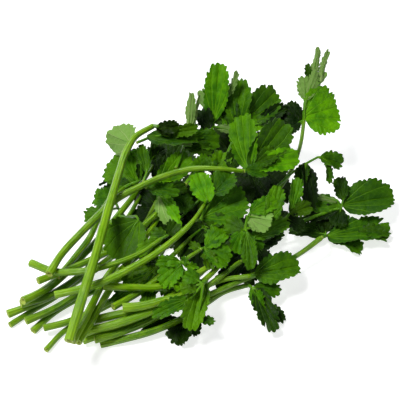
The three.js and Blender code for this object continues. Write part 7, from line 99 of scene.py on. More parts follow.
  'leaf_20': {'joins': 'stem_11', 'stalks': [[[-34.94, -23.1, 23.1, 0.87], [-34.79, -26.9, 27.88, 0.8], [-34.53, -30.69, 32.67, 0.73]]], 'leaflets': [{'shape': 2, 'tone': 0.62, 'root': [-34.69, -28.64, 30.08, 0.77], 'net': [[-34.95, -22.54, 31.58], [-34.45, -27.03, 30.21], [-34.02, -31.53, 29.07], [-33.66, -36.06, 28.14], [-40.47, -23.21, 30.62], [-39.67, -27.4, 28.31], [-39.22, -31.89, 27.17], [-39.14, -36.69, 27.2], [-45.68, -23.61, 28.77], [-44.73, -27.65, 26.01], [-44.27, -32.13, 24.88], [-44.3, -37.05, 25.38], [-50.44, -23.6, 25.58], [-49.53, -27.7, 23.04], [-49.06, -32.17, 21.92], [-49.02, -37.01, 22.21]]}, {'shape': 0, 'tone': 0.5, 'root': [-34.69, -28.64, 30.08, 0.77], 'net': [[-32.3, -25.6, 32.17], [-33.53, -27.34, 30.91], [-34.79, -29.09, 29.71], [-36.06, -30.86, 28.59], [-35.96, -22.77, 32.12], [-37.07, -24.39, 30.56], [-38.33, -26.14, 29.37], [-39.71, -28.04, 28.54], [-39.45, -19.74, 31.61], [-40.5, -21.31, 29.91], [-41.75, -23.07, 28.72], [-43.19, -25.03, 28.03], [-42.66, -16.41, 30.37], [-43.74, -18.01, 28.74], [-44.98, -19.78, 27.55], [-46.39, -21.72, 26.8]]}, {'shape': 3, 'tone': 0.75, 'root': [-34.55, -30.53, 32.47, 0.73], 'net': [[-36.41, -32.48, 31.01], [-35.44, -31.67, 31.55], [-34.48, -30.88, 32.12], [-33.52, -30.1, 32.74], [-34.46, -34.78, 30.77], [-33.44, -33.9, 31.14], [-32.48, -33.11, 31.71], [-31.57, -32.4, 32.49], [-32.43, -36.95, 30.23], [-31.39, -36.04, 30.51], [-30.42, -35.25, 31.09], [-29.54, -34.58, 31.95], [-30.27, -38.93, 29.22], [-29.24, -38.05, 29.54], [-28.27, -37.26, 30.11], [-27.37, -36.57, 30.94]]}, {'shape': 0, 'tone': 0.52, 'root': [-34.81, -26.58, 27.49, 0.81], 'net': [[-39.76, -24.56, 26.39], [-36.74, -26.66, 26.43], [-33.73, -28.79, 26.62], [-30.72, -30.95, 26.94], [-42.68, -29.2, 26.44], [-39.62, -31.05, 25.72], [-36.64, -33.18, 25.92], [-33.73, -35.59, 27.04], [-45.51, -33.54, 25.77], [-42.44, -35.28, 24.7], [-39.48, -37.41, 24.93], [-36.64, -39.94, 26.43], [-48.18, -37.46, 24.0], [-45.15, -39.25, 23.13], [-42.23, -41.39, 23.38], [-39.41, -43.87, 24.73]]}, {'shape': 0, 'tone': 0.5, 'root': [-34.56, -30.37, 32.27, 0.73], 'net': [[-35.2, -33.28, 31.21], [-35.16, -31.5, 31.84], [-35.14, -29.73, 32.52], [-35.14, -27.97, 33.26], [-33.93, -33.39, 31.67], [-33.83, -31.51, 32.06], [-33.81, -29.75, 32.74], [-33.87, -28.09, 33.72], [-32.61, -33.43, 31.93], [-32.48, -31.51, 32.21], [-32.45, -29.74, 32.9], [-32.55, -28.12, 33.99], [-31.21, -33.35, 31.9], [-31.08, -31.45, 32.24], [-31.06, -29.68, 32.93], [-31.14, -28.04, 33.96]]}]},
  'leaf_21': {'joins': 'stem_12', 'stalks': [[[-25.95, -40.79, 21.0, 1.01], [-29.57, -44.2, 25.07, 0.92], [-33.48, -47.85, 29.41, 0.83]]], 'leaflets': [{'shape': 0, 'tone': 0.42, 'root': [-28.61, -43.31, 24.01, 0.95], 'net': [[-34.83, -37.99, 27.67], [-30.93, -40.47, 25.3], [-27.32, -43.34, 23.67], [-24.02, -46.55, 22.78], [-42.46, -44.25, 25.92], [-38.14, -46.45, 22.02], [-34.57, -49.3, 20.38], [-31.76, -52.73, 21.03], [-49.53, -50.14, 23.02], [-45.03, -52.2, 18.39], [-41.5, -55.03, 16.75], [-38.94, -58.55, 18.12], [-55.87, -55.56, 18.36], [-51.53, -57.68, 14.08], [-48.02, -60.49, 12.43], [-45.39, -63.92, 13.44]]}, {'shape': 0, 'tone': 0.58, 'root': [-33.48, -47.85, 29.41, 0.83], 'net': [[-31.09, -43.98, 32.67], [-33.36, -45.04, 31.16], [-35.65, -46.13, 29.74], [-37.98, -47.24, 28.4], [-32.54, -41.31, 33.21], [-34.65, -42.24, 31.35], [-36.95, -43.33, 29.93], [-39.43, -44.57, 28.93], [-33.84, -38.48, 33.39], [-35.87, -39.36, 31.36], [-38.17, -40.46, 29.93], [-40.73, -41.77, 29.1], [-34.88, -35.44, 33.01], [-36.95, -36.36, 31.06], [-39.25, -37.46, 29.63], [-41.78, -38.74, 28.71]]}, {'shape': 2, 'tone': 0.55, 'root': [-33.48, -47.85, 29.41, 0.83], 'net': [[-41.87, -44.54, 26.26], [-42.24, -47.0, 24.39], [-42.74, -49.61, 22.83], [-43.36, -52.36, 21.58], [-49.05, -42.73, 25.56], [-49.29, -45.09, 23.21], [-49.77, -47.69, 21.64], [-50.49, -50.51, 20.86], [-55.99, -40.81, 24.07], [-56.17, -43.12, 21.49], [-56.63, -45.71, 19.91], [-57.39, -48.55, 19.35], [-62.59, -38.72, 21.34], [-62.78, -41.03, 18.85], [-63.23, -43.61, 17.26], [-63.94, -46.43, 16.59]]}, {'shape': 0, 'tone': 0.4, 'root': [-33.48, -47.85, 29.41, 0.83], 'net': [[-45.5, -58.96, 15.28], [-44.0, -57.45, 15.45], [-42.5, -55.95, 15.68], [-40.99, -54.43, 15.98], [-43.55, -61.16, 15.39], [-42.02, -59.63, 15.27], [-40.52, -58.13, 15.5], [-39.03, -56.65, 16.09], [-41.57, -63.31, 15.14], [-40.03, -61.78, 14.88], [-38.52, -60.28, 15.11], [-37.04, -58.83, 15.84], [-39.56, -65.41, 14.33], [-38.02, -63.89, 14.13], [-36.51, -62.4, 14.36], [-35.01, -60.94, 15.03]]}, {'shape': 0, 'tone': 0.45, 'root': [-33.48, -47.85, 29.41, 0.83], 'net': [[-35.75, -42.12, 30.23], [-36.4, -44.64, 29.36], [-37.07, -47.17, 28.58], [-37.76, -49.69, 27.87], [-38.53, -41.27, 29.82], [-39.06, -43.71, 28.6], [-39.72, -46.23, 27.81], [-40.52, -48.85, 27.46], [-41.18, -40.33, 29.04], [-41.65, -42.73, 27.65], [-42.31, -45.26, 26.87], [-43.15, -47.91, 26.69], [-43.65, -39.26, 27.69], [-44.15, -41.68, 26.38], [-44.8, -44.21, 25.6], [-45.61, -46.84, 25.34]]}]},
  'leaf_22': {'joins': 'stem_14', 'stalks': [[[-42.12, -43.75, 4.97, 0.84], [-43.22, -44.32, 4.57, 0.75], [-44.31, -44.9, 4.17, 0.66]]], 'leaflets': [{'shape': 0, 'tone': 0.1, 'root': [-44.31, -44.9, 4.17, 0.66], 'net': [[-47.81, -38.11, 2.06], [-45.56, -42.8, 3.03], [-43.3, -47.37, 4.05], [-41.03, -51.82, 5.1], [-51.84, -41.92, 2.4], [-49.5, -46.45, 2.57], [-47.22, -50.95, 3.55], [-45.01, -55.44, 5.33], [-55.74, -45.6, 1.99], [-53.34, -50.01, 1.75], [-51.05, -54.44, 2.69], [-48.86, -58.92, 4.81], [-59.47, -49.1, 0.41], [-57.07, -53.44, 0.29], [-54.76, -57.81, 1.2], [-52.54, -62.21, 3.12]]}, {'shape': 1, 'tone': 0.75, 'root': [-44.31, -44.9, 4.17, 0.66], 'net': [[-51.54, -47.93, 0.3], [-49.76, -47.56, 0.33], [-48.0, -47.29, 0.47], [-46.27, -47.11, 0.73], [-51.61, -45.02, 0.94], [-50.06, -44.77, 1.25], [-48.32, -44.51, 1.42], [-46.37, -44.24, 1.44], [-51.93, -42.2, 1.87], [-50.5, -42.01, 2.33], [-48.76, -41.76, 2.52], [-46.72, -41.45, 2.43], [-52.63, -39.54, 3.23], [-51.16, -39.34, 3.67], [-49.43, -39.1, 3.88], [-47.44, -38.82, 3.86]]}, {'shape': 1, 'tone': 0.6, 'root': [-44.31, -44.9, 4.17, 0.66], 'net': [[-50.95, -49.93, 0.57], [-50.1, -48.38, 0.38], [-49.34, -46.97, 0.38], [-48.68, -45.7, 0.59], [-53.08, -48.85, 0.41], [-52.31, -47.35, 0.38], [-51.56, -45.94, 0.39], [-50.83, -44.63, 0.44], [-55.31, -47.82, 0.46], [-54.58, -46.34, 0.51], [-53.83, -44.93, 0.53], [-53.07, -43.6, 0.5], [-57.68, -46.87, 0.87], [-56.95, -45.39, 0.89], [-56.21, -43.98, 0.91], [-55.46, -42.65, 0.92]]}, {'shape': 0, 'tone': 0.15, 'root': [-44.16, -44.82, 4.23, 0.67], 'net': [[-48.07, -47.24, 3.85], [-44.88, -46.6, 3.85], [-41.67, -45.98, 3.95], [-38.42, -45.36, 4.15], [-47.98, -50.66, 3.7], [-44.8, -49.97, 3.26], [-41.59, -49.36, 3.35], [-38.36, -48.82, 3.99], [-47.89, -53.99, 3.09], [-44.72, -53.28, 2.44], [-41.52, -52.68, 2.53], [-38.29, -52.18, 3.37], [-47.8, -57.18, 1.78], [-44.64, -56.5, 1.23], [-41.45, -55.91, 1.32], [-38.23, -55.41, 2.06]]}, {'shape': 0, 'tone': 0.15, 'root': [-43.68, -44.57, 4.4, 0.71], 'net': [[-42.14, -39.74, 3.26], [-43.55, -42.48, 3.69], [-44.49, -44.54, 3.26], [-44.98, -45.95, 1.96], [-49.64, -36.77, 3.31], [-51.03, -39.56, 3.47], [-52.0, -41.68, 3.13], [-52.54, -43.16, 2.26], [-57.1, -33.85, 2.62], [-58.47, -36.68, 2.69], [-59.45, -38.87, 2.43], [-60.04, -40.42, 1.83], [-64.48, -30.93, 0.72], [-65.85, -33.83, 0.94], [-66.84, -36.07, 0.76], [-67.45, -37.69, 0.17]]}]},
  'leaf_23': {'joins': 'stem_19', 'stalks': [[[-22.05, 4.32, 9.09, 0.88], [-27.1, -0.44, 11.85, 0.82], [-32.68, -5.74, 14.98, 0.76], [-38.22, -11.04, 18.17, 0.69]]], 'leaflets': [{'shape': 2, 'tone': 0.35, 'root': [-38.22, -11.04, 18.17, 0.69], 'net': [[-37.77, -6.66, 18.17], [-38.69, -10.46, 17.05], [-39.63, -14.24, 16.05], [-40.59, -18.01, 15.19], [-44.94, -4.9, 17.24], [-45.71, -8.59, 15.6], [-46.62, -12.37, 14.61], [-47.67, -16.25, 14.28], [-51.87, -2.98, 15.52], [-52.55, -6.62, 13.63], [-53.44, -10.4, 12.65], [-54.53, -14.33, 12.58], [-58.47, -0.81, 12.54], [-59.15, -4.47, 10.78], [-60.01, -8.25, 9.81], [-61.04, -12.15, 9.62]]}, {'shape': 0, 'tone': 0.3, 'root': [-38.22, -11.04, 18.17, 0.69], 'net': [[-43.17, -11.62, 16.17], [-40.01, -12.73, 16.63], [-36.88, -13.9, 17.25], [-33.79, -15.15, 18.04], [-45.38, -18.25, 15.28], [-42.2, -19.24, 15.29], [-39.11, -20.42, 15.92], [-36.09, -21.79, 17.18], [-47.48, -24.57, 13.7], [-44.32, -25.52, 13.5], [-41.25, -26.71, 14.15], [-38.29, -28.14, 15.65], [-49.45, -30.5, 11.02], [-46.33, -31.48, 10.94], [-43.29, -32.68, 11.61], [-40.36, -34.09, 13.02]]}, {'shape': 2, 'tone': 0.4, 'root': [-38.22, -11.04, 18.17, 0.69], 'net': [[-42.9, -9.48, 14.71], [-41.65, -12.55, 15.29], [-40.06, -14.99, 15.2], [-38.07, -16.85, 14.41], [-51.95, -17.82, 14.29], [-50.68, -20.79, 14.51], [-49.1, -23.2, 14.44], [-47.19, -25.09, 14.05], [-60.6, -25.78, 13.02], [-59.31, -28.69, 13.1], [-57.76, -31.07, 13.04], [-55.9, -32.96, 12.84], [-68.76, -33.28, 10.27], [-67.5, -36.16, 10.49], [-65.97, -38.52, 10.46], [-64.13, -40.38, 10.18]]}, {'shape': 0, 'tone': 0.4, 'root': [-38.22, -11.04, 18.17, 0.69], 'net': [[-41.35, -9.26, 16.03], [-41.53, -12.33, 14.94], [-41.75, -15.41, 13.98], [-42.0, -18.51, 13.16], [-51.51, -9.29, 15.23], [-51.58, -12.26, 13.66], [-51.76, -15.32, 12.7], [-52.07, -18.45, 12.35], [-61.31, -9.2, 13.48], [-61.3, -12.11, 11.68], [-61.46, -15.14, 10.71], [-61.78, -18.28, 10.59], [-70.64, -8.91, 10.18], [-70.63, -11.8, 8.48], [-70.76, -14.8, 7.51], [-71.04, -17.9, 7.27]]}, {'shape': 0, 'tone': 0.2, 'root': [-37.95, -10.78, 18.01, 0.69], 'net': [[-32.88, -7.63, 18.53], [-36.34, -9.73, 18.02], [-39.74, -11.76, 17.54], [-43.09, -13.74, 17.09], [-34.22, -3.47, 18.81], [-37.56, -5.48, 17.85], [-40.98, -7.54, 17.38], [-44.46, -9.66, 17.39], [-35.44, 0.87, 18.59], [-38.73, -1.12, 17.42], [-42.15, -3.21, 16.96], [-45.71, -5.42, 17.19], [-36.45, 5.46, 17.58], [-39.79, 3.4, 16.54], [-43.22, 1.27, 16.09], [-46.76, -0.93, 16.22]]}]},
  'leaf_24': {'joins': 'stem_26', 'stalks': [[[92.81, 17.92, 40.75, 1.03], [95.31, 21.29, 45.6, 0.98], [98.83, 24.17, 50.19, 0.93]]], 'leaflets': [{'shape': 1, 'tone': 0.72, 'root': [98.45, 23.89, 49.74, 0.94], 'net': [[96.39, 27.31, 50.14], [97.72, 24.87, 50.01], [99.23, 22.58, 49.69], [100.9, 20.42, 49.19], [100.85, 29.68, 54.72], [101.38, 26.61, 55.41], [102.88, 24.31, 55.09], [105.35, 22.79, 53.77], [104.91, 31.73, 59.68], [105.06, 28.36, 60.76], [106.55, 26.07, 60.43], [109.39, 24.85, 58.71], [108.42, 33.36, 65.17], [108.75, 30.13, 66.06], [110.24, 27.84, 65.73], [112.89, 26.48, 64.19]]}, {'shape': 1, 'tone': 0.6, 'root': [98.83, 24.17, 50.19, 0.93], 'net': [[105.65, 30.97, 59.18], [106.75, 29.27, 59.35], [107.96, 27.67, 59.41], [109.29, 26.15, 59.36], [109.35, 34.13, 64.14], [109.92, 32.05, 64.83], [111.13, 30.44, 64.89], [112.98, 29.31, 64.31], [112.76, 37.07, 69.37], [113.07, 34.81, 70.31], [114.28, 33.2, 70.36], [116.38, 32.25, 69.53], [115.76, 39.72, 74.99], [116.19, 37.54, 75.8], [117.39, 35.93, 75.85], [119.37, 34.89, 75.13]]}, {'shape': 1, 'tone': 0.74, 'root': [98.83, 24.17, 50.19, 0.93], 'net': [[98.54, 26.56, 52.79], [99.75, 24.88, 51.72], [101.01, 23.38, 50.48], [102.33, 22.05, 49.07], [104.39, 28.44, 55.72], [105.35, 25.95, 55.36], [106.62, 24.45, 54.12], [108.2, 23.92, 52.0], [110.14, 29.92, 59.02], [110.99, 27.05, 59.0], [112.26, 25.54, 57.76], [113.97, 25.39, 55.3], [115.74, 30.84, 62.83], [116.65, 28.15, 62.64], [117.93, 26.64, 61.41], [119.58, 26.31, 59.12]]}, {'shape': 3, 'tone': 0.6, 'root': [98.83, 24.17, 50.19, 0.93], 'net': [[108.02, 26.2, 58.78], [109.48, 25.3, 58.26], [110.98, 24.53, 57.62], [112.5, 23.89, 56.89], [112.4, 29.79, 63.16], [113.77, 28.33, 63.11], [115.27, 27.56, 62.48], [116.9, 27.49, 61.28], [116.73, 33.08, 67.82], [118.06, 31.35, 67.98], [119.56, 30.58, 67.36], [121.24, 30.78, 65.95], [120.99, 35.91, 72.86], [122.34, 34.32, 72.92], [123.85, 33.55, 72.3], [125.52, 33.62, 71.0]]}, {'shape': 0, 'tone': 0.78, 'root': [98.83, 24.17, 50.19, 0.93], 'net': [[94.94, 27.64, 49.2], [97.48, 25.27, 49.93], [100.12, 23.01, 50.53], [102.88, 20.86, 50.98], [96.99, 30.93, 52.16], [98.99, 28.11, 53.55], [101.63, 25.85, 54.14], [104.92, 24.14, 53.93], [98.71, 33.96, 55.52], [100.45, 30.91, 57.21], [103.09, 28.64, 57.8], [106.64, 27.15, 57.28], [99.96, 36.58, 59.45], [101.82, 33.64, 60.99], [104.47, 31.37, 61.57], [107.89, 29.77, 61.2]]}, {'shape': 1, 'tone': 0.3, 'root': [98.83, 24.17, 50.19, 0.93], 'net': [[107.52, 26.31, 58.19], [106.15, 27.4, 57.67], [104.72, 28.44, 57.22], [103.23, 29.43, 56.86], [108.51, 29.14, 61.29], [107.42, 30.46, 60.42], [105.99, 31.5, 59.98], [104.22, 32.26, 59.96], [109.71, 32.14, 64.13], [108.75, 33.58, 63.09], [107.32, 34.62, 62.65], [105.43, 35.27, 62.81], [111.23, 35.42, 66.58], [110.21, 36.8, 65.63], [108.78, 37.84, 65.18], [106.94, 38.55, 65.26]]}, {'shape': 0, 'tone': 0.72, 'root': [93.56, 19.1, 42.43, 1.01], 'net': [[90.62, 7.98, 31.98], [92.31, 15.79, 38.72], [93.84, 23.19, 45.91], [95.23, 30.21, 53.54], [97.65, 4.35, 34.32], [100.03, 13.96, 39.07], [101.57, 21.38, 46.27], [102.28, 26.62, 55.93], [105.21, 1.92, 35.3], [107.91, 12.4, 39.12], [109.46, 19.84, 46.33], [109.85, 24.24, 56.96], [113.5, 1.28, 34.28], [116.05, 11.37, 38.56], [117.6, 18.82, 45.79], [118.15, 23.65, 55.98]]}, {'shape': 0, 'tone': 0.1, 'root': [92.81, 17.92, 40.75, 1.03], 'net': [[97.87, 23.07, 42.47], [93.2, 19.27, 40.12], [88.32, 15.35, 38.24], [83.25, 11.29, 36.82], [92.37, 29.99, 43.95], [88.82, 26.87, 39.75], [83.99, 22.93, 37.82], [77.87, 18.17, 38.13], [87.78, 37.61, 43.83], [84.77, 34.8, 38.74], [79.98, 30.85, 36.76], [73.39, 25.75, 37.87], [84.59, 46.25, 41.3], [81.36, 43.25, 36.59], [76.6, 39.29, 34.58], [70.3, 34.34, 35.23]]}, {'shape': 0, 'tone': 0.12, 'root': [92.81, 17.92, 40.75, 1.03], 'net': [[91.53, 23.98, 42.85], [90.64, 20.46, 41.05], [89.73, 16.92, 39.36], [88.8, 13.36, 37.79], [88.23, 24.51, 42.69], [87.48, 21.18, 40.39], [86.57, 17.64, 38.71], [85.51, 13.89, 37.63], [85.05, 25.21, 42.08], [84.37, 21.97, 39.56], [83.48, 18.43, 37.88], [82.36, 14.6, 37.04], [82.07, 26.16, 40.82], [81.37, 22.88, 38.41], [80.48, 19.34, 36.73], [79.4, 15.55, 35.78]]}, {'shape': 0, 'tone': 0.1, 'root': [92.81, 17.92, 40.75, 1.03], 'net': [[96.2, 16.73, 42.89], [93.44, 17.55, 40.83], [90.69, 18.38, 38.78], [87.94, 19.21, 36.76], [95.95, 21.42, 45.16], [93.36, 22.49, 42.71], [90.6, 23.33, 40.66], [87.68, 23.94, 39.0], [95.9, 26.43, 46.98], [93.38, 27.63, 44.33], [90.63, 28.48, 42.27], [87.63, 29.0, 40.78], [96.17, 31.94, 48.06], [93.62, 33.09, 45.5], [90.87, 33.96, 43.42], [87.91, 34.55, 41.83]]}]},
  'leaf_25': {'joins': None, 'stalks': [[[32.32, -6.0, 12.26, 1.03], [40.3, -5.96, 16.54, 0.98], [48.35, -5.7, 20.68, 0.93], [56.44, -5.43, 24.75, 0.88], [64.51, -5.87, 28.83, 0.83], [72.31, -7.81, 32.97, 0.78], [79.68, -10.92, 37.2, 0.73]]], 'leaflets': [{'shape': 0, 'tone': 0.48, 'root': [79.68, -10.92, 37.2, 0.73], 'net': [[76.52, -14.74, 34.77], [79.32, -12.59, 36.25], [82.08, -10.55, 37.97], [84.82, -8.64, 39.94], [79.78, -18.42, 34.51], [82.82, -15.66, 34.9], [85.59, -13.64, 36.62], [88.11, -12.34, 39.67], [83.32, -21.39, 32.97], [86.48, -18.34, 32.85], [89.26, -16.32, 34.57], [91.67, -15.32, 38.13], [87.28, -23.25, 29.46], [90.39, -20.35, 29.59], [93.18, -18.33, 31.31], [95.66, -17.2, 34.62]]}, {'shape': 0, 'tone': 0.08, 'root': [72.95, -8.04, 33.33, 0.78], 'net': [[66.58, -6.72, 35.15], [70.47, -7.3, 34.2], [74.41, -8.0, 33.37], [78.39, -8.81, 32.66], [63.1, -14.06, 30.03], [66.92, -14.16, 28.47], [70.83, -14.87, 27.63], [74.83, -16.21, 27.51], [59.58, -20.62, 24.12], [63.36, -20.5, 22.26], [67.25, -21.23, 21.41], [71.24, -22.83, 21.55], [56.0, -26.0, 16.93], [59.76, -26.01, 15.19], [63.63, -26.77, 14.32], [67.59, -28.27, 14.32]]}, {'shape': 3, 'tone': 0.42, 'root': [79.68, -10.92, 37.2, 0.73], 'net': [[79.68, -14.76, 36.83], [81.74, -14.8, 36.24], [83.83, -14.88, 35.69], [85.94, -14.99, 35.19], [77.98, -18.75, 34.47], [79.98, -18.62, 33.64], [82.06, -18.7, 33.09], [84.22, -19.0, 32.81], [76.2, -22.39, 31.71], [78.16, -22.18, 30.77], [80.23, -22.27, 30.22], [82.41, -22.66, 30.04], [74.27, -25.5, 28.32], [76.24, -25.34, 27.42], [78.3, -25.44, 26.86], [80.45, -25.8, 26.63]]}, {'shape': 0, 'tone': 0.3, 'root': [72.95, -8.04, 33.33, 0.78], 'net': [[70.67, -4.01, 34.1], [72.25, -6.64, 33.8], [73.78, -9.29, 33.62], [75.24, -11.98, 33.55], [67.11, -6.2, 32.0], [68.95, -8.64, 31.22], [70.48, -11.29, 31.04], [71.68, -14.15, 31.46], [63.83, -8.19, 29.39], [65.8, -10.54, 28.37], [67.33, -13.19, 28.2], [68.41, -16.12, 28.86], [60.99, -9.88, 25.99], [62.9, -12.27, 25.09], [64.43, -14.9, 24.92], [65.58, -17.79, 25.47]]}]},
  'leaf_26': {'joins': None, 'stalks': [[[25.36, -26.24, 13.94, 0.95], [31.42, -28.57, 17.69, 0.88], [37.37, -30.05, 21.99, 0.82], [43.89, -29.5, 25.6, 0.76]]], 'leaflets': [{'shape': 1, 'tone': 0.66, 'root': [43.19, -29.64, 25.33, 0.77], 'net': [[47.28, -32.1, 23.06], [44.8, -30.63, 23.97], [42.35, -29.27, 25.01], [39.93, -28.03, 26.15], [52.48, -28.11, 27.25], [49.96, -26.09, 27.54], [47.49, -24.74, 28.57], [45.07, -24.05, 30.35], [57.73, -23.63, 30.99], [55.17, -21.35, 30.97], [52.68, -20.0, 32.01], [50.26, -19.58, 34.09], [63.01, -18.44, 34.02], [60.44, -16.3, 34.16], [57.93, -14.95, 35.19], [55.47, -14.41, 37.14]]}, {'shape': 0, 'tone': 0.3, 'root': [42.84, -29.71, 25.18, 0.77], 'net': [[41.87, -33.89, 22.92], [42.49, -31.26, 24.23], [43.1, -28.66, 25.63], [43.71, -26.09, 27.12], [46.75, -34.81, 23.46], [47.42, -31.99, 24.41], [48.04, -29.39, 25.81], [48.61, -26.99, 27.67], [51.73, -35.48, 23.48], [52.43, -32.56, 24.26], [53.06, -29.95, 25.67], [53.62, -27.64, 27.7], [56.85, -35.73, 22.68], [57.55, -32.86, 23.56], [58.19, -30.24, 24.97], [58.76, -27.88, 26.92]]}, {'shape': 0, 'tone': 0.1, 'root': [39.82, -30.07, 23.59, 0.8], 'net': [[34.95, -32.47, 22.48], [38.11, -30.91, 23.16], [41.29, -29.38, 23.95], [44.49, -27.86, 24.86], [36.63, -36.09, 21.91], [39.83, -34.4, 22.13], [43.01, -32.88, 22.92], [46.17, -31.52, 24.28], [38.34, -39.54, 20.85], [41.57, -37.8, 20.84], [44.75, -36.28, 21.62], [47.88, -35.0, 23.21], [40.12, -42.74, 19.01], [43.34, -41.04, 19.1], [46.52, -39.54, 19.88], [49.67, -38.24, 21.36]]}]},
  'leaf_27': {'joins': None, 'stalks': [[[9.8, -23.39, 11.67, 1.17], [18.69, -23.91, 11.82, 1.14], [27.55, -24.86, 11.95, 1.11], [36.32, -26.44, 12.08, 1.08], [45.07, -28.13, 12.21, 1.04], [53.88, -29.48, 12.33, 1.01], [62.69, -30.84, 12.45, 0.98], [71.42, -32.63, 12.57, 0.95], [80.08, -34.74, 12.69, 0.91]]], 'leaflets': [{'shape': 1, 'tone': 0.42, 'root': [80.08, -34.74, 12.69, 0.91], 'net': [[73.87, -45.32, 11.13], [78.4, -37.78, 12.44], [83.03, -30.1, 14.11], [87.77, -22.28, 16.15], [84.66, -49.29, 12.05], [89.38, -41.47, 11.92], [94.12, -33.8, 13.6], [98.92, -26.25, 17.1], [95.65, -53.09, 11.82], [100.51, -45.14, 11.0], [105.38, -37.47, 12.69], [110.26, -30.05, 16.88], [106.87, -56.6, 9.84], [111.84, -48.73, 9.37], [116.83, -41.05, 11.06], [121.85, -33.57, 14.92]]}, {'shape': 0, 'tone': 0.28, 'root': [80.08, -34.74, 12.69, 0.91], 'net': [[87.05, -35.05, 15.98], [84.33, -33.63, 15.66], [81.58, -32.24, 15.47], [78.8, -30.9, 15.39], [89.69, -30.67, 18.44], [87.08, -29.07, 17.57], [84.32, -27.68, 17.37], [81.4, -26.51, 17.85], [92.51, -26.02, 20.26], [89.95, -24.33, 19.13], [87.18, -22.94, 18.93], [84.19, -21.85, 19.67], [95.61, -20.99, 21.07], [93.01, -19.33, 20.06], [90.22, -17.93, 19.86], [87.25, -16.8, 20.47]]}, {'shape': 0, 'tone': 0.52, 'root': [80.08, -34.74, 12.69, 0.91], 'net': [[84.91, -29.63, 15.44], [82.04, -32.57, 14.08], [79.16, -35.51, 12.91], [76.3, -38.45, 11.94], [79.0, -24.68, 16.28], [76.28, -27.45, 14.06], [73.43, -30.41, 12.9], [70.44, -33.56, 12.77], [73.23, -19.51, 16.15], [70.6, -22.2, 13.53], [67.76, -25.18, 12.36], [64.73, -28.45, 12.64], [67.69, -13.99, 14.54], [65.05, -16.75, 12.11], [62.23, -19.75, 10.94], [59.25, -22.99, 11.02]]}, {'shape': 1, 'tone': 0.35, 'root': [80.08, -34.74, 12.69, 0.91], 'net': [[78.36, -32.74, 14.53], [79.67, -31.79, 15.4], [81.01, -30.79, 16.17], [82.39, -29.75, 16.84], [75.27, -28.83, 14.73], [76.45, -28.05, 16.06], [77.79, -27.05, 16.83], [79.3, -25.83, 17.05], [72.02, -25.13, 15.5], [73.14, -24.43, 17.04], [74.48, -23.42, 17.81], [76.04, -22.11, 17.82], [68.51, -21.76, 17.13], [69.66, -21.02, 18.57], [71.0, -20.0, 19.35], [72.53, -18.73, 19.46]]}, {'shape': 0, 'tone': 0.1, 'root': [77.74, -34.15, 12.66, 0.92], 'net': [[80.8, -29.98, 13.25], [78.76, -33.13, 12.54], [76.72, -36.26, 11.97], [74.68, -39.39, 11.52], [73.96, -27.03, 13.44], [72.0, -30.11, 12.24], [69.98, -33.26, 11.67], [67.91, -36.47, 11.73], [67.23, -23.99, 12.83], [65.32, -27.04, 11.39], [63.34, -30.19, 10.82], [61.27, -33.44, 11.12], [60.68, -20.76, 10.94], [58.78, -23.84, 9.62], [56.82, -27.0, 9.06], [54.79, -30.25, 9.25]]}, {'shape': 0, 'tone': 0.14, 'root': [80.08, -34.74, 12.69, 0.91], 'net': [[76.66, -30.7, 12.87], [78.67, -33.73, 12.55], [80.65, -36.76, 12.35], [82.62, -39.79, 12.26], [72.96, -33.46, 12.61], [75.0, -36.41, 11.81], [76.98, -39.42, 11.6], [78.91, -42.49, 12.0], [69.35, -36.1, 11.78], [71.41, -39.01, 10.75], [73.39, -42.0, 10.55], [75.29, -45.08, 11.18], [65.87, -38.61, 10.08], [67.92, -41.51, 9.16], [69.9, -44.49, 8.97], [71.8, -47.54, 9.49]]}]},
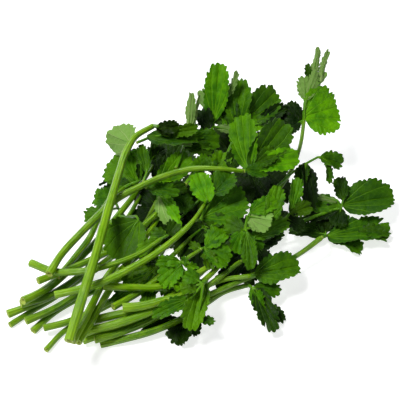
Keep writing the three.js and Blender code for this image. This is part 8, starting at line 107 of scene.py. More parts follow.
  'leaf_28': {'joins': 'stem_25', 'stalks': [[[52.21, -48.46, 14.76, 1.2], [58.27, -45.05, 9.5, 1.05], [64.55, -41.59, 4.15, 0.9]]], 'leaflets': [{'shape': 2, 'tone': 0.45, 'root': [61.6, -43.21, 6.65, 0.97], 'net': [[56.34, -51.37, 5.83], [59.92, -46.19, 6.16], [63.58, -40.93, 6.74], [67.3, -35.57, 7.57], [68.19, -57.25, 6.84], [71.93, -52.03, 6.14], [75.67, -46.8, 6.72], [79.44, -41.54, 8.59], [80.19, -63.1, 6.76], [84.05, -57.88, 5.57], [87.89, -52.67, 6.16], [91.73, -47.47, 8.52], [92.38, -68.88, 5.01], [96.32, -63.7, 4.06], [100.26, -58.52, 4.65], [104.21, -53.34, 6.78]]}, {'shape': 0, 'tone': 0.42, 'root': [64.55, -41.59, 4.15, 0.9], 'net': [[60.48, -47.49, 3.64], [64.52, -45.08, 3.75], [68.62, -42.64, 4.03], [72.78, -40.17, 4.48], [62.87, -53.52, 4.04], [66.94, -51.11, 3.37], [71.03, -48.71, 3.65], [75.16, -46.32, 4.87], [65.27, -59.44, 3.6], [69.34, -57.05, 2.55], [73.43, -54.69, 2.83], [77.54, -52.35, 4.42], [67.68, -65.23, 1.85], [71.74, -62.88, 0.98], [75.83, -60.56, 1.25], [79.94, -58.25, 2.67]]}, {'shape': 0, 'tone': 0.25, 'root': [61.39, -43.32, 6.83, 0.98], 'net': [[66.23, -37.53, 8.01], [62.88, -40.67, 7.56], [59.6, -43.74, 7.22], [56.39, -46.77, 6.98], [61.2, -32.3, 8.57], [57.92, -35.41, 7.54], [54.66, -38.52, 7.2], [51.43, -41.63, 7.55], [56.22, -26.97, 8.3], [52.98, -30.09, 6.98], [49.74, -33.23, 6.64], [46.5, -36.4, 7.28], [51.3, -21.48, 6.71], [48.07, -24.65, 5.53], [44.85, -27.82, 5.19], [41.65, -31.01, 5.69]]}, {'shape': 0, 'tone': 0.42, 'root': [64.55, -41.59, 4.15, 0.9], 'net': [[65.44, -47.19, 4.29], [65.93, -43.4, 4.59], [66.41, -39.59, 5.0], [66.88, -35.74, 5.53], [71.29, -46.55, 5.21], [71.83, -42.69, 4.98], [72.33, -38.86, 5.4], [72.8, -35.04, 6.46], [77.26, -45.83, 5.41], [77.85, -41.93, 4.95], [78.37, -38.08, 5.37], [78.84, -34.27, 6.68], [83.39, -44.99, 4.51], [83.99, -41.09, 4.17], [84.54, -37.21, 4.59], [85.05, -33.37, 5.78]]}, {'shape': 0, 'tone': 0.36, 'root': [64.55, -41.59, 4.15, 0.9], 'net': [[75.18, -54.49, 6.12], [78.58, -51.95, 6.29], [82.02, -49.37, 6.6], [85.5, -46.77, 7.05], [78.6, -59.61, 6.42], [82.03, -57.06, 6.01], [85.47, -54.51, 6.32], [88.94, -51.98, 7.34], [82.02, -64.64, 5.97], [85.47, -62.1, 5.28], [88.93, -59.59, 5.59], [92.39, -57.1, 6.89], [85.47, -69.57, 4.36], [88.92, -67.07, 3.81], [92.39, -64.58, 4.11], [95.86, -62.11, 5.28]]}, {'shape': 0, 'tone': 0.12, 'root': [61.81, -43.09, 6.47, 0.97], 'net': [[67.07, -44.49, 7.43], [63.6, -43.1, 7.25], [60.14, -41.72, 7.17], [56.69, -40.36, 7.2], [69.73, -40.21, 8.43], [66.28, -38.77, 7.74], [62.8, -37.4, 7.66], [59.29, -36.08, 8.19], [72.49, -35.81, 8.8], [69.03, -34.34, 7.87], [65.53, -32.96, 7.79], [61.98, -31.66, 8.56], [75.35, -31.23, 8.2], [71.87, -29.78, 7.38], [68.34, -28.39, 7.3], [64.78, -27.08, 7.95]]}]},
  'leaf_29': {'joins': 'stem_24', 'stalks': [[[-0.0, -47.76, 14.34, 1.15], [1.23, -48.59, 14.69, 1.0], [2.45, -49.44, 15.07, 0.85]]], 'leaflets': [{'shape': 0, 'tone': 0.36, 'root': [1.55, -48.8, 14.79, 0.96], 'net': [[-2.14, -56.78, 12.55], [0.42, -51.31, 13.89], [2.95, -45.89, 15.61], [5.43, -40.52, 17.71], [6.26, -60.13, 13.71], [9.06, -54.26, 13.82], [11.63, -48.84, 15.56], [13.98, -43.87, 18.91], [14.9, -63.15, 13.79], [17.83, -57.1, 13.33], [20.45, -51.68, 15.07], [22.78, -46.91, 19.03], [23.85, -65.67, 12.24], [26.79, -59.72, 12.07], [29.47, -54.31, 13.83], [31.89, -49.44, 17.51]]}]},
  'leaf_30': {'joins': 'stem_14', 'stalks': [[[-0.08, -46.49, 5.73, 1.15], [-1.45, -49.61, 8.15, 1.0], [-2.91, -52.85, 10.71, 0.86]]], 'leaflets': [{'shape': 2, 'tone': 0.22, 'root': [-2.91, -52.85, 10.71, 0.86], 'net': [[-7.95, -52.92, 10.34], [-3.84, -53.74, 10.78], [0.23, -54.58, 11.45], [4.28, -55.41, 12.37], [-10.89, -62.66, 9.78], [-6.53, -63.38, 8.99], [-2.51, -64.22, 9.66], [1.2, -65.17, 11.78], [-13.53, -72.03, 8.39], [-9.08, -72.69, 7.0], [-5.1, -73.53, 7.66], [-1.58, -74.55, 10.36], [-15.78, -80.99, 5.72], [-11.43, -81.69, 4.6], [-7.49, -82.53, 5.25], [-3.95, -83.52, 7.66]]}, {'shape': 1, 'tone': 0.66, 'root': [-2.91, -52.85, 10.71, 0.86], 'net': [[-6.97, -51.46, 9.3], [-4.32, -52.5, 10.33], [-1.75, -53.54, 11.51], [0.74, -54.58, 12.86], [-8.65, -56.68, 9.04], [-5.64, -57.69, 9.32], [-3.08, -58.72, 10.5], [-0.97, -59.78, 12.58], [-10.06, -61.8, 8.3], [-6.89, -62.79, 8.21], [-4.35, -63.82, 9.39], [-2.42, -64.87, 11.82], [-11.09, -66.82, 6.84], [-8.02, -67.8, 6.92], [-5.49, -68.82, 8.09], [-3.49, -69.86, 10.34]]}, {'shape': 0, 'tone': 0.45, 'root': [-2.91, -52.85, 10.71, 0.86], 'net': [[-5.42, -56.76, 9.74], [-2.98, -54.36, 10.57], [-0.53, -51.99, 11.54], [1.93, -49.62, 12.63], [-1.78, -60.1, 9.54], [0.73, -57.55, 9.82], [3.19, -55.18, 10.78], [5.6, -53.0, 12.43], [1.92, -63.26, 8.73], [4.47, -60.64, 8.74], [6.95, -58.28, 9.7], [9.34, -56.19, 11.61], [5.73, -66.13, 6.95], [8.28, -63.55, 7.09], [10.77, -61.2, 8.05], [13.18, -59.08, 9.83]]}, {'shape': 0, 'tone': 0.2, 'root': [-2.91, -52.85, 10.71, 0.86], 'net': [[-5.86, -63.92, 3.9], [-2.94, -62.84, 3.93], [0.0, -61.79, 4.07], [2.95, -60.76, 4.33], [-4.93, -68.85, 3.58], [-1.99, -67.69, 3.2], [0.94, -66.65, 3.34], [3.87, -65.72, 3.97], [-4.0, -73.6, 2.72], [-1.06, -72.41, 2.15], [1.88, -71.38, 2.27], [4.8, -70.52, 3.08], [-3.05, -78.1, 1.02], [-0.11, -76.94, 0.52], [2.82, -75.93, 0.63], [5.74, -75.06, 1.34]]}]},
  'leaf_31': {'joins': 'stem_20', 'stalks': [[[-6.56, 1.69, 8.75, 0.89], [0.73, 4.25, 7.37, 0.81], [8.01, 6.85, 5.91, 0.73]]], 'leaflets': [{'shape': 0, 'tone': 0.12, 'root': [8.01, 6.85, 5.91, 0.73], 'net': [[6.41, -2.67, 3.42], [7.58, 3.78, 4.79], [8.8, 10.37, 6.31], [10.05, 17.1, 8.01], [14.33, -3.1, 4.8], [15.65, 3.53, 5.23], [16.92, 10.14, 6.77], [18.13, 16.77, 9.42], [22.47, -3.38, 5.14], [23.89, 3.34, 5.14], [25.21, 9.98, 6.69], [26.42, 16.57, 9.8], [30.89, -3.43, 3.89], [32.34, 3.28, 4.11], [33.71, 9.95, 5.67], [35.0, 16.61, 8.58]]}, {'shape': 0, 'tone': 0.15, 'root': [5.55, 5.97, 6.41, 0.75], 'net': [[13.87, 4.8, 7.21], [8.43, 5.48, 6.57], [3.02, 6.13, 6.08], [-2.36, 6.75, 5.76], [15.63, 11.6, 9.2], [10.24, 12.39, 7.82], [4.79, 13.03, 7.33], [-0.72, 13.51, 7.73], [17.53, 18.68, 10.32], [12.15, 19.52, 8.59], [6.66, 20.14, 8.1], [1.06, 20.55, 8.83], [19.65, 26.15, 10.08], [14.2, 26.94, 8.51], [8.67, 27.55, 8.01], [3.06, 27.97, 8.57]]}, {'shape': 0, 'tone': 0.12, 'root': [8.01, 6.85, 5.91, 0.73], 'net': [[0.53, -0.5, 4.74], [6.04, 3.1, 4.96], [11.72, 6.87, 5.26], [17.6, 10.8, 5.64], [3.02, -6.6, 4.85], [8.59, -2.96, 4.21], [14.27, 0.74, 4.49], [20.09, 4.54, 5.73], [5.55, -12.54, 4.08], [11.14, -8.92, 3.01], [16.82, -5.27, 3.29], [22.61, -1.58, 4.93], [8.14, -18.3, 1.93], [13.72, -14.75, 1.06], [19.4, -11.15, 1.33], [25.21, -7.49, 2.76]]}, {'shape': 0, 'tone': 0.1, 'root': [4.56, 5.61, 6.61, 0.76], 'net': [[5.26, 14.49, 7.27], [5.0, 7.86, 6.39], [4.74, 1.32, 5.73], [4.47, -5.12, 5.28], [-2.4, 12.9, 7.27], [-2.54, 6.4, 5.51], [-2.76, -0.09, 4.86], [-3.05, -6.57, 5.31], [-9.85, 11.43, 6.3], [-9.92, 5.02, 4.12], [-10.09, -1.42, 3.48], [-10.37, -7.9, 4.37], [-17.06, 10.13, 3.82], [-17.1, 3.75, 1.85], [-17.23, -2.65, 1.22], [-17.45, -9.06, 1.91]]}, {'shape': 0, 'tone': 0.12, 'root': [7.02, 6.5, 6.11, 0.74], 'net': [[0.3, 7.13, 4.99], [5.07, 5.78, 4.98], [9.85, 4.4, 5.11], [14.65, 2.99, 5.41], [-2.87, -0.02, 4.83], [1.9, -1.31, 4.14], [6.64, -2.69, 4.27], [11.35, -4.16, 5.22], [-5.9, -6.92, 3.8], [-1.15, -8.17, 2.79], [3.54, -9.55, 2.91], [8.18, -11.05, 4.18], [-8.77, -13.52, 1.42], [-4.07, -14.79, 0.55], [0.58, -16.17, 0.67], [5.19, -17.65, 1.78]]}, {'shape': 0, 'tone': 0.12, 'root': [5.55, 5.97, 6.41, 0.75], 'net': [[11.56, 13.19, 9.1], [7.51, 8.73, 7.99], [3.52, 4.34, 7.07], [-0.42, -0.0, 6.36], [7.09, 17.4, 10.03], [3.13, 13.01, 8.09], [-0.84, 8.59, 7.18], [-4.83, 4.12, 7.28], [2.68, 21.72, 10.11], [-1.22, 17.35, 7.79], [-5.17, 12.9, 6.87], [-9.17, 8.35, 7.36], [-1.63, 26.21, 8.92], [-5.52, 21.79, 6.78], [-9.44, 17.3, 5.86], [-13.4, 12.75, 6.17]]}, {'shape': 0, 'tone': 0.1, 'root': [5.05, 5.79, 6.51, 0.76], 'net': [[0.92, 9.25, 6.65], [4.1, 5.53, 6.41], [7.27, 1.82, 6.31], [10.41, -1.89, 6.36], [-6.11, 1.9, 6.32], [-2.92, -1.72, 5.42], [0.22, -5.39, 5.32], [3.3, -9.1, 6.04], [-12.86, -5.14, 4.94], [-9.67, -8.69, 3.72], [-6.56, -12.3, 3.63], [-3.52, -15.99, 4.67], [-19.3, -11.83, 1.88], [-16.15, -15.34, 0.82], [-13.06, -18.91, 0.73], [-10.04, -22.54, 1.62]]}]},
  'leaf_32': {'joins': 'stem_22', 'stalks': [[[-17.89, 27.55, 8.13, 0.9], [-10.51, 31.47, 7.66, 0.86], [-3.87, 36.52, 7.03, 0.82], [1.79, 42.67, 6.51, 0.79], [6.98, 49.25, 6.41, 0.75]]], 'leaflets': [{'shape': 0, 'tone': 0.15, 'root': [-5.35, 35.2, 7.17, 0.83], 'net': [[-0.87, 27.75, 6.23], [-4.05, 32.7, 6.57], [-7.27, 37.64, 7.08], [-10.54, 42.57, 7.77], [5.92, 33.13, 8.93], [2.84, 38.28, 8.5], [-0.39, 43.27, 9.02], [-3.78, 48.1, 10.51], [13.02, 38.85, 10.61], [9.99, 44.12, 9.82], [6.74, 49.16, 10.35], [3.29, 53.97, 12.21], [20.54, 45.04, 10.67], [17.47, 50.32, 10.06], [14.21, 55.41, 10.6], [10.77, 60.31, 12.3]]}, {'shape': 0, 'tone': 0.15, 'root': [-5.35, 35.2, 7.17, 0.83], 'net': [[1.8, 38.31, 9.27], [-3.73, 36.89, 7.93], [-9.22, 35.45, 6.76], [-14.66, 34.02, 5.77], [0.92, 45.73, 11.14], [-4.53, 44.42, 9.01], [-10.04, 42.95, 7.83], [-15.61, 41.32, 7.6], [0.16, 53.44, 12.1], [-5.26, 52.17, 9.59], [-10.8, 50.66, 8.4], [-16.45, 48.93, 8.53], [-0.41, 61.56, 11.63], [-5.88, 60.21, 9.28], [-11.45, 58.67, 8.08], [-17.1, 56.93, 8.02]]}, {'shape': 0, 'tone': 0.15, 'root': [-5.35, 35.2, 7.17, 0.83], 'net': [[-6.82, 25.08, 5.56], [-5.45, 31.19, 6.44], [-4.08, 37.37, 7.52], [-2.71, 43.63, 8.81], [1.58, 24.31, 7.04], [3.09, 30.57, 7.06], [4.52, 36.77, 8.15], [5.86, 42.93, 10.31], [10.21, 23.69, 7.45], [11.82, 30.03, 7.08], [13.3, 36.26, 8.19], [14.66, 42.38, 10.76], [19.13, 23.3, 6.23], [20.78, 29.63, 6.07], [22.32, 35.89, 7.18], [23.76, 42.07, 9.56]]}, {'shape': 0, 'tone': 0.14, 'root': [6.98, 49.25, 6.41, 0.75], 'net': [[15.31, 44.69, 6.45], [9.95, 48.03, 6.04], [4.57, 51.31, 5.8], [-0.84, 54.56, 5.74], [20.95, 54.09, 10.92], [15.7, 57.67, 9.7], [10.27, 60.98, 9.46], [4.65, 64.02, 10.21], [26.99, 64.08, 14.21], [21.78, 67.8, 12.6], [16.29, 71.14, 12.35], [10.54, 74.1, 13.49], [33.61, 74.91, 15.58], [28.31, 78.6, 14.14], [22.77, 81.97, 13.9], [17.0, 85.01, 14.85]]}, {'shape': 0, 'tone': 0.14, 'root': [6.98, 49.25, 6.41, 0.75], 'net': [[11.76, 40.42, 4.54], [9.1, 46.3, 5.43], [6.38, 52.17, 6.51], [3.61, 58.04, 7.8], [21.26, 45.47, 8.63], [18.77, 51.64, 8.69], [16.06, 57.57, 9.8], [13.11, 63.27, 11.94], [31.25, 51.0, 11.51], [28.84, 57.34, 11.2], [26.13, 63.33, 12.32], [23.11, 68.98, 14.88], [41.87, 57.21, 12.48], [39.43, 63.56, 12.38], [36.72, 69.61, 13.52], [33.75, 75.37, 15.9]]}, {'shape': 0, 'tone': 0.12, 'root': [-6.23, 34.47, 7.26, 0.84], 'net': [[-6.74, 44.77, 8.83], [-6.93, 38.44, 7.84], [-7.13, 32.18, 7.06], [-7.34, 26.0, 6.48], [-13.13, 43.47, 8.78], [-13.21, 37.28, 6.94], [-13.37, 31.06, 6.17], [-13.63, 24.8, 6.45], [-19.36, 42.29, 7.87], [-19.36, 36.19, 5.63], [-19.49, 30.0, 4.86], [-19.75, 23.73, 5.56], [-25.37, 41.3, 5.65], [-25.36, 35.2, 3.61], [-25.46, 29.05, 2.85], [-25.67, 22.84, 3.36]]}, {'shape': 0, 'tone': 0.12, 'root': [-6.67, 34.12, 7.3, 0.84], 'net': [[-14.4, 36.18, 6.98], [-9.28, 34.52, 6.84], [-4.11, 32.85, 6.84], [1.08, 31.17, 6.97], [-18.47, 27.25, 6.5], [-13.35, 25.65, 5.63], [-8.24, 23.98, 5.62], [-3.16, 22.24, 6.48], [-22.34, 18.67, 4.98], [-17.25, 17.12, 3.76], [-12.2, 15.45, 3.75], [-7.2, 13.67, 4.94], [-25.98, 10.51, 1.8], [-20.96, 8.94, 0.74], [-15.97, 7.27, 0.72], [-11.01, 5.52, 1.75]]}]},
  'leaf_33': {'joins': 'stem_15', 'stalks': [[[1.31, -36.55, 15.72, 0.87], [8.49, -32.06, 11.56, 0.82], [16.03, -27.56, 7.6, 0.77], [23.77, -23.17, 3.93, 0.71]]], 'leaflets': [{'shape': 0, 'tone': 0.12, 'root': [23.77, -23.17, 3.93, 0.71], 'net': [[22.42, -29.93, 3.22], [23.42, -25.34, 3.47], [24.41, -20.69, 3.87], [25.42, -15.99, 4.42], [29.05, -29.84, 4.1], [30.11, -25.18, 3.71], [31.15, -20.51, 4.12], [32.16, -15.82, 5.31], [35.81, -29.68, 4.16], [36.92, -24.97, 3.47], [38.0, -20.28, 3.88], [39.03, -15.6, 5.38], [42.73, -29.42, 2.93], [43.88, -24.71, 2.4], [44.99, -19.99, 2.81], [46.07, -15.28, 4.17]]}, {'shape': 0, 'tone': 0.12, 'root': [23.77, -23.17, 3.93, 0.71], 'net': [[29.99, -28.52, 4.24], [26.35, -24.31, 4.26], [22.69, -20.1, 4.45], [19.0, -15.89, 4.81], [35.72, -23.24, 6.0], [32.13, -18.89, 5.28], [28.44, -14.64, 5.47], [24.66, -10.48, 6.58], [41.68, -17.7, 6.82], [38.1, -13.27, 5.74], [34.39, -8.98, 5.94], [30.55, -4.82, 7.41], [47.93, -11.84, 6.14], [44.31, -7.39, 5.23], [40.57, -3.05, 5.43], [36.73, 1.17, 6.74]]}, {'shape': 0, 'tone': 0.12, 'root': [23.38, -23.39, 4.11, 0.72], 'net': [[17.99, -25.34, 2.72], [21.57, -24.91, 2.76], [25.18, -24.47, 2.92], [28.81, -24.04, 3.19], [17.34, -29.71, 2.87], [20.92, -29.27, 2.42], [24.51, -28.85, 2.58], [28.11, -28.46, 3.33], [16.72, -34.0, 2.46], [20.29, -33.56, 1.78], [23.86, -33.15, 1.93], [27.43, -32.78, 2.92], [16.13, -38.19, 1.19], [19.68, -37.76, 0.62], [23.23, -37.37, 0.77], [26.79, -37.01, 1.64]]}, {'shape': 0, 'tone': 0.12, 'root': [22.98, -23.61, 4.29, 0.72], 'net': [[24.74, -14.09, 4.88], [23.34, -19.84, 4.31], [21.96, -25.5, 3.93], [20.59, -31.06, 3.75], [18.51, -14.26, 5.31], [17.18, -19.95, 3.93], [15.84, -25.58, 3.55], [14.49, -31.16, 4.18], [12.38, -14.39, 4.9], [11.11, -20.04, 3.15], [9.81, -25.64, 2.77], [8.49, -31.22, 3.78], [6.37, -14.46, 3.23], [5.14, -20.09, 1.66], [3.89, -25.67, 1.29], [2.61, -31.21, 2.12]]}, {'shape': 0, 'tone': 0.12, 'root': [23.77, -23.17, 3.93, 0.71], 'net': [[31.66, -20.51, 5.0], [26.11, -21.29, 4.68], [20.62, -22.1, 4.55], [15.17, -22.94, 4.61], [32.2, -13.99, 6.71], [26.67, -14.74, 5.65], [21.13, -15.59, 5.52], [15.59, -16.54, 6.31], [32.81, -7.27, 7.53], [27.27, -8.03, 6.13], [21.7, -8.91, 6.0], [16.1, -9.94, 7.14], [33.55, -0.29, 7.01], [27.96, -1.1, 5.78], [22.35, -2.03, 5.65], [16.72, -3.08, 6.63]]}, {'shape': 0, 'tone': 0.16, 'root': [4.99, -34.22, 13.55, 0.85], 'net': [[2.23, -30.26, 16.44], [3.43, -33.15, 14.03], [4.96, -35.63, 11.18], [6.86, -37.72, 7.86], [-4.77, -31.57, 15.63], [-3.54, -34.38, 12.59], [-1.98, -36.8, 9.68], [-0.08, -38.85, 6.9], [-11.62, -32.8, 13.95], [-10.36, -35.55, 10.59], [-8.79, -37.92, 7.61], [-6.88, -39.91, 5.04], [-18.32, -33.93, 10.88], [-17.05, -36.65, 7.61], [-15.46, -38.95, 4.56], [-13.53, -40.86, 1.75]]}, {'shape': 0, 'tone': 0.14, 'root': [12.5, -29.64, 9.4, 0.8], 'net': [[8.84, -27.68, 7.51], [11.38, -30.12, 7.92], [13.93, -32.53, 8.38], [16.49, -34.89, 8.91], [4.8, -32.96, 6.92], [7.32, -35.37, 6.87], [9.85, -37.76, 7.35], [12.37, -40.14, 8.36], [0.88, -38.07, 5.55], [3.39, -40.46, 5.29], [5.89, -42.84, 5.78], [8.39, -45.21, 7.03], [-2.9, -43.0, 2.94], [-0.42, -45.38, 2.81], [2.06, -47.75, 3.32], [4.54, -50.11, 4.47]]}, {'shape': 0, 'tone': 0.1, 'root': [23.77, -23.17, 3.93, 0.71], 'net': [[25.81, -29.12, 3.3], [25.15, -24.94, 3.62], [24.47, -20.73, 4.08], [23.78, -16.5, 4.67], [36.24, -25.51, 5.16], [35.66, -21.21, 4.92], [35.01, -16.95, 5.39], [34.29, -12.74, 6.57], [47.08, -21.66, 5.87], [46.55, -17.27, 5.37], [45.93, -12.95, 5.84], [45.21, -8.72, 7.3], [58.42, -17.45, 4.72], [57.9, -13.02, 4.36], [57.31, -8.65, 4.84], [56.64, -4.35, 6.18]]}]},
  'leaf_34': {'joins': 'stem_23', 'stalks': [[[-3.11, 16.87, 11.47, 0.9], [5.97, 19.7, 11.48, 0.89], [15.05, 22.55, 11.46, 0.87], [24.12, 25.4, 11.42, 0.85], [33.21, 28.23, 11.39, 0.83], [42.31, 31.01, 11.39, 0.81], [51.43, 33.69, 11.44, 0.79], [60.59, 36.27, 11.62, 0.77]]], 'leaflets': [{'shape': 0, 'tone': 0.14, 'root': [60.59, 36.27, 11.62, 0.77], 'net': [[59.58, 26.33, 8.55], [60.37, 33.06, 10.35], [61.13, 39.82, 12.37], [61.85, 46.63, 14.63], [68.4, 25.93, 11.0], [69.42, 32.94, 11.9], [70.22, 39.73, 13.95], [70.8, 46.3, 17.13], [77.55, 25.83, 12.37], [78.7, 32.98, 12.86], [79.54, 39.8, 14.91], [80.09, 46.28, 18.55], [87.15, 26.2, 12.05], [88.3, 33.33, 12.76], [89.2, 40.17, 14.83], [89.83, 46.74, 18.28]]}, {'shape': 0, 'tone': 0.14, 'root': [60.59, 36.27, 11.62, 0.77], 'net': [[69.05, 32.58, 12.75], [63.57, 35.97, 12.34], [58.05, 39.3, 12.11], [52.49, 42.56, 12.07], [73.27, 39.12, 16.67], [67.95, 42.8, 15.44], [62.4, 46.14, 15.21], [56.61, 49.15, 15.98], [77.81, 46.12, 19.63], [72.55, 49.94, 18.01], [66.96, 53.3, 17.78], [61.05, 56.19, 18.93], [82.8, 53.76, 21.08], [77.47, 57.53, 19.65], [71.85, 60.91, 19.41], [65.94, 63.88, 20.37]]}, {'shape': 0, 'tone': 0.1, 'root': [60.59, 36.27, 11.62, 0.77], 'net': [[51.89, 27.96, 8.38], [57.92, 32.41, 9.89], [64.03, 36.89, 11.66], [70.23, 41.42, 13.69], [56.52, 20.03, 8.31], [62.7, 24.62, 8.79], [68.83, 29.04, 10.55], [74.89, 33.29, 13.59], [61.26, 12.4, 7.1], [67.53, 17.02, 7.08], [73.67, 21.38, 8.83], [79.67, 25.47, 12.35], [66.22, 5.19, 4.12], [72.47, 9.7, 4.32], [78.61, 14.0, 6.06], [84.66, 18.08, 9.33]]}, {'shape': 0, 'tone': 0.12, 'root': [42.15, 30.96, 11.39, 0.81], 'net': [[51.81, 31.05, 13.71], [45.21, 30.89, 12.17], [38.65, 30.7, 10.83], [32.13, 30.46, 9.68], [52.28, 38.68, 16.44], [45.81, 38.71, 14.0], [39.21, 38.49, 12.65], [32.49, 38.01, 12.37], [52.95, 46.68, 18.19], [46.52, 46.8, 15.32], [39.88, 46.55, 13.95], [33.04, 45.93, 14.08], [53.92, 55.22, 18.42], [47.4, 55.25, 15.74], [40.73, 54.97, 14.36], [33.89, 54.38, 14.28]]}, {'shape': 0, 'tone': 0.14, 'root': [56.24, 35.06, 11.52, 0.78], 'net': [[65.48, 35.27, 13.82], [59.37, 35.07, 12.07], [53.26, 34.81, 10.51], [47.17, 34.5, 9.14], [65.33, 44.97, 17.74], [59.38, 45.01, 15.18], [53.24, 44.72, 13.6], [46.92, 44.11, 13.01], [65.47, 55.21, 20.58], [59.57, 55.35, 17.61], [53.4, 55.03, 16.02], [46.95, 54.27, 15.79], [66.03, 66.23, 21.68], [60.06, 66.27, 18.88], [53.85, 65.93, 17.27], [47.41, 65.19, 16.84]]}, {'shape': 0, 'tone': 0.08, 'root': [59.5, 35.97, 11.59, 0.77], 'net': [[50.05, 34.75, 9.59], [56.8, 34.01, 9.94], [63.59, 33.24, 10.51], [70.42, 32.42, 11.29], [46.59, 23.83, 8.41], [53.36, 23.2, 7.83], [60.07, 22.4, 8.39], [66.72, 21.42, 10.06], [43.37, 13.42, 5.99], [50.11, 12.84, 4.97], [56.74, 12.01, 5.51], [63.27, 10.95, 7.61], [40.46, 3.62, 1.62], [47.1, 2.98, 0.79], [53.66, 2.14, 1.32], [60.14, 1.08, 3.2]]}, {'shape': 0, 'tone': 0.1, 'root': [41.07, 30.64, 11.39, 0.81], 'net': [[31.83, 27.66, 10.91], [38.26, 29.39, 11.63], [44.75, 31.11, 12.57], [51.33, 32.83, 13.72], [32.11, 19.63, 10.48], [38.6, 21.44, 10.29], [45.05, 23.11, 11.21], [51.49, 24.64, 13.26], [32.49, 11.89, 9.06], [38.99, 13.71, 8.42], [45.41, 15.33, 9.33], [51.76, 16.75, 11.8], [33.03, 4.51, 6.08], [39.47, 6.26, 5.64], [45.86, 7.84, 6.54], [52.19, 9.24, 8.78]]}, {'shape': 0, 'tone': 0.1, 'root': [60.59, 36.27, 11.62, 0.77], 'net': [[52.92, 29.42, 8.87], [58.5, 31.78, 9.63], [64.14, 34.15, 10.59], [69.85, 36.53, 11.74], [55.24, 17.08, 7.97], [60.87, 19.48, 7.89], [66.48, 21.76, 8.84], [72.07, 23.94, 10.8], [57.65, 5.22, 5.76], [63.29, 7.61, 5.27], [68.87, 9.82, 6.2], [74.37, 11.85, 8.54], [60.23, -6.04, 1.44], [65.82, -3.76, 1.13], [71.36, -1.62, 2.04], [76.86, 0.37, 4.18]]}, {'shape': 0, 'tone': 0.12, 'root': [19.51, 23.96, 11.44, 0.86], 'net': [[28.28, 23.83, 12.61], [22.65, 24.03, 11.68], [17.04, 24.2, 10.93], [11.46, 24.33, 10.35], [29.31, 30.09, 14.62], [23.75, 30.42, 12.93], [18.11, 30.58, 12.16], [12.39, 30.54, 12.33], [30.48, 36.62, 15.79], [24.94, 37.01, 13.74], [19.27, 37.14, 12.96], [13.46, 37.02, 13.48], [31.85, 43.51, 15.69], [26.26, 43.85, 13.8], [20.55, 43.97, 13.01], [14.73, 43.86, 13.35]]}]},
}


# ---------------------------------------------------------------- shapes
def bern(t):
    t = np.asarray(t, float)
    s = 1 - t
    return np.stack([s**3, 3 * s * s * t, 3 * s * t * t, t**3], -1)


def dbern(t):
    t = np.asarray(t, float)
    s = 1 - t
    return np.stack([-3 * s * s, 3 * s * s - 6 * s * t, 6 * s * t - 3 * t * t, 3 * t * t], -1)


def net_point(net, u, v):
    """Points and unit normals of a leaflet's smooth surface."""
    net = np.asarray(net, float).reshape(4, 4, 3)
    w = (v + 1) / 2
    p = np.einsum("ni,nj,ijk->nk", bern(u), bern(w), net)
    du = np.einsum("ni,nj,ijk->nk", dbern(u), bern(w), net)
    dv = np.einsum("ni,nj,ijk->nk", bern(u), dbern(w), net) / 2
    n = np.cross(du, dv)
    n /= np.linalg.norm(n, axis=1)[:, None] + 1e-12
    return p, n


def smooth_path(points, step):
    """Catmull-Rom through [x, y, z, r] points, resampled evenly."""
    q = np.asarray(points, float)
    ext = np.vstack([2 * q[0] - q[1], q, 2 * q[-1] - q[-2]])
    out = []
    for i in range(len(q) - 1):
        a, b, c, d = ext[i : i + 4]
        t = np.linspace(0, 1, 24, endpoint=False)[:, None]
        out.append(0.5 * (2 * b + (c - a) * t + (2 * a - 5 * b + 4 * c - d) * t**2 + (3 * b - a - 3 * c + d) * t**3))
    out = np.vstack(out + [q[-1:]])
    l = np.r_[0, np.cumsum(np.linalg.norm(np.diff(out[:, :3], axis=0), axis=1))]
    n = max(4, int(l[-1] / step) + 1)
    s = np.linspace(0, l[-1], n)
    return np.stack([np.interp(s, l, out[:, k]) for k in range(4)], -1), s


def frames(P):
    t = np.gradient(P, axis=0)
    t /= np.linalg.norm(t, axis=1)[:, None]
    side = np.cross([0, 0, 1.0], t[0])
    side /= np.linalg.norm(side)
    S = []
    for k in range(len(P)):
        side = side - t[k] * (side @ t[k])
        side /= np.linalg.norm(side)
        S.append(side.copy())
    S = np.array(S)
    return t, S, np.cross(t, S)


class Mesh:
    """Collects vertices, faces, material slots and attributes of one piece."""

    def __init__(self):
        self.v, self.f, self.m, self.a, self.b, self.sharp = [], [], [], [], [], []
        self.n = 0

    def add(self, verts, faces, mats, attr, attr2, sharp=None):
        base = self.n
        self.v.append(verts)
        self.f += [tuple(i + base for i in f) for f in faces]
        self.m += list(mats) if hasattr(mats, "__len__") else [mats] * len(faces)
        self.a.append(attr)
        self.b.append(attr2)
        self.sharp.append(np.zeros(len(verts), int) if sharp is None else sharp)
        self.n += len(verts)

    def make(self, name, materials):
        me = bpy.data.meshes.new(name)
        v = np.vstack(self.v) * MM
        me.from_pydata(v.tolist(), [], self.f)
        for m in materials:
            me.materials.append(m)
        me.polygons.foreach_set("material_index", np.array(self.m, dtype=np.int32))
        me.polygons.foreach_set("use_smooth", np.ones(len(self.f), dtype=bool))
        for label, data in (("lf", self.a), ("lg", self.b)):
            at = me.attributes.new(label, "FLOAT_VECTOR", "POINT")
            at.data.foreach_set("vector", np.vstack(data).astype(np.float32).ravel())
        sh = np.concatenate(self.sharp)
        ev = np.empty(len(me.edges) * 2, dtype=np.int32)
        me.edges.foreach_get("vertices", ev)
        ev = ev.reshape(-1, 2)
        flag = (sh[ev[:, 0]] > 0) & (sh[ev[:, 0]] == sh[ev[:, 1]])
        at = me.attributes.new("sharp_edge", "BOOLEAN", "EDGE")
        at.data.foreach_set("value", flag)
        me.update()
        ob = bpy.data.objects.new(name, me)
        bpy.context.collection.objects.link(ob)
        return ob


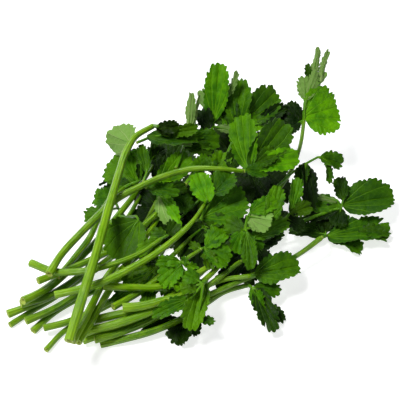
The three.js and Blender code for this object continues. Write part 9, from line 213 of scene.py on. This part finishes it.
def tube(mesh, points, rng, sides=20, step=1.4, ribs=9, rib=0.045, mat=0, cut=True, tone=0.5, taper_tip=1.0, ground=0.0):
    """A ribbed, slightly uneven stalk with a cut end."""
    Q, s = smooth_path(points, step)
    n = len(Q)
    P, R = Q[:, :3], Q[:, 3].copy()
    L = s[-1]
    # uneven thickness and a small flare where it was cut
    ph = rng.uniform(0, 6.28, 4)
    R *= 1 + 0.035 * np.sin(s / 9.0 + ph[0]) + 0.02 * np.sin(s / 3.7 + ph[1])
    if cut:
        R *= 1 + 0.10 * np.exp(-(s / 5.0) ** 2)
    t, S, U = frames(P)
    th = np.linspace(0, 2 * np.pi, sides, endpoint=False)
    twist = 0.35 * np.sin(s / 40.0 + ph[2]) + s * 0.004
    ang = th[None, :] + twist[:, None]
    rr = R[:, None] * (1 + rib * np.cos(ribs * th)[None, :] + 0.03 * np.cos(2 * th + ph[3])[None, :])
    V = P[:, None, :] + rr[..., None] * (np.cos(ang)[..., None] * S[:, None, :] + np.sin(ang)[..., None] * U[:, None, :])
    V[..., 2] = np.maximum(V[..., 2], ground)
    V = V.reshape(-1, 3)
    F, M = [], []
    for i in range(n - 1):
        for k in range(sides):
            a, b = i * sides + k, i * sides + (k + 1) % sides
            F.append((a, b, b + sides, a + sides))
            M.append(mat)
    A = np.stack([np.repeat(s, sides), np.tile(th / (2 * np.pi), n) * 10, np.full(n * sides, tone)], -1)
    B = np.stack([np.repeat(s / max(L, 1e-6), sides), np.repeat(R, sides), np.full(n * sides, rng.uniform(0, 50))], -1)
    sharp = np.zeros(n * sides, int)
    base = len(V)
    extra, eA, eB = [], [], []
    # cut end: a rim, a step in, and a sunken pale core
    rings = [(0.90, -0.10), (0.50, 0.12), (0.22, 0.55)] if cut else [(0.75, -0.18), (0.35, -0.30)]
    prev = list(range(sides))
    sharp[:sides] = 1 if cut else 0
    for q, (f, d) in enumerate(rings):
        ring = P[0] + t[0] * (d * R[0]) + (V[:sides] - P[0]) * f
        ring[:, 2] = np.maximum(ring[:, 2], ground)
        idx = list(range(base + len(extra), base + len(extra) + sides))
        extra += list(ring)
        eA += [[0, k, tone] for k in th / 6.28 * 10]
        eB += [[-0.5 - 0.1 * q, R[0], 0]] * sides
        for k in range(sides):
            F.append((prev[(k + 1) % sides], prev[k], idx[k], idx[(k + 1) % sides]))
            M.append(mat)
        prev = idx
    F.append(tuple(reversed(prev)))
    M.append(mat)
    prev = list(range((n - 1) * sides, n * sides))
    for q, (f, d) in enumerate([(0.8, 0.18), (0.4, 0.3)]):
        ring = P[-1] + t[-1] * (d * R[-1]) + (V[(n - 1) * sides : n * sides] - P[-1]) * f
        idx = list(range(base + len(extra), base + len(extra) + sides))
        extra += list(ring)
        eA += [[L, k, tone] for k in th / 6.28 * 10]
        eB += [[1, R[-1], 0]] * sides
        for k in range(sides):
            F.append((prev[k], prev[(k + 1) % sides], idx[(k + 1) % sides], idx[k]))
            M.append(mat)
        prev = idx
    F.append(tuple(prev))
    M.append(mat)
    V = np.vstack([V, np.array(extra)])
    A = np.vstack([A, np.array(eA)])
    B = np.vstack([B, np.array(eB)])
    sharp = np.r_[sharp, np.zeros(len(extra), int)]
    mesh.add(V, F, M, A, B, sharp)


LOBES = [0.13, 0.09, 0.34, 0.06]
TOOTH = 3.3  # mm along the margin from one tooth to the next
TOOTH_DEEP = 1.7  # mm


def margin(shape, phi, rng, Lm, Wm):
    """Distance of the toothed margin from the core, for each angle from the tip."""
    a = np.abs(phi)
    c, s = np.cos(phi), np.sin(phi)
    blunt = (2.9, 2.05, 2.3, 1.8)[shape] + rng.uniform(-0.15, 0.35)
    n = np.where(c > 0, blunt, 1.75)
    rho = 1 / (np.abs(c) ** n + np.abs(s) ** n) ** (1 / n)
    j = rng.uniform(-0.08, 0.08, 6)
    side = np.where(phi > 0, 1, -1)
    n1 = 0.74 + j[0] * side
    n2 = 1.62 + j[1] * side
    notch = np.exp(-(((a - n1) / 0.075) ** 2)) + 0.7 * np.exp(-(((a - n2) / 0.075) ** 2))
    r = rho * (1 - LOBES[shape] * notch * (1 + 3 * j[2]))
    r *= 1 + 0.03 * np.sin(2 * phi + j[3] * 40) + 0.02 * np.sin(3 * phi + j[4] * 40)
    # evenly spaced rounded teeth, measured along the margin, none at the wedge base
    x = r * c * 0.5 * Lm
    y = r * s * Wm
    seg = np.hypot(np.diff(np.r_[x, x[:1]]), np.diff(np.r_[y, y[:1]]))
    arc = np.r_[0, np.cumsum(seg)[:-1]]
    arc = arc + 0.35 * np.sin(arc / 5.3 + j[5] * 60) + 0.2 * np.sin(arc / 2.1 + j[4] * 60)
    pitch = TOOTH * np.clip((seg.sum() / 60) ** 0.35, 0.62, 1.1)
    p = (arc / pitch + j[5] * 6) % 1.0
    tooth = np.abs(np.sin(np.pi * p)) ** 0.75
    size = 0.75 + 0.25 * np.sin(arc / pitch * 2.3 + j[3] * 50)
    fade = 1 / (1 + np.exp((a - 2.35) / 0.12))
    reach = np.hypot(x, y)
    deep = TOOTH_DEEP * min(1.15, pitch / TOOTH)
    r = r * (1 + deep * fade * size * (tooth - 0.62) / np.maximum(reach, 2.0))
    return r


def leaflet(mesh, leaf, rng, upper, under, pale=0):
    net = np.array(leaf["net"], float)
    N4 = net.reshape(4, 4, 3)
    Lm = np.linalg.norm(N4[3].mean(0) - N4[0].mean(0))
    Wm = 0.5 * np.linalg.norm(N4[1:3, 3].mean(0) - N4[1:3, 0].mean(0))
    asp = Wm / Lm
    shape = leaf["shape"]
    phi = np.linspace(-np.pi, np.pi, ANGLES, endpoint=False)
    rho = margin(shape, phi, rng, Lm, Wm)
    c, s = np.cos(phi), np.sin(phi)
    eu = rho * c * np.where(c > 0, 1 - CORE, CORE)
    ev = rho * s
    # inner rings even out the teeth
    k = np.ones(9) / 9
    smooth = np.convolve(np.r_[rho[-4:], rho, rho[:4]], k, "valid")
    su = smooth * c * np.where(c > 0, 1 - CORE, CORE)
    sv = smooth * s
    U, V, RF, PH = [np.array([CORE])], [np.array([0.0])], [np.array([0.0])], [np.array([0.0])]
    for f in RINGS:
        w = max(0.0, (f - 0.55) / 0.45) ** 1.5
        U.append(CORE + f * (su * (1 - w) + eu * w))
        V.append(f * (sv * (1 - w) + ev * w))
        RF.append(np.full(ANGLES, f))
        PH.append(phi)
    u, v, rf, ph = map(np.concatenate, (U, V, RF, PH))
    p, nrm = net_point(net, u, v)
    # relief: folded midrib, raised panels between veins, lobes that lift or dip, ruffled rim
    x, y = u, v * asp
    ang = np.abs(np.arctan2(y, np.maximum(x, 1e-3)))
    A = math.atan2(asp, 0.42)
    r = np.hypot(x, y)
    fold = rng.uniform(0.08, 0.32) * Wm
    h = fold * np.abs(v) ** 0.8 * np.clip(u * 3, 0, 1)
    # shallow grooves along the palmate veins and the panels between their side veins
    bend = 0.10 * r * r
    veins = np.minimum.reduce([ang, np.abs(ang - 0.40 * A + bend), np.abs(ang - 0.82 * A + bend)]) * r
    h += 0.42 * (np.clip(veins * Lm / 2.6, 0, 1) ** 0.8) * np.clip(u * 4, 0, 1)
    side_v = np.sin((r - veins * 0.9) * Lm / 3.1 * 2 * np.pi + rng.uniform(0, 6))
    h += 0.15 * side_v * np.clip(veins * Lm / 1.6, 0, 1)
    q = rng.uniform(0, 6.28, 5)
    amp = rng.uniform(0.45, 1.05)
    h += amp * rf**2 * (np.sin(2 * ph + q[0]) * 0.7 + np.sin(3 * ph + q[1]) * 0.6 + 0.5 * np.sin(5 * ph + q[2]) * rf)
    h += 0.30 * rf**5 * np.sin(9 * ph + q[3])
    tip = rng.uniform(-1.6, 0.4)
    h += tip * np.clip(u - 0.6, 0, 1) ** 2 * 6 * 0.5
    P = p + nrm * h[:, None]
    thick = BLADE * (1 - 0.45 * rf**4)
    top = P + nrm * (thick / 2)[:, None]
    bot = P - nrm * (thick / 2)[:, None]
    low = np.minimum(0, bot[:, 2])
    top[:, 2] -= low - 0.02
    bot[:, 2] -= low
    n = len(u)
    verts = np.vstack([top, bot])
    F, M = [], []
    m = ANGLES
    for k in range(m):
        k2 = (k + 1) % m
        F.append((0, 1 + k, 1 + k2))
        M.append(upper)
        F.append((n, n + 1 + k2, n + 1 + k))
        M.append(under)
    for rI in range(len(RINGS) - 1):
        o, o2 = 1 + rI * m, 1 + (rI + 1) * m
        for k in range(m):
            k2 = (k + 1) % m
            F.append((o + k, o2 + k, o2 + k2, o + k2))
            # painted sheen: the pale underside colour on one half of the blade's top stands in for a sheen of light
            M.append(under if pale * phi[k] > 0.05 else upper)
            F.append((n + o + k, n + o + k2, n + o2 + k2, n + o2 + k))
            M.append(under)
    o = 1 + (len(RINGS) - 1) * m
    for k in range(m):
        k2 = (k + 1) % m
        F.append((o + k, n + o + k, n + o + k2, o + k2))
        M.append(under)
    seed = rng.uniform(0, 60)
    at = np.stack([x, v * asp, np.full(n, A)], -1)
    at2 = np.stack([np.full(n, leaf["tone"]), np.full(n, Lm), np.full(n, seed)], -1)
    sharp = np.zeros(2 * n, int)
    sharp[o : o + m] = 1
    sharp[n + o : n + o + m] = 2
    mesh.add(verts, F, M, np.vstack([at, at]), np.vstack([at2, at2]), sharp)
    return net, P


def surface_point(net, u, v=0.0):
    return net_point(net, np.array([u]), np.array([v]))[0][0]


# ---------------------------------------------------------------- materials
class Nodes:
    def __init__(self, name):
        self.mat = bpy.data.materials.new(name)
        self.mat.use_nodes = True
        self.t = self.mat.node_tree
        self.bsdf = self.t.nodes["Principled BSDF"]
        self.out = self.t.nodes["Material Output"]

    def new(self, kind, **props):
        n = self.t.nodes.new(kind)
        for k, v in props.items():
            setattr(n, k, v)
        return n

    def link(self, a, b):
        self.t.links.new(a, b)

    def put(self, sock, value):
        if hasattr(value, "links") or isinstance(value, bpy.types.NodeSocket):
            self.link(value, sock)
        else:
            sock.default_value = value

    def math(self, op, a, b=None, c=None, clamp=False):
        n = self.new("ShaderNodeMath", operation=op, use_clamp=clamp)
        for i, x in enumerate((a, b, c)):
            if x is not None:
                self.put(n.inputs[i], x)
        return n.outputs[0]

    def remap(self, x, a, b, c=0.0, d=1.0, smooth=True):
        n = self.new("ShaderNodeMapRange", interpolation_type="SMOOTHSTEP" if smooth else "LINEAR")
        self.put(n.inputs["Value"], x)
        n.inputs["From Min"].default_value, n.inputs["From Max"].default_value = a, b
        self.put(n.inputs["To Min"], c)
        self.put(n.inputs["To Max"], d)
        return n.outputs["Result"]

    def mix(self, fac, a, b, blend="MIX"):
        n = self.new("ShaderNodeMix", data_type="RGBA", blend_type=blend)
        self.put(n.inputs[0], fac)
        for i, x in ((6, a), (7, b)):
            if isinstance(x, tuple):
                n.inputs[i].default_value = (*x, 1)
            else:
                self.link(x, n.inputs[i])
        return n.outputs[2]

    def noise(self, vec, scale, detail=3, rough=0.55, out=0):
        n = self.new("ShaderNodeTexNoise")
        self.link(vec, n.inputs["Vector"])
        n.inputs["Scale"].default_value = scale
        n.inputs["Detail"].default_value = detail
        n.inputs["Roughness"].default_value = rough
        return n.outputs[out]

    def attr(self, name):
        n = self.new("ShaderNodeAttribute", attribute_name=name)
        s = self.new("ShaderNodeSeparateXYZ")
        self.link(n.outputs["Vector"], s.inputs[0])
        return n.outputs["Vector"], s.outputs

    def combine(self, x, y, z):
        n = self.new("ShaderNodeCombineXYZ")
        for i, q in enumerate((x, y, z)):
            self.put(n.inputs[i], q)
        return n.outputs[0]

    def bump(self, height, strength, distance):
        n = self.new("ShaderNodeBump")
        n.inputs["Strength"].default_value = strength
        n.inputs["Distance"].default_value = distance
        self.link(height, n.inputs["Height"])
        return n.outputs["Normal"]


def lin(r, g, b):
    f = lambda c: (c / 255 / 12.92) if c / 255 <= 0.04045 else ((c / 255 + 0.055) / 1.055) ** 2.4
    return (f(r), f(g), f(b))


def veins(g, p):
    """Mask of the veins (0 to 1), main and fine, from the leaflet's own coordinates."""
    (_, a), (_, b) = p
    x, y, A = a[0], a[1], a[2]
    ang = g.math("ABSOLUTE", g.math("ARCTAN2", y, g.math("MAXIMUM", x, 0.001)))
    r = g.math("SQRT", g.math("ADD", g.math("MULTIPLY", x, x), g.math("MULTIPLY", y, y)))
    bend = g.math("MULTIPLY", g.math("MULTIPLY", r, r), 0.10)
    wob = g.math("MULTIPLY", g.math("SUBTRACT", g.noise(g.combine(x, y, b[2]), 3.0, 2), 0.5), 0.10)
    width = g.remap(r, 0.0, 1.0, 0.022, 0.008, smooth=False)
    ds = []
    for k in (0.0, 0.40, 0.82):
        off = g.math("SUBTRACT", g.math("ADD", ang, wob), g.math("MULTIPLY", A, k))
        if k:
            off = g.math("ADD", off, bend)
        ds.append(g.math("MULTIPLY", g.math("ABSOLUTE", off), r))
    d = g.math("MINIMUM", g.math("MINIMUM", ds[0], ds[1]), ds[2])
    main = g.math("SUBTRACT", 1.0, g.math("DIVIDE", d, width, clamp=True), clamp=True)
    # side veins leave the nearest main vein forward, and fork towards the teeth
    phase = g.math("SUBTRACT", r, g.math("MULTIPLY", d, 0.9))
    reps = g.math("DIVIDE", b[1], 3.1)
    saw = g.math("FRACT", g.math("MULTIPLY", g.math("ADD", phase, g.math("MULTIPLY", wob, 0.25)), reps))
    tri = g.math("ABSOLUTE", g.math("SUBTRACT", saw, 0.5))
    side = g.math("SUBTRACT", 1.0, g.math("DIVIDE", tri, 0.13, clamp=True), clamp=True)
    side = g.math("MULTIPLY", side, g.remap(r, 0.12, 0.3))
    return main, side, d, r


def leaf_material(name, under):
    g = Nodes(name)
    p = (g.attr("lf"), g.attr("lg"))
    (va, a), (vb, b) = p
    # the tone is partly the leaflet's own colour and partly painted light and shade; the colours and the translucent
    # colour below all follow it
    tone, Lm, seed = b[0], b[1], b[2]
    pos = g.combine(g.math("MULTIPLY", a[0], Lm), g.math("MULTIPLY", a[1], Lm), seed)
    main, side, d, r = veins(g, p)
    soft = g.noise(pos, 0.16, 2)
    fine = g.noise(pos, 0.9, 4, 0.6)
    cell = g.new("ShaderNodeTexVoronoi", feature="DISTANCE_TO_EDGE")
    g.link(pos, cell.inputs["Vector"])
    cell.inputs["Scale"].default_value = 0.95
    net = g.remap(cell.outputs["Distance"], 0.0, 0.12, 1.0, 0.0)
    if under:
        base = g.mix(tone, lin(52, 100, 18), lin(126, 174, 66))
        base = g.mix(g.math("MULTIPLY", soft, 0.4), base, lin(150, 182, 112))
        base = g.mix(g.math("MULTIPLY", side, 0.22), base, lin(160, 192, 110))
        base = g.mix(g.math("MULTIPLY", main, 0.55), base, lin(186, 210, 132))
        rough, spec = 0.55, 0.25
    else:
        lift = g.math("POWER", tone, 1.5)
        hue = g.noise(g.combine(seed, seed, 0.0), 7.0, 1)
        # painted shade at the low end, where a leaflet of tone 0 is near black, and painted light at the high end
        dark = g.mix(lift, lin(0, 9, 0), lin(68, 138, 0))
        light = g.mix(lift, lin(1, 19, 0), lin(122, 200, 0))
        base = g.mix(g.remap(soft, 0.30, 0.70), dark, light)
        cool = g.math("MULTIPLY", g.remap(hue, 0.50, 0.62, 0.0, 0.26), g.math("SUBTRACT", 1.0, tone, clamp=True))
        base = g.mix(cool, base, g.mix(lift, lin(0, 14, 3), lin(16, 150, 28)))
        warm = g.math("MULTIPLY", g.remap(hue, 0.50, 0.40, 0.0, 0.35), tone)
        base = g.mix(warm, base, lin(140, 196, 0))
        # a touch of yellow towards the margin
        edge = g.remap(r, 0.55, 1.0, 0.0, 0.30)
        base = g.mix(g.math("MULTIPLY", edge, tone), base, lin(126, 196, 0))
        base = g.mix(g.math("MULTIPLY", net, g.math("MULTIPLY", tone, 0.12)), base, lin(70, 130, 4))
        base = g.mix(g.remap(fine, 0.35, 0.75, 0.0, 0.20), base, lin(8, 40, 0))
        base = g.mix(g.math("MULTIPLY", side, g.math("MULTIPLY", tone, 0.34)), base, lin(92, 156, 8))
        base = g.mix(g.math("MULTIPLY", main, g.math("MULTIPLY", tone, 0.8)), base, lin(120, 182, 24))
        rough, spec = 0.42, 0.13
    g.link(base, g.bsdf.inputs["Base Color"])
    g.link(g.remap(fine, 0.2, 0.8, rough - 0.08, rough + 0.12), g.bsdf.inputs["Roughness"])
    g.bsdf.inputs["Specular IOR Level"].default_value = spec
    sign = 1.0 if under else -1.0
    hh = g.math("MULTIPLY", main, 0.9 * sign)
    hh = g.math("ADD", hh, g.math("MULTIPLY", side, 0.38 * sign))
    hh = g.math("ADD", hh, g.math("MULTIPLY", net, 0.16 * sign))
    hh = g.math("ADD", hh, g.math("MULTIPLY", fine, 0.45))
    nrm = g.bump(hh, 0.9, 0.0004)
    g.link(nrm, g.bsdf.inputs["Normal"])
    # light that comes through the blade
    tr = g.new("ShaderNodeBsdfTranslucent")
    # its colour follows the tone, so it carries the painted light and shade too
    g.link(g.mix(g.math("POWER", tone, 1.5), lin(4, 20, 0), lin(112, 200, 0)), tr.inputs["Color"])
    g.link(nrm, tr.inputs["Normal"])
    mixs = g.new("ShaderNodeMixShader")
    mixs.inputs[0].default_value = 0.22
    g.link(g.bsdf.outputs[0], mixs.inputs[1])
    g.link(tr.outputs[0], mixs.inputs[2])
    g.link(mixs.outputs[0], g.out.inputs["Surface"])
    return g.mat


def stem_material(name, light, dark, pale):
    g = Nodes(name)
    va, a = g.attr("lf")
    vb, b = g.attr("lg")
    # the stem's tone, from dark to light green, is partly its own colour and partly painted light and shade
    s, th, tone = a[0], a[1], a[2]
    along, R, seed = b[0], b[1], b[2]
    # a round coordinate, so that nothing breaks at the seam
    turn = g.math("MULTIPLY", th, 2 * math.pi / 10)
    cx, cy = g.math("COSINE", turn), g.math("SINE", turn)
    long = g.combine(g.math("ADD", g.math("MULTIPLY", s, 0.03), seed), g.math("MULTIPLY", cx, 1.6), g.math("MULTIPLY", cy, 1.6))
    streak = g.noise(long, 2.2, 5, 0.62)
    fibre = g.noise(g.combine(g.math("ADD", g.math("MULTIPLY", s, 0.02), seed), g.math("MULTIPLY", cx, 5.0), g.math("MULTIPLY", cy, 5.0)), 2.0, 2)
    ln = g.remap(g.math("SINE", g.math("MULTIPLY", th, 2 * math.pi * 0.9)), -1, 1)
    spot = g.noise(g.combine(g.math("ADD", g.math("MULTIPLY", s, 0.16), seed), g.math("MULTIPLY", cx, 0.7), g.math("MULTIPLY", cy, 0.7)), 1.0, 3)
    base = g.mix(tone, dark, light)
    base = g.mix(g.remap(spot, 0.40, 0.62, 0.0, 0.45), base, g.mix(tone, light, pale))
    base = g.mix(g.remap(streak, 0.48, 0.68, 0.0, 0.60), base, pale)
    base = g.mix(g.remap(fibre, 0.46, 0.30, 0.0, 0.42), base, dark)
    base = g.mix(g.math("MULTIPLY", ln, 0.26), base, dark)
    # paler near the cut, and a fresh pale cut face
    base = g.mix(g.remap(along, 0.0, 0.16, 0.35, 0.0), base, pale)
    base = g.mix(g.remap(along, -0.05, -0.4, 0.0, 0.85), base, lin(168, 184, 78))
    base = g.mix(g.remap(along, -0.65, -0.75, 0.0, 0.6), base, lin(96, 116, 30))
    g.link(base, g.bsdf.inputs["Base Color"])
    g.link(g.remap(streak, 0.2, 0.8, 0.24, 0.40), g.bsdf.inputs["Roughness"])
    g.bsdf.inputs["Specular IOR Level"].default_value = 0.30
    g.bsdf.inputs["Subsurface Weight"].default_value = 0.10
    g.bsdf.inputs["Subsurface Radius"].default_value = (0.6, 1.0, 0.1)
    g.bsdf.inputs["Subsurface Scale"].default_value = 0.0012
    hh = g.math("ADD", g.math("MULTIPLY", ln, 0.5), g.math("MULTIPLY", fibre, 1.0))
    hh = g.math("ADD", hh, g.math("MULTIPLY", spot, 0.8))
    g.link(g.bump(hh, 0.7, 0.0003), g.bsdf.inputs["Normal"])
    return g.mat


upper = leaf_material("leaf_upper", False)
under = leaf_material("leaf_under", True)
stem_mat = stem_material("stem", lin(112, 162, 0), lin(46, 92, 0), lin(146, 186, 30))
stalk_mat = stem_material("stalk", lin(92, 156, 0), lin(40, 92, 0), lin(126, 180, 24))

# ---------------------------------------------------------------- pieces
# each stem's tone, partly its own colour and partly painted light and shade, set stem by stem
STEM_TONE_AND_SHADE = {
    "stem_01": 0.80, "stem_02": 0.85, "stem_03": 0.85, "stem_04": 0.55, "stem_05": 0.65, "stem_06": 0.45,
    "stem_07": 0.15, "stem_08": 0.35, "stem_09": 0.90, "stem_10": 1.0, "stem_11": 0.70, "stem_12": 0.80,
    "stem_13": 0.20, "stem_14": 0.35, "stem_15": 0.20, "stem_16": 0.75, "stem_17": 0.60, "stem_18": 0.50,
    "stem_19": 0.40, "stem_20": 0.45, "stem_21": 0.35, "stem_22": 0.60, "stem_23": 0.25, "stem_24": 0.70,
    "stem_25": 0.30, "stem_26": 0.35,
}

for index, (name, pts) in enumerate(STEMS.items()):
    rng = np.random.default_rng(100 + index)
    m = Mesh()
    tube(m, pts, rng, sides=24, step=1.3, ribs=8, rib=0.04, mat=0, tone=STEM_TONE_AND_SHADE.get(name, 0.5))
    ob = m.make("green_" + name, [stem_mat])
    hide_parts(name)
    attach(ob, "root")

# painted sheen: on these leaflets one half of the top, on the given side of the midrib, takes the pale underside
# colour as a sheen of light
SHEEN_HALF = {("leaf_12", 1): -1, ("leaf_09", 5): 0}

# leaflets whose tone is lifted one by one, which paints more light on them
SHADE = {
    ("leaf_18", 0): 0.46, ("leaf_15", 0): 0.58, ("leaf_24", 6): 0.90, ("leaf_21", 0): 0.60, ("leaf_12", 1): 1.0,
    ("leaf_10", 2): 1.0, ("leaf_09", 1): 0.42, ("leaf_10", 1): 0.42, ("leaf_17", 0): 0.62, ("leaf_17", 1): 0.70,
    ("leaf_20", 0): 0.74, ("leaf_20", 1): 0.66, ("leaf_20", 3): 0.66, ("leaf_04", 0): 0.50, ("leaf_04", 2): 0.62,
    ("leaf_29", 0): 0.50, ("leaf_28", 0): 0.48, ("leaf_28", 1): 0.46, ("leaf_08", 0): 0.78, ("leaf_14", 0): 0.92,
}

for index, (name, leaf) in enumerate(LEAVES.items()):
    for (who, k), value in SHADE.items():
        if who == name:
            leaf["leaflets"][k]["tone"] = value
    rng = np.random.default_rng(500 + index)
    m = Mesh()
    for st in leaf["stalks"]:
        tube(m, st, rng, sides=14, step=1.2, ribs=5, rib=0.05, mat=2, cut=False, tone=0.5)
    for k, lf in enumerate(leaf["leaflets"]):
        r2 = np.random.default_rng(9000 + 31 * index + k)
        leaflet(m, lf, r2, 0, 1, SHEEN_HALF.get((name, k), 0))
        net = lf["net"]
        a = np.array(lf["root"][:3])
        r0 = min(lf["root"][3], 0.9)
        pts = [[*a, r0]]
        for uu, rad in ((0.02, 0.62), (0.10, 0.50), (0.22, 0.36), (0.38, 0.24), (0.55, 0.15)):
            q, nn = net_point(np.array(net), np.array([uu]), np.array([0.0]))
            q = q[0] - nn[0] * 0.10
            if uu == 0.02 and np.linalg.norm(q - a) < 0.8:
                continue
            pts.append([*q, rad])
        tube(m, pts, r2, sides=10, step=1.0, ribs=3, rib=0.03, mat=2, cut=False, tone=0.6)
    ob = m.make("green_" + name, [upper, under, stalk_mat])
    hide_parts(name)
    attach(ob, "root")

# ---------------------------------------------------------------- stage, light, camera
floor_me = bpy.data.meshes.new("floor")
floor_me.from_pydata([(-3, -3, 0), (3, -3, 0), (3, 3, 0), (-3, 3, 0)], [], [(0, 1, 2, 3)])
floor = bpy.data.objects.new("floor", floor_me)
bpy.context.collection.objects.link(floor)
floor.location.z = -0.0002
g = Nodes("floor")
g.bsdf.inputs["Base Color"].default_value = (0.52, 0.525, 0.54, 1)
g.bsdf.inputs["Roughness"].default_value = 0.7
g.bsdf.inputs["Specular IOR Level"].default_value = 0.1
g.bsdf.inputs["Emission Color"].default_value = (1, 1, 1, 1)
g.bsdf.inputs["Emission Strength"].default_value = 0.72
floor_me.materials.append(g.mat)

scene = bpy.context.scene
world = bpy.data.worlds.new("studio")
scene.world = world
world.use_nodes = True
world.node_tree.nodes["Background"].inputs[0].default_value = (1, 1, 1, 1)
world.node_tree.nodes["Background"].inputs[1].default_value = 0.10


def area(name, loc, target, size, power, color=(1, 1, 1)):
    l = bpy.data.lights.new(name, "AREA")
    l.shape = "DISK"
    l.size = size
    l.energy = power
    l.color = color
    o = bpy.data.objects.new(name, l)
    bpy.context.collection.objects.link(o)
    o.location = loc
    o.rotation_euler = (Vector(target) - Vector(loc)).to_track_quat("-Z", "Y").to_euler()
    return o


CAM = Vector((-0.24892, -0.34162, 0.43120))
AIM = Vector((0.00900, 0.01339, 0.02200))
back = (CAM - AIM).normalized()
right = Vector((0, 0, 1)).cross(back).normalized()
away = Vector((-back.x, -back.y, 0)).normalized()


def place(r, f, z):
    """Metres to the camera's right, away from it along the floor, and up."""
    return AIM + right * r + away * f + Vector((0, 0, z))


area("key", place(-0.50, -0.15, 1.10), AIM, 0.42, 16.5, (1.0, 0.985, 0.95))
area("fill", place(0.75, -0.45, 0.8), AIM, 0.9, 1.2, (0.96, 0.98, 1.0))
area("back", place(-0.15, 0.95, 0.75), AIM, 0.35, 5.0, (0.95, 0.98, 1.0))

cam_data = bpy.data.cameras.new("camera")
cam = bpy.data.objects.new("camera", cam_data)
bpy.context.collection.objects.link(cam)
cam_data.sensor_width = 36
cam_data.lens = 90
cam_data.clip_start, cam_data.clip_end = 0.01, 20
cam.location = CAM
cam.rotation_euler = (AIM - CAM).to_track_quat("-Z", "Y").to_euler()
scene.camera = cam
scene.view_settings.view_transform = "Standard"
